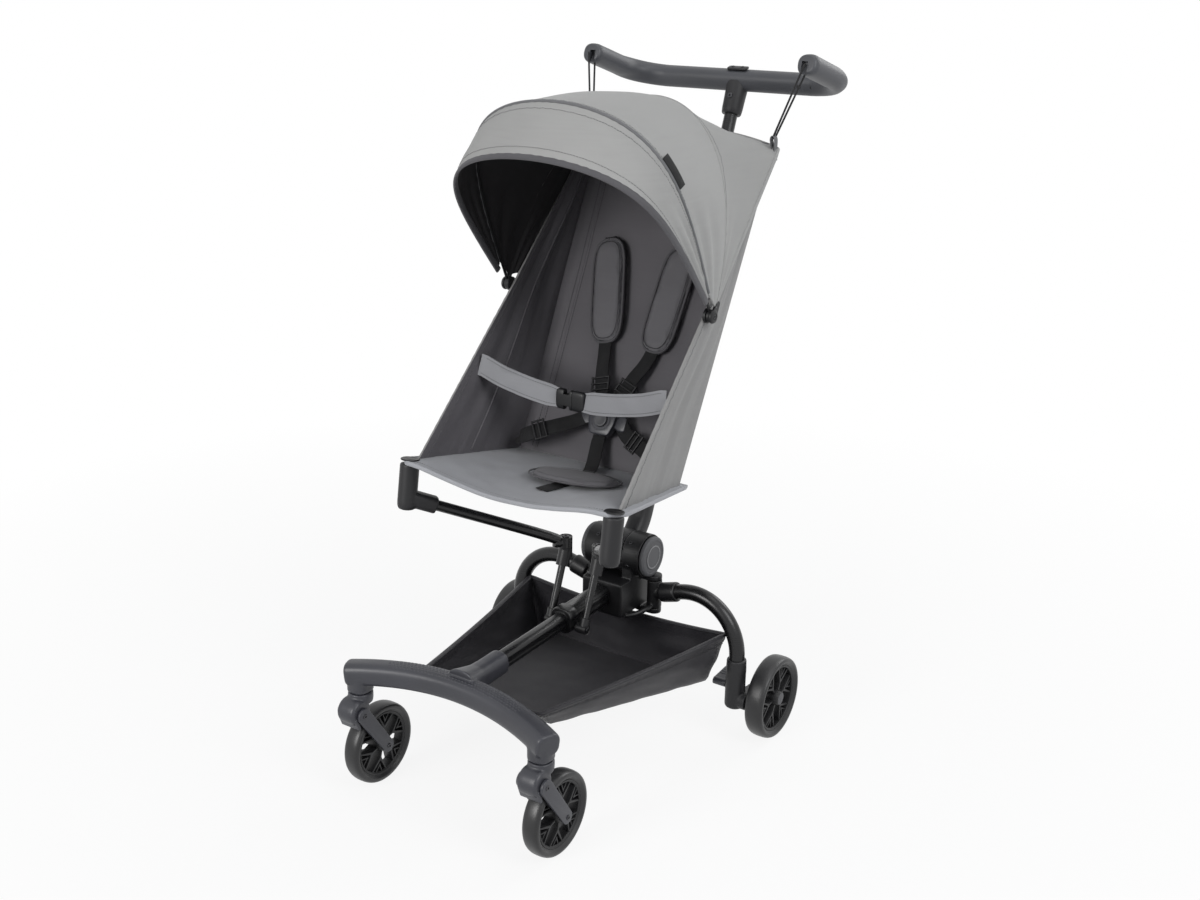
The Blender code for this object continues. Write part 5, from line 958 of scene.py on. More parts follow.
# %% The stamp
def stamp_group():
    """Points in, solid copies out. Inputs: the solid, its material and its size."""
    group = bpy.data.node_groups.new("stamp", "GeometryNodeTree")
    sockets = {}
    for name, kind in (("Points", "Geometry"), ("Solid", "Object"), ("Finish", "Material"), ("Size", "Float")):
        made = group.interface.new_socket(name, in_out="INPUT", socket_type=f"NodeSocket{kind}")
        sockets[name] = made.identifier
    group.interface.new_socket("Copies", in_out="OUTPUT", socket_type="NodeSocketGeometry")
    given = list(group.nodes.new("NodeGroupInput").outputs)
    points, solid, finish, size = [Wire(group, socket) for socket in given[:4]]
    base = Wire(group, None)
    runs, faces = [base.node("GeometryNodeInputNamedAttribute", name, data_type="FLOAT_VECTOR", output="Attribute")
                   for name in ("runs", "faces")]
    turn = base.node("FunctionNodeAlignRotationToVector", None, None, runs, axis="X")
    turn = base.node("FunctionNodeAlignRotationToVector", turn, None, faces, axis="Z", pivot_axis="X")
    seed = base.node("GeometryNodeObjectInfo", solid, output="Geometry")
    copies = base.node("GeometryNodeInstanceOnPoints", points, None, seed, None, None, turn, size)
    plain = base.node("GeometryNodeRealizeInstances", copies)
    painted = base.node("GeometryNodeSetMaterial", plain, None, finish)
    base.plug(group.nodes.new("NodeGroupOutput").inputs[0], painted)
    return group, sockets


STAMP, STAMP_INPUTS = stamp_group()


def stamps(name, spots, seed, material, body, size=1.0):
    """Copies of a small solid at (point, runs, faces) spots, made real as one piece."""
    seed_mesh = bpy.data.meshes.new(name + "_seed")
    seed_mesh.from_pydata([tuple(v) for v in seed[0]], [], seed[1])
    seed_object = show(name + "_seed", seed_mesh)
    mesh = bpy.data.meshes.new(name)
    mesh.from_pydata([(p[0], p[1] + SHIFT, p[2]) for p, _, _ in spots], [], [])
    for key, part in (("runs", 1), ("faces", 2)):
        layer = mesh.attributes.new(key, "FLOAT_VECTOR", "POINT")
        layer.data.foreach_set("vector", [c for spot in spots for c in spot[part]])
    made = show(name, mesh)
    step = made.modifiers.new("stamp", "NODES")
    step.node_group = STAMP
    for key, value in (("Solid", seed_object), ("Finish", material), ("Size", size)):
        step[STAMP_INPUTS[key]] = value
    settle(made, body, (), 60)
    bpy.data.objects.remove(seed_object)
    return made


print("stamp inputs:", len(STAMP_INPUTS))


# %% Grip dots on the crossbar
def grain_seed(length, width, height):
    """A small rounded bar lying along X."""
    return sweep([(-length / 2, 0, 0), (-length * 0.38, 0, 0), (length * 0.38, 0, 0), (length / 2, 0, 0)],
                 soft_section(width, height * 2, 2.2, 8), REAR, [0.45, 1.0, 1.0, 0.45])


def bar_top(x, share):
    """A point on the crossbar's top surface, share running from its front to its back."""
    bow = 1 - (x / CASTER_X) ** 2
    v = share * 0.0125
    drop = 0.017 * (1 - (1 - (abs(v) / 0.018) ** 2.8) ** (1 / 2.8))
    return Vector((x, CASTER_Y + 0.030 * bow + v, CROSSBAR_Z + 0.010 * bow + 0.0168 - drop))


spots = []
for row in range(6):
    share = -0.85 + row * 0.34
    for k in range(-22, 23):
        x = (k + (0.5 if row % 2 else 0.0)) * 0.0056
        if abs(x) > 0.118 - 0.016 * abs(share):
            continue
        at = bar_top(x, share)
        runs = (bar_top(x + 0.001, share) - at).normalized()
        faces = runs.cross(bar_top(x, share + 0.02) - at).normalized()
        spots.append((at, runs, faces if faces.z > 0 else -faces))
stamps("crossbar_grip_pattern", spots, grain_seed(0.0040, 0.0020, 0.0007), GREY_MOULD, "front_frame")
print("grip dots:", len(spots))

# %% [markdown]
# ## Hub and legs
#
# Two drums and a block carry every folding arm. The leg tubes are one bent tube each, with a
# moulded bracket at the hub and a foot that trails the wheel. A tube of one sweep has no joint at
# its bend, where two straight tubes with an elbow would show one.

# %% Hub housing
hub_solids = [box((-0.036, -0.112, 0.180), (0.036, -0.012, 0.2340))]
for side, sign in SIDES:
    hub_solids.append(rod((sign * 0.0192, HUB.y, HUB.z), (sign * 0.0499, HUB.y, HUB.z), 0.0342, 64, 0.003))
    near, far = sorted((sign * 0.0192, sign * 0.036))
    hub_solids.append(box((near, HUB.y - 0.030, 0.216), (far, HUB.y + 0.030, 0.262)))
    for low in (0.1723, 0.2272):
        outline = capsule((sign * 0.030, LEG_Y), (sign * LEG_X, LEG_Y), 0.0115, 0.0114, 20)
        hub_solids.append(prism(outline, low, low + 0.0088, "z"))
piece("hub_shell", hub_solids, BLACK_MOULD, "chassis", "hub_housing", remesh=0.0013, relax=6, sharp=0)
print("hub solids:", len(hub_solids))

# %% Hub lids, bolts and pin
for side, sign in SIDES:
    out = ACROSS * sign
    face = HUB + out * 0.0503
    lid = turned([(0.0310, 0.0), (0.0315, 0.0012), (0.0315, 0.0052), (0.0305, 0.0066), (0.0285, 0.0073),
                  (0.0262, 0.0075), (0.0256, 0.0069), (0.0200, 0.0067), (0.0194, 0.0073), (0.004, 0.0075)],
                 face, out, 72)
    piece(f"hub_lid_{side}", [lid], CAP, "chassis", f"hub_cap_{side}")
    ring = turned([(0.0168, 0.0070), (0.0168, 0.00775), (0.0176, 0.0080), (0.0184, 0.00775), (0.0184, 0.0070)],
                  face, out, 72, True)
    piece(f"hub_ring_{side}", [ring], CAP_RING, "chassis")
    spokes = [Vector((0.0, math.sin(a), math.cos(a))) for a in (-1.9, -0.75)]
    fasten(f"hub_bolts_{side}", [screw(HUB + out * 0.030 + v * 0.0342, v, 0.0030, 0.0010) for v in spokes], "chassis")
pin = rod(HUB - ACROSS * 0.0497, HUB + ACROSS * 0.0497, 0.006, 32, 0.0005)
piece("hub_pin_shell", [pin], DARK_STEEL, "chassis", "hub_pin")
print("hub done")

# %% Leg tubes, hinges and feet


def leg_path(steps=30):
    start = LEG_X + 0.0185 * math.cos(LEG_PITCH)
    rise = math.tan(LEG_PITCH)
    bend_x = LEG_X + 0.0500 * math.cos(LEG_PITCH)
    bend = Vector((bend_x, LEG_Z + (bend_x - LEG_X) * rise, 0.0))
    reach = (FOOT_X - bend_x) * 0.58
    ahead_of = bend + Vector((reach, reach * rise, 0.0))
    curve = bezier(bend, ahead_of, (FOOT_X, 0.187, 0.0), (FOOT_X, 0.139, 0.0), steps)
    points = [(start, LEG_Z + (start - LEG_X) * rise)] + [(p.x, p.y) for p in curve]
    return points + [(FOOT_X, 0.062)]


for side, sign in SIDES:
    body = f"leg_{side}"
    path = [Vector((sign * x, LEG_Y, z)) for x, z in leg_path()]
    piece(f"leg_bent_tube_{side}", [sweep(path, round_section(0.012, 40), REAR)], TUBE, body,
          f"leg_tube_{side}")
    hinge = Vector((sign * LEG_X, LEG_Y, LEG_Z))
    out = Vector((sign * math.cos(LEG_PITCH), 0.0, math.sin(LEG_PITCH)))
    barrel = rod((hinge.x, LEG_Y, 0.1816), (hinge.x, LEG_Y, 0.2269), 0.0116, 40, 0.0012)
    neck = rod(hinge + out * 0.004, hinge + out * 0.0175, 0.0108, 32)
    sleeve = turned([(0.0125, 0.0), (0.0150, 0.0015), (0.0155, 0.004), (0.0155, 0.0270), (0.0147, 0.0290),
                     (0.0128, 0.0295)], hinge + out * 0.0145, out, 48)
    link_line = smooth_path([hinge + Vector((0.0, -0.004, -0.018)), Vector((sign * 0.054, -0.066, 0.184)),
                             Vector((sign * 0.046, -0.084, 0.180)), Vector((sign * 0.034, -0.096, 0.178))], 6)
    link = sweep(link_line, round_section(0.0042, 16), UP)
    piece(f"leg_hinge_{side}", [barrel, neck, sleeve, link], BLACK_MOULD, body, f"leg_bracket_{side}",
          remesh=0.0009, relax=5, sharp=0)
    fasten(f"leg_link_bolt_{side}", [screw((sign * 0.0345, -0.0955, 0.1818), UP, 0.0030, 0.0010)], body)
    foot = turned([(0.0114, 0.0), (0.0140, 0.0016), (0.0154, 0.0045), (0.0154, 0.058), (0.0156, 0.060),
                   (0.0156, 0.0660), (0.0154, 0.068), (0.0150, 0.0795), (0.0142, 0.0806), (0.0124, 0.0809)],
                  (sign * FOOT_X, LEG_Y, 0.054), UP, 56)
    inner = REAR_X - REAR_W / 2 - 0.0030
    sides = sorted((sign * (FOOT_X + 0.004), sign * inner))
    trailing = prism(capsule((LEG_Y, 0.068), (0.0, REAR_R), 0.0135, 0.0115, 20), sides[0], sides[1], "x")
    boss = rod((sign * (inner - 0.003), 0.0, REAR_R), (sign * (inner + 0.0022), 0.0, REAR_R), 0.0088, 40)
    piece(f"leg_foot_shell_{side}", [foot, trailing, boss], DARK_MOULD, body, f"leg_foot_{side}",
          remesh=0.0011, relax=6, sharp=0)
    axle = rod((sign * (inner - 0.003), 0.0, REAR_R), (sign * (REAR_X + REAR_W / 2 - 0.006), 0.0, REAR_R), 0.0039, 32)
    bolt = screw((sign * (FOOT_X - 0.0154), LEG_Y, 0.1080), ACROSS * -sign, 0.0036)
    fasten(f"leg_axle_{side}", [axle, bolt], body)
print("legs done")

# %% [markdown]
# ## Brake pedal
#
# A small lever on the inside of the left foot, with four ribs for the sole. The ribs are rods sunk
# into the tread: a bump in the material would not catch light along its edge.

# %% The pedal
BRAKE_Z, TREAD_LONG, TREAD_RISE = 0.088, 0.034, 0.006
face = FOOT_X - 0.012 - 0.0034 - TOUCH
barrel = rod((face - 0.021, LEG_Y, BRAKE_Z), (face, LEG_Y, BRAKE_Z), 0.0060, 40, 0.0008)
outline = capsule((LEG_Y, BRAKE_Z), (LEG_Y + TREAD_LONG, BRAKE_Z + TREAD_RISE), 0.0055, 0.0030, 14)
tread = prism(outline, face - 0.021, face - 0.003, "x")
ribs = []
for y in (0.014, 0.020, 0.026, 0.032):
    z = BRAKE_Z + 0.0053 + (TREAD_RISE / TREAD_LONG - 0.074) * y
    ribs.append(rod((face - 0.019, LEG_Y + y, z), (face - 0.005, LEG_Y + y, z), 0.0009, 12))
piece("brake_pedal_lever", [barrel, tread, *ribs], GREY_MOULD, "brake", "brake_pedal", bevel=0.0007)
print("brake ribs:", len(ribs))

# %% [markdown]
# ## Seat struts, arms and posts
#
# Two short struts stand on the sleeve. From their tops two arms run forward to the posts that
# hold the seat's front corners with snap caps. Tubes stay sharp and moulded posts are melted,
# as the real ones are drawn and moulded.

# %% Struts, arms, posts and snaps
for side, sign in SIDES:
    x = sign * STRUT_X
    foot = Vector((x, *STRUT_FOOT))
    top = Vector((x, *STRUT_TOP))
    lean = (top - foot).normalized()
    toe = rod((sign * 0.0190, *STRUT_FOOT), (x + sign * 0.007, *STRUT_FOOT), 0.0076, 40, 0.001)
    collar = rod(top - lean * 0.026, top, 0.0099, 40, 0.0014)
    low_collar = rod(foot + lean * 0.004, foot + lean * 0.016, 0.0080, 40, 0.001)
    seat = rod((x, STRUT_TOP[0], STRUT_TOP[1] - 0.012), (x, STRUT_TOP[0], STRUT_TOP[1] + 0.0036), 0.0101, 40, 0.0008)
    tube = rod(foot, top - lean * 0.002, 0.0055, 40)
    piece(f"strut_shell_{side}", [tube, paint(toe, 1), paint(collar, 1), paint(low_collar, 1), paint(seat, 1)],
          [TUBE, BLACK_MOULD], "chassis", f"strut_{side}")
    fasten(f"strut_bolt_{side}", [screw((x + sign * 0.007, *STRUT_FOOT), ACROSS * sign, 0.0042)], "chassis")

    body = f"arm_{side}"
    low = STRUT_TOP[1] + 0.0036 + TOUCH
    knuckle = Vector((x, STRUT_TOP[0], low + 0.008))
    post_top = Vector((sign * POST_X, POST_Y, POST_Z))
    join_at = post_top - BASE_UP * 0.050
    ahead_of = (join_at - knuckle).normalized()
    flat = Vector((ahead_of.x, ahead_of.y, 0.0)).normalized()
    side_axis = flat.cross(UP)
    arm_line = [knuckle + flat * 0.006, knuckle + flat * 0.016, knuckle + ahead_of * 0.030,
                join_at - ahead_of * 0.024]
    arm = sweep(smooth_path(arm_line, 6), round_section(0.0080, 40), side_axis)
    barrel = rod((x, STRUT_TOP[0], low), (x, STRUT_TOP[0], low + 0.016), 0.0101, 40, 0.0012)
    nut = screw((x, STRUT_TOP[0], low + 0.0158), UP, 0.0052, 0.0016)
    piece(f"seat_arm_shell_{side}", [arm, barrel, paint(nut, 1)], [TUBE, DARK_STEEL], body, f"seat_arm_{side}")
    shaft = turned([(0.008, 0.0), (0.0120, 0.0018), (0.0136, 0.006), (0.0140, 0.012), (0.0140, 0.0655),
                    (0.0133, 0.0674), (0.0115, 0.0680)], post_top - BASE_UP * 0.068, BASE_UP, 56)
    socket = sweep([join_at - ahead_of * 0.004, join_at - ahead_of * 0.0425, join_at - ahead_of * 0.044],
                   soft_section(0.0245, 0.0245, 3.2, 40), side_axis, [1.0, 1.0, 0.93])
    piece(f"seat_post_shell_{side}", [shaft, socket], DARK_MOULD, body, f"seat_post_{side}",
          remesh=0.0010, relax=6, sharp=0)
    cap_low = post_top + BASE_UP * (TOUCH * 2 + 0.0040)
    cap = turned([(0.0040, -0.0040), (0.0040, -0.0002), (0.0134, 0.0), (0.0138, 0.0010), (0.0130, 0.0022),
                  (0.0110, 0.0026), (0.0090, 0.0018), (0.0074, 0.0017), (0.0060, 0.0022), (0.0015, 0.0023)],
                 cap_low, BASE_UP, 48)
    piece(f"seat_snap_{side}", [cap], BLACK_MOULD, body)
print("struts, arms and posts done")

# %% [markdown]
# ## Push pole and handle
#
# The knuckle's neck curves into a round tube. The upper tube slides into it, and carries the
# handle, a bracket and the thin release rod. The bracket is cut by the grip's own section, a fifth
# of a millimetre larger all round. A saddle drawn by hand would have to be fitted again and again.

# %% Knuckle, tubes and release rod
knuckle = rod(HUB - ACROSS * 0.0185, HUB + ACROSS * 0.0185, 0.0330, 72, 0.0015)
neck = sweep(smooth_path([pole_point(0.0, 0.016), pole_point(0.040, 0.0300), pole_point(0.060),
                          pole_point(0.0915)], 6),
             soft_section(0.033, 0.033, 2.6, 40), ACROSS)
piece("pole_knuckle_shell", [knuckle, neck], DARK_MOULD, "pole", "pole_knuckle",
      remesh=0.0013, relax=6, sharp=0)
outer = turned([(0.0110, 0.0), (0.0125, 0.0), (0.0128, 0.0006), (0.0128, 0.3575)], pole_point(0.054), POLE_DIR, 64)
collar = turned([(0.0105, 0.0), (0.0136, 0.0), (0.0140, 0.0010), (0.0140, 0.0095), (0.0134, 0.0110),
                 (0.0105, 0.0110)], pole_point(0.4062), POLE_DIR, 64, True)
piece("pole_lower_tube", [outer, paint(collar, 1)], [TUBE, GLOSS_MOULD], "pole", "pole_outer_tube")
inner = turned([(0.0088, 0.0), (0.0104, 0.0), (0.0104, 0.3620), (0.0088, 0.3620)], pole_point(0.377), POLE_DIR,
               64, True)
piece("pole_upper_tube", [inner], TUBE, "handle", "pole_inner_tube")
behind = 0.0336 + 0.0128 + 0.0025 + 0.001
piece("release_rod_shell", [rod(pole_point(0.385, behind), pole_point(0.7085, behind), 0.0025, 24, 0.0004)],
      STEEL, "handle", "release_rod")
print("pole done")


# %% The handle's grip
def mirrored(point, sign=-1.0):
    """The same point on the side that the sign tells."""
    return Vector((sign * point.x, point.y, point.z))


def handle_path():
    """Points along the handle bar from tip to tip, and the section's scale at each."""
    tip = HANDLE_TIP
    corner = Vector((0.189, HANDLE.y - 0.004, HANDLE.z + 0.002))
    arm_dir = (tip - corner).normalized()
    into = corner + arm_dir * 0.060
    out = Vector((0.189 - 0.060, HANDLE.y, HANDLE.z))
    half, scales = [], []
    for k in range(9):
        a = math.pi / 2 * k / 8
        half.append(tip - arm_dir * 0.011 * (1 - math.cos(a)))
        scales.append(0.62 + 0.38 * math.sin(a) ** 0.8)
    half += [(tip - arm_dir * 0.011).lerp(into, k / 8) for k in range(1, 8)]
    half += bezier(into, into.lerp(corner, 0.62), out.lerp(corner, 0.62), out, 22)
    half += [Vector((out.x * (1 - k / 12), HANDLE.y, HANDLE.z)) for k in range(1, 13)]
    scales += [1.0] * (len(half) - len(scales))
    return half + [mirrored(p) for p in reversed(half[:-1])], scales + scales[-2::-1]


line, scales = handle_path()
grip = sweep(line, soft_section(0.031, 0.033, 2.5, 56), (0.0, 1.0, 0.25), scales)
slots = []
for side, sign in SIDES:
    near, far = sorted((sign * (HANDLE_TIP.x + 0.0022), sign * (HANDLE_TIP.x - 0.0075)))
    outline = capsule((HANDLE_TIP.y - 0.010, HANDLE_TIP.z - 0.020), (HANDLE_TIP.y + 0.0045, HANDLE_TIP.z),
                      0.0052, 0.0050, 14)
    slots.append(prism(outline, near, far, "x"))
piece("handle_grip", [grip], GRIP, "handle", "handle_bar", cuts=slots, sharp=35)
print("handle points:", len(line))

# %% Bracket, plugs and slider
BAR_SIDE = Vector((0.0, 1.0, 0.25)).normalized()
BAR_UP = ACROSS.cross(BAR_SIDE)
saddle = sweep([HANDLE + ACROSS * 0.05, HANDLE - ACROSS * 0.05], soft_section(0.0314, 0.0334, 2.5, 56), BAR_SIDE)
stem = sweep([pole_point(a) for a in (0.703, 0.7045, 0.712, 0.727, 0.742, 0.7535)], round_section(0.0172, 64), ACROSS,
             [0.84, 0.90, 0.95, 0.97, 1.0, 1.0])
piece("handle_bracket_shell", [stem], DARK_MOULD, "handle", "handle_bracket", cuts=[saddle], sharp=35)
fasten("handle_bracket_bolt", [screw(pole_point(0.7285, 0.0166), -POLE_BACK, 0.0044, 0.0014)], "handle")
plug_at = HANDLE + ACROSS * 0.112 - BAR_SIDE * 0.0154
dot = turned([(0.0034, -0.001), (0.0034, 0.0003), (0.0028, 0.0007), (0.001, 0.0008)], plug_at, -BAR_SIDE, 32)
oval = sweep([HANDLE + ACROSS * 0.138 - BAR_SIDE * d for d in (0.0148, 0.0156, 0.0159)],
             soft_section(0.0150, 0.0075, 2.0, 32), ACROSS, [1.0, 1.0, 0.86])
piece("handle_plugs", [dot, oval], BLACK_MOULD, "handle")
middle = HANDLE + BAR_UP * (0.0165 + TOUCH + 0.00225)
slide = sweep([middle + ACROSS * a for a in (-0.017, -0.0162, -0.0150, 0.0150, 0.0162, 0.017)],
              soft_section(0.0045, 0.014, 3.0, 32), BAR_UP, [0.62, 0.88, 1.0, 1.0, 0.88, 0.62])
bumps = [turned([(0.0032, -0.001), (0.0030, 0.0004), (0.0018, 0.0011), (0.0005, 0.0012)],
                middle + ACROSS * a + BAR_UP * 0.0022, BAR_UP, 24) for a in (-0.0085, 0.0085)]
piece("handle_slider", [slide, *bumps], BLACK_MOULD, "release_slider", "release_slider")
print("pole and handle done")

# %% [markdown]
# ## Cloth as walled sheets
#
# A sheet is a grid of points given a wall. Its UV map holds the distance along the cloth in
# metres, so the weave keeps its size. Its two faces and its edge may differ in material. A draped
# simulation suits loose cloth; these sheets are sewn taut, so their folds are written as formulas.


# %% Grids with a wall
def walled(rows, thickness, upper=0, lower=0, edge=0):
    """A solid from a grid of points: the wall stands half on each side of the grid."""
    high, wide = len(rows), len(rows[0])
    across = [[0.0] * wide for _ in range(high)]
    along = [[0.0] * wide for _ in range(high)]
    for r in range(high):
        for c in range(wide):
            if c:
                across[r][c] = across[r][c - 1] + (rows[r][c] - rows[r][c - 1]).length
            if r:
                along[r][c] = along[r - 1][c] + (rows[r][c] - rows[r - 1][c]).length
    tops, lows, spots = [], [], []
    for r in range(high):
        half = across[r][-1] / 2
        for c in range(wide):
            du = rows[r][min(c + 1, wide - 1)] - rows[r][max(c - 1, 0)]
            dv = rows[min(r + 1, high - 1)][c] - rows[max(r - 1, 0)][c]
            normal = du.cross(dv).normalized()
            wall = thickness[r][c] if isinstance(thickness, list) else thickness
            tops.append(rows[r][c] + normal * wall / 2)
            lows.append(rows[r][c] - normal * wall / 2)
            spots.append((across[r][c] - half, along[r][c]))
    n = high * wide
    faces, marks = [], []
    for r in range(high - 1):
        for c in range(wide - 1):
            a = r * wide + c
            quad = (a, a + 1, a + 1 + wide, a + wide)
            faces += [quad, tuple(n + i for i in reversed(quad))]
            marks += [upper, lower]
    rim = list(range(wide)) + [r * wide + wide - 1 for r in range(1, high)]
    rim += [(high - 1) * wide + c for c in range(wide - 2, -1, -1)] + [r * wide for r in range(high - 2, 0, -1)]
    for a, b in zip(rim, rim[1:] + rim[:1]):
        faces.append((a, n + a, n + b, b))
        marks.append(edge)
    return tops + lows, faces, marks, spots + spots


def cloth_area(rows):
    total = 0.0
    for near, far in zip(rows, rows[1:]):
        for a, b, d, e in zip(near, near[1:], far, far[1:]):
            total += ((b - a).cross(d - a).length + (b - e).cross(d - e).length) / 2
    return total


print("sheet maker ready")


# %% Stitches and cloth noise
def stitch_spots(line, faces, pitch=0.0042, lift=0.0):
    """Evenly spaced spots along a line, each with the way it runs and the way it faces."""
    spots = []
    left = pitch / 2
    for k in range(len(line) - 1):
        a, b = line[k], line[k + 1]
        long = (b - a).length
        while left < long:
            t = left / long
            face = faces[k] * (1 - t) + faces[k + 1] * t if isinstance(faces, list) else faces
            face = face.normalized()
            spots.append((a.lerp(b, t) + face * lift, (b - a) / long, face))
            left += pitch
        left -= long
    return spots


STITCH = sweep([(-0.0016, 0, -0.0003), (-0.0013, 0, 0.0001), (-0.0006, 0, 0.0003), (0.0006, 0, 0.0003),
                (0.0013, 0, 0.0001), (0.0016, 0, -0.0003)], round_section(0.00034, 6), REAR,
               [0.6, 1.0, 1.0, 1.0, 1.0, 0.6])


def wave(value):
    return math.sin(value * 2 * math.pi)


def ripple(x, y, seed):
    """Soft cloth noise between about -1 and 1."""
    return noise.noise(Vector((x, y, seed))) * 1.6


def bell(distance, width):
    """1 at no distance, falling away smoothly on both sides."""
    return math.exp(-(distance / width) ** 2)


print("stitch points:", len(STITCH[0]))

# %% [markdown]
# ## Seat base
#
# The base is stretched between the two posts, dips a little in the middle, and ends in a bound
# edge with a row of stitches beside it. A formula gives the dip, because taut cloth follows the
# tubes under it, and a simulation would only find the same shape again.

# %% Base cloth, binding and stitches
BASE_DEPTH, BASE_FRONT, BASE_REAR = 0.222, 0.186, 0.150
BASE_TUCK = 0.012


def base_span(back):
    return BASE_FRONT + (BASE_REAR - BASE_FRONT) * max(back, 0.0) / BASE_DEPTH


def base_point(x, back, lift=0.0):
    share = min(abs(x) / (base_span(back) - (BASE_FRONT - POST_X) - 0.017), 1.0)
    hang = 0.016 * (1 - share**2) ** 1.5 * max(1 - max(back, 0.0) / BASE_DEPTH, 0.0) ** 0.7
    start = Vector((x, POST_Y, POST_Z)) + BASE_UP * (TOUCH + 0.002)
    return start + BASE_BACK * back + BASE_UP * (lift - hang)


def base_front(t):
    """How far the front edge reaches forward at this share of the half width."""
    return -0.013 * (1 - 0.75 * max(0.0, (abs(t) - 0.88) / 0.12) ** 2)


rows, walls = [], []
for r in range(49):
    v = r / 48
    row, wall = [], []
    for c in range(81):
        t = -1 + c / 40
        start = base_front(t)
        back = start + (BASE_DEPTH + BASE_TUCK - start) * v
        reach = 1.0 - 0.045 * max(0.0, 1 - v / 0.06) * (1 if abs(t) > 0.9 else 0) * (abs(t) - 0.9) / 0.1
        x = t * base_span(back) * reach
        edge = min(1 - abs(t), 0.3) / 0.3
        ends = min(v, 1 - v, 0.25) / 0.25
        crease = 0.0007 * ripple(x * 18, back * 46, 3.1) * edge
        crease += 0.0009 * ripple(t * 2.2, back * 30 + abs(t) * 5, 7.7) * edge * (0.5 + 0.5 * v)
        pucker = 0.0005 * wave(x / 0.011) * bell(back - start - 0.011, 0.007)
        row.append(base_point(x, back, crease + pucker))
        wall.append(0.0040 + 0.0045 * math.sqrt(edge * ends))
    rows.append(row)
    walls.append(wall)
base = piece("seat_base_cloth", [walled(rows, walls)], BASE_CLOTH, "chassis", "seat_base", sharp=60)
edge_line = [rows[r][0] for r in range(48, 0, -1)] + rows[0] + [rows[r][80] for r in range(1, 49)]
edge_line = smooth_path(edge_line[::3], 3)
binding = piece("seat_base_binding", [sweep(edge_line, soft_section(0.0066, 0.0052, 2.6, 16), BASE_UP)],
                BASE_CLOTH, "chassis", sharp=0)
spots = []
for line in ([rows[r][3] for r in range(47, 2, -1)], rows[2][3:78], [rows[r][77] for r in range(3, 48)]):
    spots += stitch_spots(line, BASE_UP, 0.0042, 0.0026)
stitches = stamps("seat_base_stitches", spots, STITCH, THREAD, "chassis")
base_area = round(cloth_area(rows), 4)
print("base area", base_area, "stitches", len(spots))

# %% [markdown]
# ## Seat sling
#
# One cloth goes down the left side, across the padded back and up the right side. The sides
# are light grey outside and dark satin inside, and the back is three padded channels. Three
# sheets could be joined, but one sheet has no seams to hide at its corners.

# %% The sling's edges and folds
BACK_LOW_HALF = 0.142
BACK_TOP = Vector((0.151, 0.089, 0.889))
SIDE_CLOTH, BACK_PAD = 0.0026, 0.0085


def side_front(share):
    """A point on the side's free front edge, from the seat up to the handle's corner."""
    low = base_point(POST_X - 0.004, 0.016, 0.002 + 3 * TOUCH)
    low.x = POST_X - 0.002
    middle = Vector((0.165, PIVOT.y, PIVOT.z))
    top = Vector((0.158, BACK_TOP.y - 0.012, BACK_TOP.z))
    return low.lerp(middle, share * 2) if share < 0.5 else middle.lerp(top, share * 2 - 1)


def back_corner(share):
    """A point on the seam between the left side and the back."""
    low = base_point(0.0, BASE_DEPTH - 0.004, 0.002 + BACK_PAD * 0.24)
    low.x = BACK_LOW_HALF
    return low.lerp(BACK_TOP, share)


def side_fold(share, t, seed):
    """How far the side cloth stands in from the flat: soft folds that fall from the top."""
    hold = math.sin(math.pi * min(max(t, 0.0), 1.0))
    plain = 0.004 * math.sin(share * 9.0) * hold
    fold = 0.0030 * math.sin(t * 15.0 + 1.3 * ripple(share * 2.3, t, seed)) * hold * (0.35 + 0.65 * share)
    fine = 0.0014 * ripple(t * 9.0, share * 5.0, seed + 2.0) * hold
    pucker = 0.0006 * wave(share * 52) * bell(t - 0.055, 0.04)
    low = 0.0010 * wave(t * 11.0) * bell(share, 0.05) * hold
    return plain + fold + fine + pucker + low


def side_point(share, t, seed):
    point = side_front(share).lerp(back_corner(share), t)
    point.x -= side_fold(share, t, seed)
    return point


def back_spot(share, t, corner):
    crown = 0.010 * math.sin(min(share, 1.0) * math.pi)
    return Vector((t * corner.x, corner.y, corner.z)) - BACK_NORMAL * crown * (1 - t * t)


def side_wall(t):
    """The side cloth is thicker along its hem."""
    return SIDE_CLOTH + (0.0012 if t < 0.075 else 0.0)


print("side edge", [round(side_front(t).z, 3) for t in (0, 0.5, 1)])

# %% The sling's cloth
ROWS, SIDE_STEPS, BACK_STEPS = 88, 30, 60
rows, walls = [], []
for r in range(ROWS + 1):
    share = r / ROWS
    corner = back_corner(share)
    row, wall = [], []
    for k in range(SIDE_STEPS):
        t = k / SIDE_STEPS
        row.append(mirrored(side_point(share, t, 11.0)))
        wall.append(side_wall(t))
    for k in range(BACK_STEPS + 1):
        t = -1 + 2 * k / BACK_STEPS
        crease = 0.0010 * ripple(t * 3.2, share * 9.0, 21.0) * (1 - t**4)
        row.append(back_spot(share, t, corner) + BACK_NORMAL * crease)
        seam = bell(abs(t) - 0.80, 0.045)
        full = min(1.0, (1 - abs(t)) / 0.10, share / 0.03 + 0.5, (1 - share) / 0.03 + 0.5)
        wall.append(SIDE_CLOTH + (BACK_PAD - SIDE_CLOTH) * max(full, 0.0) * (1 - 0.62 * seam))
    for k in range(SIDE_STEPS - 1, -1, -1):
        t = k / SIDE_STEPS
        row.append(side_point(share, t, 17.0))
        wall.append(side_wall(t))
    rows.append(row)
    walls.append(wall)
sling = piece("seat_sling_cloth", [walled(rows, walls, 0, 1, 1)], [LINING, OUTER], None, "seat_sling", sharp=60)
sling_area = round(cloth_area(rows), 4)
print("sling area", sling_area)


# %% The sling's pipings and stitches
def sling_line(column):
    return [row[column] for row in rows]


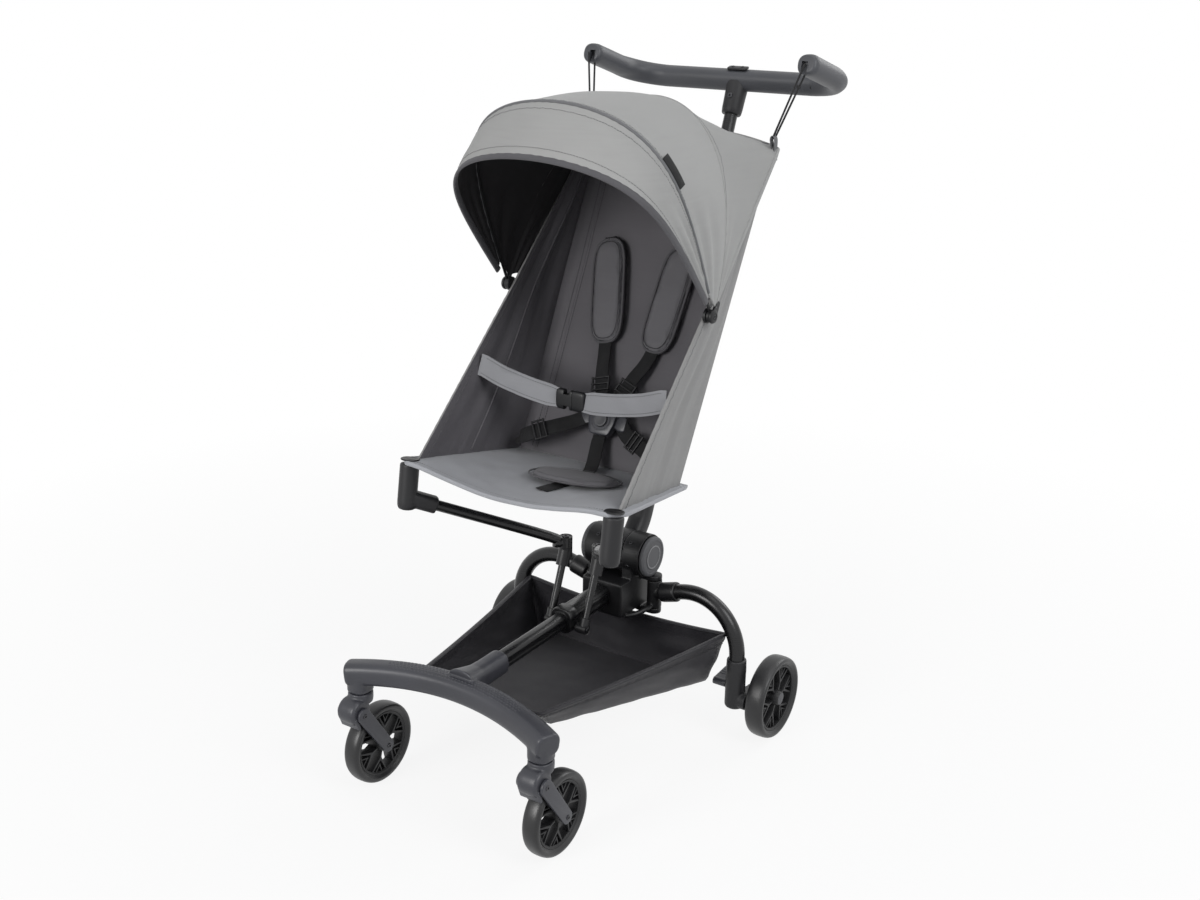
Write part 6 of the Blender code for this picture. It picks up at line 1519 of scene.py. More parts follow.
def sling_normals(column):
    """Which way the cloth's inner face looks, at each point of a column."""
    normals = []
    for r in range(ROWS + 1):
        du = rows[r][column + 1] - rows[r][column - 1]
        dv = rows[min(r + 1, ROWS)][column] - rows[max(r - 1, 0)][column]
        normals.append(du.cross(dv).normalized() * INWARD)
    return normals


INWARD = 1.0
if sling_normals(SIDE_STEPS + BACK_STEPS // 2)[10].dot(BACK_NORMAL) < 0:
    INWARD = -1.0
LAST = SIDE_STEPS * 2 + BACK_STEPS
pipes = []
for column, lift in ((SIDE_STEPS + 6, 0.0018), (SIDE_STEPS + 54, 0.0018), (14, 0.0016), (LAST - 14, 0.0016)):
    line = [p + n * lift for p, n in zip(sling_line(column), sling_normals(column))]
    pipes.append(sweep(smooth_path(line[1:-1:3], 3), round_section(0.0013, 10), BACK_NORMAL))
piping = piece("seat_seam_piping", pipes, LINING, None, sharp=0)
spots = []
for column in (2, LAST - 2):
    for way in (1.0, -1.0):
        normals = [n * way for n in sling_normals(column)]
        spots += stitch_spots(sling_line(column), normals, 0.0042, 0.0021)
hems = stamps("seat_side_stitches", spots, STITCH, THREAD, None)
spots = []
for column in (SIDE_STEPS + 5, SIDE_STEPS + 7, SIDE_STEPS + 53, SIDE_STEPS + 55):
    normals = sling_normals(column)
    lifts = [wall[column] / 2 + 0.0001 for wall in walls]
    line = [p + n * h for p, n, h in zip(sling_line(column), normals, lifts)]
    spots += stitch_spots(line[1:-1], normals[1:-1], 0.0042, 0.0)
back_stitches = stamps("seat_back_stitches", spots, STITCH, DARK_THREAD, None)
SLING_SOFT = [sling, piping, hems, back_stitches]
print("sling columns", LAST + 1, "inward", INWARD)

# %% [markdown]
# ## Canopy
#
# The canopy is one curved cloth in three gores: a visor in front of the bow, a front gore that
# folds like a bellows when the bow swings back, and a rear gore sewn to the seat. Piping runs
# along the bow, and a dark binding closes the rim. Each gore spans two arches, so it can bulge
# and pucker at its own seams, which one plain dome would not do.

# %% Arches and gores
RIM_ARCH = (math.radians(40.7), 0.287, 0.070, 0.68)
BOW_ARCH = (math.radians(25.3), 0.313, 0.047, 0.62)
SEAM_ARCH = (math.radians(-22.9), 0.300, 0.006, 0.95)
CANOPY_WALL = 0.0025
CANOPY_AT = Vector((0.0, PIVOT.y, PIVOT.z))
START_TURN = math.radians(2.0)
TURNS = [START_TURN + (math.pi - 2 * START_TURN) * k / 108 for k in range(109)]


def arch_point(turn, angle, height, spread, roundness, half=PIVOT.x):
    rise = height * max(math.sin(turn), 0.0) ** roundness
    x = math.cos(turn) * (half + spread * math.sin(turn) ** 2)
    return Vector((x, PIVOT.y - math.sin(angle) * rise, PIVOT.z + math.cos(angle) * rise))


def rear_edge(turn):
    """Where the canopy laps over the seat: up the side's edge, then over the top of the back."""
    reach = abs(math.cos(turn))
    sign = 1.0 if math.cos(turn) > 0 else -1.0
    climb = min((1 - reach) / 0.30, 1.0)
    lift = Vector((CANOPY_WALL / 2 + SIDE_CLOTH / 2 + 0.0022, 0.0050, -0.0060))
    if climb < 1.0:
        return mirrored(side_front(0.5 + 0.5 * (0.09 + 0.91 * climb)) + lift, sign)
    corner = side_front(1.0) + lift
    t = reach / 0.70
    bow = 1 - t * t
    return Vector((sign * corner.x * t, corner.y + 0.030 * bow, corner.z + 0.016 * bow))


def gore(start, end, count, bulge, seed, pucker_start, pucker_end):
    """Rows of cloth between two arches, crowned by bulge, with puckers beside its seams."""
    made_rows = []
    for r in range(count + 1):
        t = r / count
        middle = math.sin(math.pi * t)
        row = []
        for k, (a, b, turn) in enumerate(zip(start, end, TURNS)):
            point = a.lerp(b, t)
            arch = math.sin(turn)
            out = bulge * middle * arch
            span = (b - a).length
            for away, amount, beat, shift in ((t, pucker_start, 14, 0), (1 - t, pucker_end, 14.6, 5)):
                swing = wave(turn * beat + 0.3 * ripple(turn * 3, shift, seed))
                out += 0.0007 * amount * swing * bell(away * span - 0.009, 0.008)
            out += 0.0016 * ripple(turn * 2.2, t * 2.6, seed) * middle * arch
            out += 0.0022 * wave(t * 2.4 + turn * 0.7) * bell(arch - 0.25, 0.18) * middle
            row.append(point + (point - CANOPY_AT).normalized() * out)
        made_rows.append(row)
    return made_rows


def arch(shape, extra=0.0, lift=0.0, half=PIVOT.x):
    angle, height, spread, roundness = shape
    return [arch_point(t, angle + extra, height + lift, spread, roundness, half) for t in TURNS]


print("arch points:", len(TURNS))

# %% Canopy cloth
gap = 0.0006 / BOW_ARCH[1]
rim, seam, rear = arch(RIM_ARCH), arch(SEAM_ARCH), [rear_edge(t) for t in TURNS]
visor_rows = gore(rim, arch(BOW_ARCH, gap), 20, 0.003, 31.0, 0.6, 1.0)
front_rows = gore(arch(BOW_ARCH, -gap), seam, 30, 0.009, 33.0, 1.0, 0.8)
rear_rows = gore(seam, rear, 20, -0.003, 35.0, 0.8, 0.3)
SKINS = (0, 1, 0) if visor_rows[10][54].z < walled(visor_rows[9:12], 0.01)[0][109 + 54].z else (1, 0, 0)


def gore_piece(name, made_rows, body, stands_for):
    return piece(name, [walled(made_rows, CANOPY_WALL, *SKINS)], [CANOPY, SHADED_CANOPY_LINING], body, stands_for, sharp=60)


visor = gore_piece("canopy_visor_cloth", visor_rows, "canopy", "canopy_visor")
front_gore = gore_piece("canopy_front_gore", front_rows, None, "canopy_hood")
rear_gore = gore_piece("canopy_rear_gore", rear_rows, "pole", "canopy_hood")
print("canopy gores", len(visor_rows), len(front_rows), len(rear_rows))


# %% Canopy pipings and bindings
def outward(line, lift):
    return [p + (p - CANOPY_AT).normalized() * lift for p in line]


pipe = sweep(outward(arch(BOW_ARCH), 0.0009), round_section(0.0024, 14), REAR)
bow_piping = piece("canopy_bow_piping", [pipe], PIPING, "canopy", sharp=0)
rim_binding = piece("canopy_rim_binding", [sweep(rim, soft_section(0.0105, 0.0046, 2.6, 18),
                    (0.0, math.cos(RIM_ARCH[0]), math.sin(RIM_ARCH[0])))], PAD_BINDING, "canopy", sharp=0)
seam_piping = piece("canopy_seam_piping", [sweep(outward(seam, 0.0012), round_section(0.0012, 10), REAR)],
                    CANOPY, "pole", sharp=0)
rear_binding = piece("canopy_rear_binding", [sweep(rear, soft_section(0.0072, 0.0040, 2.6, 14), (0.0, 0.6, -0.8))],
                     CANOPY, "pole", sharp=0)
print("pipings done")


# %% Canopy stitches, tab and sheets
def gore_stitches(name, lines, body):
    spots = []
    for line in lines:
        faces = [(p - CANOPY_AT).normalized() for p in line[2:-2]]
        spots += stitch_spots(outward(line[2:-2], CANOPY_WALL / 2 + 0.0001), faces, 0.0044)
    return stamps(name, spots, STITCH, THREAD, body)


visor_stitches = gore_stitches("canopy_visor_stitches", [visor_rows[17], visor_rows[3]], "canopy")
front_stitches = gore_stitches("canopy_front_stitches", [front_rows[1]], None)
rear_stitches = gore_stitches("canopy_rear_stitches", [rear_rows[1]], "pole")
tab_line, tab_faces = [], []
for k in range(13):
    turn = 0.60 + (k / 12 - 0.5) * 0.22
    at, ahead_at = arch_point(turn, *BOW_ARCH), arch_point(turn + 0.02, *BOW_ARCH)
    lift_dir = (at - CANOPY_AT).normalized()
    back_dir = (ahead_at - at).normalized().cross(lift_dir).normalized()
    back_dir = back_dir if back_dir.y > 0 else -back_dir
    tab_line.append(at + lift_dir * 0.0031 + back_dir * 0.0085)
    tab_faces.append(lift_dir)
tab = piece("canopy_woven_tab", [strap(tab_line, 0.0135, 0.0011, tab_faces)], WEB, "canopy", sharp=40)
visor_area, front_area, rear_area = (round(cloth_area(r), 4) for r in (visor_rows, front_rows, rear_rows))
print("canopy areas", visor_area, front_area, rear_area)


def world(point):
    return (point.x, point.y + SHIFT, point.z)


for soft in (front_gore, front_stitches):
    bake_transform(soft)

# %% [markdown]
# ## Bow, eyes and pivot clips
#
# The bow is a flat sprung strip. Its eyes turn on round clips that stand on the seat's sides, so
# strip and eyes are one piece on the canopy's body, and the clips stay with the pole.

# %% Bow strip, clips and screws
strip_x = PIVOT.x - 0.0040
turns = [0.0, 0.012] + TURNS + [math.pi - 0.012, math.pi]
angle, height, spread, roundness = BOW_ARCH
line = [arch_point(t, angle, height - 0.0040, spread, roundness, strip_x) for t in turns]
for end, inner in ((0, 1), (-1, -2)):
    line[end] = line[end] + (line[inner] - line[end]).normalized() * 0.0055
strip = sweep(line, soft_section(0.0050, 0.0022, 3.6, 16), (0.0, math.cos(BOW_ARCH[0]), math.sin(BOW_ARCH[0])))
eyes = [turned(both_sides([(0.0034, 0.0023), (0.0083, 0.0023), (0.0090, 0.0016)]),
               (sign * strip_x, PIVOT.y, PIVOT.z), ACROSS, 48, True) for side, sign in SIDES]
piece("canopy_bow_strip", [strip, *eyes], BLACK_MOULD, "canopy", "canopy_bow", sharp=35)
for side, sign in SIDES:
    plate_in = 0.165 + SIDE_CLOTH / 2 + 2 * TOUCH
    plate_out = strip_x - 0.0023 - TOUCH
    cap_in = strip_x + 0.0023 + TOUCH
    profile = [(0.0095, plate_in), (0.0105, plate_in + 0.0008), (0.0105, plate_out), (0.0031, plate_out)]
    profile += [(r, cap_in + h) for r, h in (
        (0.0031, 0.0), (0.0095, 0.0), (0.0100, 0.0008), (0.0100, 0.0026), (0.0092, 0.0040), (0.0078, 0.0047),
        (0.0050, 0.0048), (0.0046, 0.0038), (0.0010, 0.0036))]
    clip = turned(profile, CANOPY_AT, ACROSS * sign, 56)
    near, far = (PIVOT.y + 0.004, PIVOT.z + 0.006), (PIVOT.y + 0.0105, PIVOT.z + 0.0155)
    hook = prism(capsule(near, far, 0.0062, 0.0042, 12),
                 *sorted((sign * (cap_in + 0.0004), sign * (cap_in + 0.0036))), "x")
    piece(f"canopy_pivot_clip_{side}", [clip, hook], BLACK_MOULD, "pole", f"canopy_clip_{side}", sharp=32)
    at = CANOPY_AT + ACROSS * sign * (cap_in + 0.0038)
    fasten(f"canopy_clip_screw_{side}", [screw(at, ACROSS * sign, 0.0036, 0.0010)], "pole")
print("canopy done")

# %% [markdown]
# ## Harness
#
# Two foam pads, black ribbed tape, and a five-point buckle with a round button. A pad could be a
# rounded box, but it would look hard. A short cloth simulation swells it instead, which gives it
# its crown and its small creases.


# %% Swelling a pad
def pad_outline(centre, along, normal, length, width, thickness, tip, cheek=1.0, sides=64, rings=5):
    """A flat pad before it is swelled. Tip and cheek round its ends and its long sides."""
    side = along.cross(normal).normalized()
    verts, levels = [], []
    for k in range(rings + 1):
        a = math.pi / 2 * k / rings
        levels.append((1 - 0.10 * (1 - math.cos(a)) - 0.55 * (k / rings) ** 3 * 0.9, math.sin(a) * 0.5))
    profile = [(s, -h) for s, h in reversed(levels[1:])] + levels
    for scale, height in profile:
        for a in circle(sides):
            u = power(math.cos(a), tip) * length / 2
            v = power(math.sin(a), cheek) * width / 2
            u -= math.copysign(min((1 - scale) * width / 2, abs(u)), u)
            verts.append(centre + along * u + side * v * scale + normal * height * thickness)
    return verts, skin(len(profile), sides)


def stuff(made, along, side, cap, voxel):
    """Swells a pad by cloth pressure, then charts its weave by its length and width."""
    centre_at = sum((v.co for v in made.data.vertices), Vector()) / len(made.data.vertices)
    add_step(made, "REMESH", mode="VOXEL", voxel_size=voxel)
    apply_steps(made)
    before = [v.co.copy() for v in made.data.vertices]
    cloth = made.modifiers.new("swell", "CLOTH").settings
    cloth.use_pressure = True
    cloth.uniform_pressure_force = 4.0
    cloth.quality = 6
    cloth.mass = 0.2
    cloth.tension_stiffness = cloth.compression_stiffness = 30
    cloth.effector_weights.gravity = 0.0
    scene = bpy.context.scene
    for number in range(1, 21):
        scene.frame_set(number)
    apply_steps(made)
    scene.frame_set(1)
    for vertex, start in zip(made.data.vertices, before):
        moved = vertex.co - start
        if moved.length > cap:
            vertex.co = start + moved.normalized() * cap
    add_step(made, "SUBSURF", levels=1, render_levels=1)
    apply_steps(made)
    layer = made.data.uv_layers.get("cloth") or made.data.uv_layers.new(name="cloth")
    for loop in made.data.loops:
        offset = made.data.vertices[loop.vertex_index].co - centre_at
        layer.data[loop.index].uv = (offset.dot(side), offset.dot(along))
    made.data.shade_smooth()


def pad(name, solid, along, across, cap, voxel, body, stands_for):
    """A stuffed pad on its body, in place of its CAD node."""
    made = loose(name, [solid], PAD_CLOTH)
    stuff(made, along, across, cap, voxel)
    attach(made, body)
    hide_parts(stands_for)
    return made


print("pad maker ready")


# %% Back points, loops and ladders
def back_point(x, z, out=0.0):
    """A point in front of the seat's back, at this width and height."""
    low, top = back_corner(0.0), back_corner(1.0)
    share = (z - low.z) / (top.z - low.z)
    spot = low.lerp(top, share)
    crown = 0.010 * math.sin(min(max(share, 0.0), 1.0) * math.pi) * (1 - (x / spot.x) ** 2)
    return Vector((x, spot.y, z)) + BACK_NORMAL * (out - crown)


def rounded_loop(centre_at, along, side, length, width, tip, cheek=1.0, count=96):
    """The pad's outline as a closed line, for its binding and its stitches."""
    return [centre_at + along * power(math.cos(a), tip) * length / 2 + side * power(math.sin(a), cheek) * width / 2
            for a in circle(count) + [2 * math.pi]]


def adjuster(at, run, step, reach, bar_size, rail_size):
    """A ladder for a tape: three bars across it, and two rails along it."""
    facing = square(BACK_NORMAL, run)
    cross = run.cross(facing)
    bars = [((at + run * d - cross * 0.0150, at + run * d + cross * 0.0150), bar_size) for d in (-step, 0.0, step)]
    rails = [((at - run * reach + cross * c, at + run * reach + cross * c), rail_size) for c in (-0.0135, 0.0135)]
    return [sweep(ends, soft_section(*size, 2.6, 14), facing) for ends, size in bars + rails]


print("ladder maker ready")

# %% Shoulder pads and tapes
BUCKLE = Vector((0.003, -0.120, 0.494))
PAD_X = {"left": (0.056, 0.047), "right": (-0.076, -0.036)}
PAD_Z, PAD_RISE, PAD_TIP, PAD_CHEEK = 0.662, 0.0825 * UP_BACK.z, 0.42, 0.72
for side, sign in SIDES:
    top_x, low_x = PAD_X[side]
    top = back_point(top_x, PAD_Z + PAD_RISE, BACK_PAD / 2 + 0.0100)
    low = back_point(low_x, PAD_Z - PAD_RISE, BACK_PAD / 2 + 0.0100)
    along = (top - low).normalized()
    across = along.cross(BACK_NORMAL).normalized()
    middle = (top + low) / 2
    solid = pad_outline(middle, along, BACK_NORMAL, 0.163, 0.056, 0.0085, PAD_TIP, PAD_CHEEK)
    pad(f"shoulder_pad_{side}", solid, along, across, 0.0022, 0.0040, "pole", f"shoulder_strap_{side}")
    edge = rounded_loop(middle, along, across, 0.1605, 0.0535, PAD_TIP, PAD_CHEEK)
    piece(f"shoulder_pad_binding_{side}", [sweep(edge, soft_section(0.0056, 0.0042, 2.6, 16), BACK_NORMAL)],
          PAD_BINDING, "pole", sharp=0)
    edge = rounded_loop(middle + BACK_NORMAL * 0.0056, along, across, 0.150, 0.044, PAD_TIP, PAD_CHEEK)
    stamps(f"shoulder_pad_stitches_{side}", stitch_spots(edge, BACK_NORMAL, 0.0040), STITCH, DARK_THREAD, "pole",
           1.25)
    enter = BUCKLE + ACROSS * sign * 0.0125 + UP_BACK * (0.022 + TOUCH * 2)
    points = [back_point(top_x, PAD_Z + PAD_RISE - 0.006, BACK_PAD / 2 + 0.0030), top - along * 0.018,
              low + along * 0.010, low.lerp(enter, 0.5) + BACK_NORMAL * 0.003, enter + UP_BACK * 0.010]
    web_line = smooth_path(points, 10)[:-1]
    web_line += bezier(points[-1], enter + UP_BACK * 0.006, enter + UP_BACK * 0.003, enter, 4)
    web = piece(f"shoulder_web_{side}", [strap(web_line, 0.021, 0.0022, BACK_NORMAL)], WEB, None,
                f"shoulder_strap_{side}", sharp=40)
    bars = adjuster(low.lerp(enter, 0.66) + BACK_NORMAL * 0.0045, (enter - low).normalized(), 0.0095, 0.0110,
                    (0.0040, 0.0030), (0.0036, 0.0034))
    keeper = piece(f"shoulder_adjuster_{side}", bars, BLACK_MOULD, None, sharp=35)
    for soft in (web, keeper):
        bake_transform(soft)
print("pads done")

# %% [markdown]
# ## Five-point buckle, hip tapes and crotch pad
#
# The buckle is a tapered shield with a round button. Tapes run from it to the seat's sides, and
# a padded oval hides where the crotch tape comes through the base. The shield is a stack of one
# outline drawn in at its edges, which rounds it without a bevel.

# %% Buckle shield and button
half_w, half_h = 0.023, 0.022


def buckle_outline():
    corners = [(-half_w, half_h), (-half_w, -half_h * 0.1), (-half_w * 0.72, -half_h), (half_w * 0.72, -half_h),
               (half_w, -half_h * 0.1), (half_w, half_h)]
    points = []
    for k, here in enumerate(corners):
        before, after = Vector(corners[k - 1]), Vector(corners[(k + 1) % 6])
        at_corner = Vector(here)
        radius = min(0.006, (before - at_corner).length * 0.4, (after - at_corner).length * 0.4)
        a = at_corner + (before - at_corner).normalized() * radius
        b = at_corner + (after - at_corner).normalized() * radius
        for j in range(7):
            t = j / 6
            points.append(a * (1 - t) ** 2 + at_corner * 2 * t * (1 - t) + b * t * t)
    return points


def buckle_plate(levels):
    """Stacks the buckle's outline at (depth, shrink) levels."""
    outline = buckle_outline()
    verts = []
    for depth, shrink in levels:
        for p in outline:
            q = p * (1 - shrink / p.length)
            verts.append(BUCKLE + ACROSS * q.x + UP_BACK * q.y + BACK_NORMAL * depth)
    return verts, skin(len(levels), len(outline))


face = BUCKLE + BACK_NORMAL * 0.007
well = turned([(0.0111, -0.0042), (0.0111, 0.010)], face, BACK_NORMAL, 48)
groove = turned([(0.0148, -0.0006), (0.0148, 0.002), (0.0158, 0.002), (0.0158, -0.0006)], face, BACK_NORMAL, 48, True)
body_shell = buckle_plate([(-0.007, 0.0020), (-0.0064, 0.0006), (-0.0052, 0.0), (0.0050, 0.0), (0.0063, 0.0008),
                           (0.0070, 0.0026)])
piece("harness_buckle_shell", [body_shell], GREY_MOULD, "harness", "harness_buckle",
      cuts=[well, groove], sharp=35)
button = turned([(0.0098, -0.0012), (0.0105, 0.0), (0.0105, 0.0018), (0.0098, 0.0027), (0.0080, 0.0030),
                 (0.0060, 0.0024), (0.0010, 0.0020)], face, BACK_NORMAL, 48)
piece("harness_button", [button], CAP, "buckle_button", "buckle_button")

print("buckle points:", len(body_shell[0]))

# %% Hip tapes
# The right tape lies further forward, because it is looser.
HIP_ROUTES = {
    "left": [BUCKLE + Vector((0.046, -0.006, -0.014)), Vector((0.078, -0.134, 0.4700)),
             Vector((0.105, -0.138, 0.4580)), Vector((0.122, -0.139, 0.4520))],
    "right": [BUCKLE + Vector((-0.048, -0.014, -0.008)), Vector((-0.078, -0.168, 0.4765)),
              Vector((-0.104, -0.176, 0.4640)), Vector((-0.121, -0.160, 0.4560)), Vector((-0.126, -0.143, 0.4520))],
}
for side, sign in SIDES:
    out = ACROSS * sign
    route = HIP_ROUTES[side]
    neck = BUCKLE + out * (half_w + 0.0015)
    line = smooth_path([neck + out * 0.007] + route, 8)
    hip_tape = piece(f"hip_tape_{side}", [strap(line, 0.022, 0.0022, BACK_NORMAL)], WEB, None, f"hip_strap_{side}",
                     sharp=40)
    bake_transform(hip_tape)
    tongue = sweep([BUCKLE + out * (half_w - 0.014)] + [neck + out * d for d in (0.0, 0.003, 0.013, 0.015)],
                   soft_section(0.017, 0.0040, 3.4, 24), UP_BACK, [1.0, 1.0, 1.28, 1.34, 1.1])
    piece(f"hip_tongue_plug_{side}", [tongue], GREY_MOULD, f"hip_{side}", sharp=35)
    if side == "right":
        at, run = route[1], (route[2] - route[0]).normalized()
    else:
        at, run = route[1].lerp(route[0], 0.45), (route[1] - route[0]).normalized()
    bars = adjuster(at + square(BACK_NORMAL, run) * 0.0022, run, 0.0085, 0.0100, (0.0036, 0.0028), (0.0032, 0.0032))
    piece(f"hip_adjuster_{side}", bars, BLACK_MOULD, f"hip_{side}", sharp=35)
print("hip tapes done")

# %% Crotch pad and tape
pad_at = base_point(0.034, 0.112, 0.00425 + 0.0100)
along = Vector((1.0, 0.16, 0.0)).normalized()
across = along.cross(BASE_UP).normalized()
solid = pad_outline(pad_at, along, BASE_UP, 0.136, 0.082, 0.0065, 0.85)
crotch_pad = pad("crotch_pad_cloth", solid, along, across, 0.0020, 0.0038, "harness", "crotch_pad")
edge = rounded_loop(pad_at, along, across, 0.1385, 0.0845, 0.85)
trim = piece("crotch_pad_piping", [sweep(edge, round_section(0.0014, 12), BASE_UP)], PAD_BINDING, "harness", sharp=0)
edge = rounded_loop(pad_at + BASE_UP * 0.0046, along, across, 0.119, 0.066, 0.85, 1.0, 72)
sewn = stamps("crotch_pad_stitches", stitch_spots(edge, BASE_UP, 0.0040), STITCH, THREAD, "harness")
lift = 0.00425 + 0.0022
end = BUCKLE - UP_BACK * (half_h + TOUCH * 2)
points = [base_point(0.022, 0.050, lift), base_point(0.024, 0.085, lift), base_point(0.024, 0.130, lift),
          base_point(0.020, 0.165, lift + 0.002), base_point(0.012, 0.188, lift + 0.008), end - UP_BACK * 0.008]
crotch_line = smooth_path(points, 8)[:-1]
crotch_line += bezier(points[-1], points[-1] + UP_BACK * 0.003, end - UP_BACK * 0.002, end, 4)
tape = piece("crotch_tape", [strap(crotch_line, 0.021, 0.0018, (0.0, -0.5, 1.0))], WEB, "harness", "crotch_strap",
             sharp=40)
CROTCH_SOFT = [crotch_pad, trim, sewn, tape]
print("harness done")

# %% [markdown]
# ## Waist band and its side-release clip
#
# A grey band of cloth crosses the seat from side to side, and closes with a black clip. The
# clip's windows are cut with booleans, because its prongs have to show through them; a dark patch
# would do from afar, but not from near by.

# %% The clip
BAND_Y, BAND_Z = -0.190, 0.540
meet = -0.002
clip_section = soft_section(0.0108, 0.0298, 4.0, 40)
socket = sweep([Vector((x, BAND_Y, BAND_Z)) for x in (-0.030, -0.0292, -0.027, meet - 0.0015, meet - 0.0003)],
               clip_section, REAR, [0.80, 0.93, 1.0, 1.0, 0.97])
room = box((meet - 0.019, BAND_Y - 0.0027, BAND_Z - 0.0095), (meet + 0.01, BAND_Y + 0.0027, BAND_Z + 0.0095))
windows = [prism([(meet - 0.0150, low), (meet - 0.0045, low), (meet - 0.0045, high), (meet - 0.0150, high)],
                 BAND_Y - 0.02, BAND_Y + 0.02, "y")
           for low, high in ((BAND_Z - 0.02, BAND_Z - 0.0085), (BAND_Z + 0.0085, BAND_Z + 0.02))]
clip_socket = piece("waist_clip_socket", [socket], BLACK_MOULD, "pole", "waist_strap_right", cuts=[room, *windows],
                    bevel=0.0003, segments=2, sharp=35)
plug = sweep([Vector((meet + x, BAND_Y, BAND_Z)) for x in (0.0003, 0.002, 0.016, 0.019, 0.020)],
             clip_section, REAR, [0.96, 1.0, 1.0, 0.93, 0.82])
prong = [(0.004, 0.0085), (-0.010, 0.0088), (-0.0170, 0.0062), (-0.0175, 0.0030), (-0.006, 0.0035)]
prongs = prism([(meet + x, BAND_Z + z) for x, z in prong] + [(meet + x, BAND_Z - z) for x, z in reversed(prong)],
               BAND_Y - 0.0021, BAND_Y + 0.0021, "y")
piece("waist_clip_plug", [plug, prongs], BLACK_MOULD, "waist_tongue", "waist_strap_left", sharp=35)
print("clip meets at", meet)

# %% The two halves of the band
WAIST_SOFT = [clip_socket]
BAND_FRONT = Vector((0.0, -1.0, 0.25))
wall = SIDE_CLOTH / 2 + 0.0042
edge_at = side_front(0.265).lerp(back_corner(0.265), 0.1)
for side, sign, start_x, body in (("right", -1.0, -0.026, "pole"), ("left", 1.0, meet + 0.016, None)):
    end = Vector((sign * (edge_at.x - wall), edge_at.y, edge_at.z))
    close = Vector((end.x - sign * 0.008, end.y, end.z - 0.001))
    start = Vector((start_x, BAND_Y, BAND_Z))
    points = [start, start.lerp(end, 0.35) - UP * 0.004, start.lerp(end, 0.7) - UP * 0.004, close]
    line = smooth_path(points, 12) + [end]
    made_rows = []
    for k, point in enumerate(line):
        forward = heading(line, k)
        normal = square(BAND_FRONT, forward)
        side_dir = forward.cross(normal)
        t = k / (len(line) - 1)
        width = 0.0262 + 0.0055 * min(1.0, t / 0.12)
        row = []
        for j in range(17):
            v = -1 + j / 8
            curl = 0.0009 * ripple(t * 7, v * 1.2, 41.0 + sign) * math.sin(math.pi * min(t * 1.05, 1.0))
            row.append(point + side_dir * (v * width / 2) + normal * curl)
        made_rows.append(row)
    thick = [[0.0022 + (0.0008 if abs(-1 + j / 8) > 0.84 else 0.0) for j in range(17)] for _ in made_rows]
    band = piece(f"waist_band_{side}", [walled(made_rows, thick)], WAIST_CLOTH, body, f"waist_strap_{side}", sharp=60)
    spots = []
    for j in (2, 14):
        for face in (BAND_FRONT, -BAND_FRONT):
            spots += stitch_spots([r[j] for r in made_rows[1:-1]], face, 0.0042, 0.0014)
    band_stitches = stamps(f"waist_band_stitches_{side}", spots, STITCH, THREAD, body)
    if body:
        WAIST_SOFT += [band, band_stitches]
    else:
        for soft in (band, band_stitches):
            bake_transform(soft)
    round(path_length(line), 3)
    round(cloth_area(made_rows), 5)
    print("waist band", side, round(path_length(line), 3), "m")

# %% [markdown]
# ## Basket
#
# An open bag hangs under the seat: a taut floor, sloping walls that sag between their corners,
# and a wide hem round the mouth. One square grid bends into all of it, so it has no gaps: its
# middle is the floor, and its outer rings climb the walls.

# %% Basket cloth
def leg_inner_x(z):
    """How far out the basket may reach at this height before it meets the leg tube."""
    points = leg_path()
    for (x0, z0), (x1, z1) in zip(points[2:], points[3:]):
        if z1 <= z <= z0:
            return x0 + (x1 - x0) * (z0 - z) / (z0 - z1) - 0.012 * 1.06
    return FOOT_X - 0.012


REAR_HALF = leg_inner_x(0.170) - 0.0016
KNEE = 0.7


def basket_point(u, v):
    """A point of the basket. Both shares run from -1 to 1 across the square grid."""
    reach = max(abs(u), abs(v))
    fu, fv = (u, v) if reach <= KNEE else (u * KNEE / reach, v * KNEE / reach)
    t = (fv / KNEE + 1) / 2
    half = 0.095 * (1 - t) + 0.160 * t
    floor_at = Vector((fu / KNEE * half, -0.375 * (1 - t) - 0.056 * t, 0.138 * (1 - t) + 0.089 * t))
    floor_at.z -= 0.0035 * (1 - (fu / KNEE) ** 2) * (1 + 0.5 * math.sin(9.0 * t))
    if reach <= KNEE:
        floor_at.z += 0.0008 * ripple(fu * 5, fv * 7, 51.0)
        return floor_at
    top_u, top_v = u / reach, v / reach
    s = (top_v + 1) / 2
    half = 0.105 * (1 - s) + REAR_HALF * s
    rim_at = Vector((top_u * half, -0.410 * (1 - s) - 0.046 * s, 0.172 * (1 - s) + 0.170 * s))
    hang = 0.010 if abs(top_v) > abs(top_u) else 0.004
    rim_at.z -= hang * (1 - min(abs(top_u), abs(top_v)) ** 2)
    w = (reach - KNEE) / (1 - KNEE)
    point = floor_at.lerp(rim_at, w)
    corner = 1 - min(abs(top_u), abs(top_v)) ** 4
    sag = math.sin(math.pi * w) * corner
    steep = abs(top_v) > abs(top_u)
    out = Vector((0.0 if steep else top_u, top_v if steep else 0.0, -0.4)).normalized()
    slack = 0.0026 * sag + 0.0016 * ripple(top_u * 4 + top_v * 3, w * 3 + top_v * 2, 53.0) * math.sin(math.pi * w)
    pucker = 0.0006 * wave((top_u + top_v) * 9) * bell(w - 0.86, 0.07)
    return point + out * (slack + pucker)


GRID = 72
marks_at = [-1 + 2 * k / GRID for k in range(GRID + 1)]
rows = [[basket_point(u, v) for u in marks_at] for v in marks_at]
walls = [[0.0042 if max(abs(u), abs(v)) > 0.955 else 0.0026 for u in marks_at] for v in marks_at]
basket = piece("basket_cloth", [walled(rows, walls)], BASKET_CLOTH, "chassis", "basket", sharp=60)
basket_area = round(cloth_area(rows), 4)
print("basket area", basket_area)


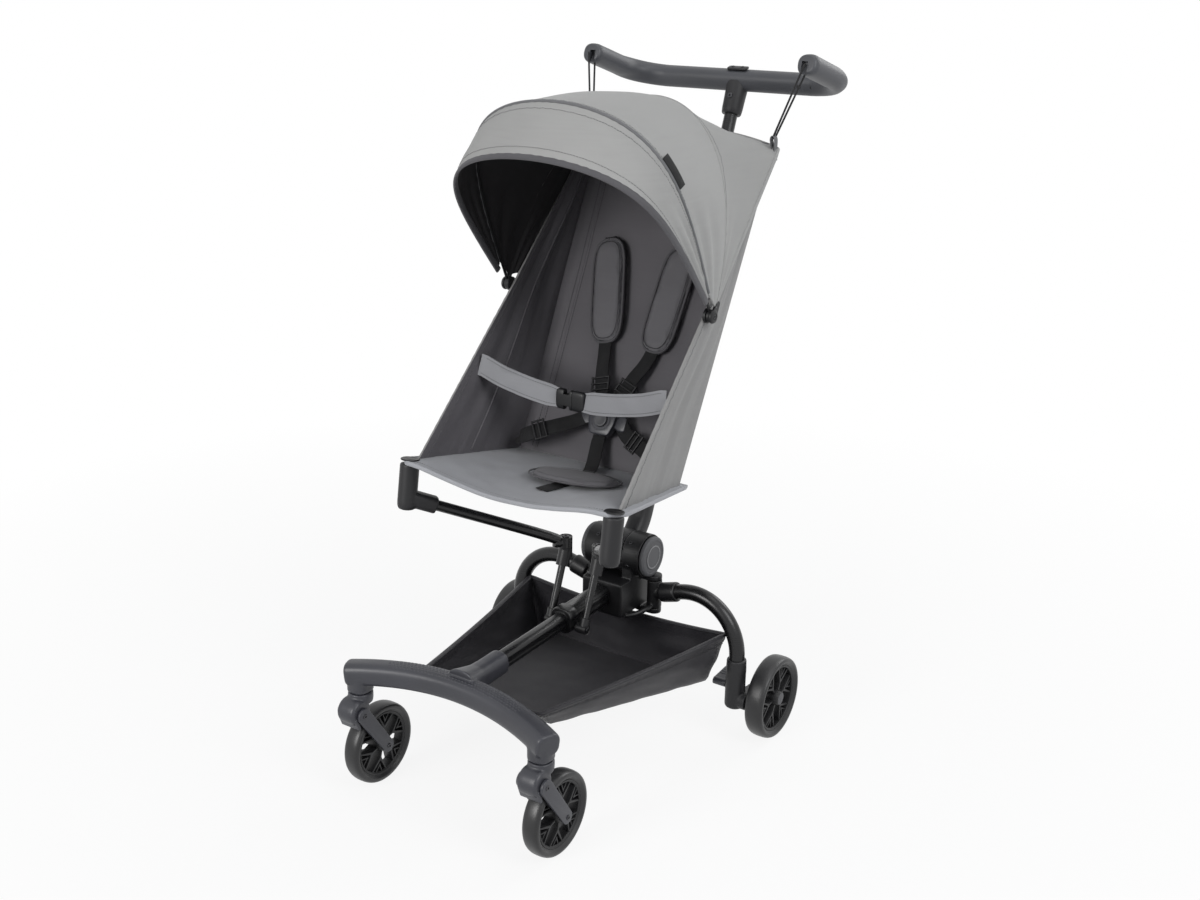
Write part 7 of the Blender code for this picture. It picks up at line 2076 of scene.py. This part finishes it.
# %% The basket's hem, piping and stitches
def mouth_ring(w):
    """Points round the basket at this share of the way from the floor's edge to the rim."""
    reach = KNEE + (1 - KNEE) * w
    steps = [-reach + 2 * reach * k / 40 for k in range(40)]
    edge = [(t, -reach) for t in steps] + [(reach, t) for t in steps]
    edge += [(-t, reach) for t in steps] + [(-reach, -t) for t in steps]
    return [basket_point(u, v) for u, v in edge + edge[:1]]


rim_line = mouth_ring(1.0)
hem = piece("basket_rim_binding", [sweep(rim_line, soft_section(0.0050, 0.0085, 2.4, 14), UP)], BASKET_CLOTH,
            "chassis", sharp=0)
seam_line = mouth_ring(0.02)
seam_line = [p + UP * 0.0022 for p in seam_line]
floor_seam = piece("basket_floor_piping", [sweep(seam_line, round_section(0.0014, 10), UP)],
                   BASKET_CLOTH, "chassis", sharp=0)
middle_at = Vector((0.0, -0.2, 0.14))
spots = []
for w in (0.80, 0.86):
    line = mouth_ring(w)
    for way in (1.0, -1.0):
        normals = []
        for k, p in enumerate(line):
            n = heading(line, k).cross((rim_line[k] - p).normalized()).normalized()
            normals.append(n * way if n.dot(middle_at - p) > 0 else n * -way)
        spots += stitch_spots(line, normals, 0.0048, 0.0016)
basket_stitches = stamps("basket_stitches", spots, STITCH, DARK_THREAD, "chassis")
print("basket stitches", len(spots))

# %% [markdown]
# ## Suspension cords
#
# A doubled braided cord runs from each handle tip down to the seat's top corner, and pulls the
# seat taut. At the corner it passes through a loop of tape. It is one long sweep.

# %% Cords and corner tapes
STRAND_GAP = 0.0036
TAPE_LOOP = ((-0.0022, 0.0, -0.022), (-0.0018, -0.001, -0.006), (-0.0034, -0.004, 0.0075), (-0.0016, -0.004, 0.0128),
             (0.0016, -0.004, 0.0128), (0.0036, -0.004, 0.0075), (0.0022, -0.001, -0.006), (0.0026, 0.0, -0.022))
for side, sign in SIDES:
    tip = mirrored(HANDLE_TIP + Vector((0.0, 0.002, -0.002)), sign)
    corner = side_front(1.0)
    anchor = mirrored(corner + Vector((0.0, -0.004, 0.010)), sign)
    drop = (tip - anchor).normalized()
    spread = square(REAR, drop)
    turn_at = anchor + drop * STRAND_GAP
    strands = [[tip.lerp(turn_at, k / 16) + spread * way * (STRAND_GAP + 0.0045 * (1 - k / 16)) for k in range(17)]
               for way in (1.0, -1.0)]
    bend = []
    for k in range(1, 14):
        a = math.pi * k / 14
        bend.append(anchor + drop * STRAND_GAP * (1 - math.sin(a)) + spread * STRAND_GAP * math.cos(a))
    points = strands[0] + bend + strands[1][::-1]
    cord = piece(f"suspension_cord_braid_{side}", [sweep(points, round_section(0.0015, 16), ACROSS)], CORD, None,
                 f"suspension_cord_{side}", sharp=0)
    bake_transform(cord)
    tape_line = smooth_path([mirrored(corner + Vector(p), sign) for p in TAPE_LOOP], 5)
    tape_faces = [heading(tape_line, k).cross(REAR).normalized() for k in range(len(tape_line))]
    piece(f"corner_tape_{side}", [strap(tape_line, 0.010, 0.0011, tape_faces)], PIPING, "pole", sharp=40)
print("cord length", round(path_length(points), 3))

# %% [markdown]
# ## Soft pieces
#
# The seat is sewn to the base at the bottom and hangs on the pole at the top. The sling's pieces
# have their places baked into their meshes, and the right half of the waist band, the clip's
# socket and the crotch pad are given meshes of their own.

# %% Baking the soft pieces
for soft in SLING_SOFT:
    world(back_corner(0.02))
    world(back_corner(0.42))
    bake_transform(soft)
for soft in WAIST_SOFT:
    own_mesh(soft)
for soft in CROTCH_SOFT:
    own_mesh(soft)
print("folding pieces:", len(SLING_SOFT + WAIST_SOFT + CROTCH_SOFT))
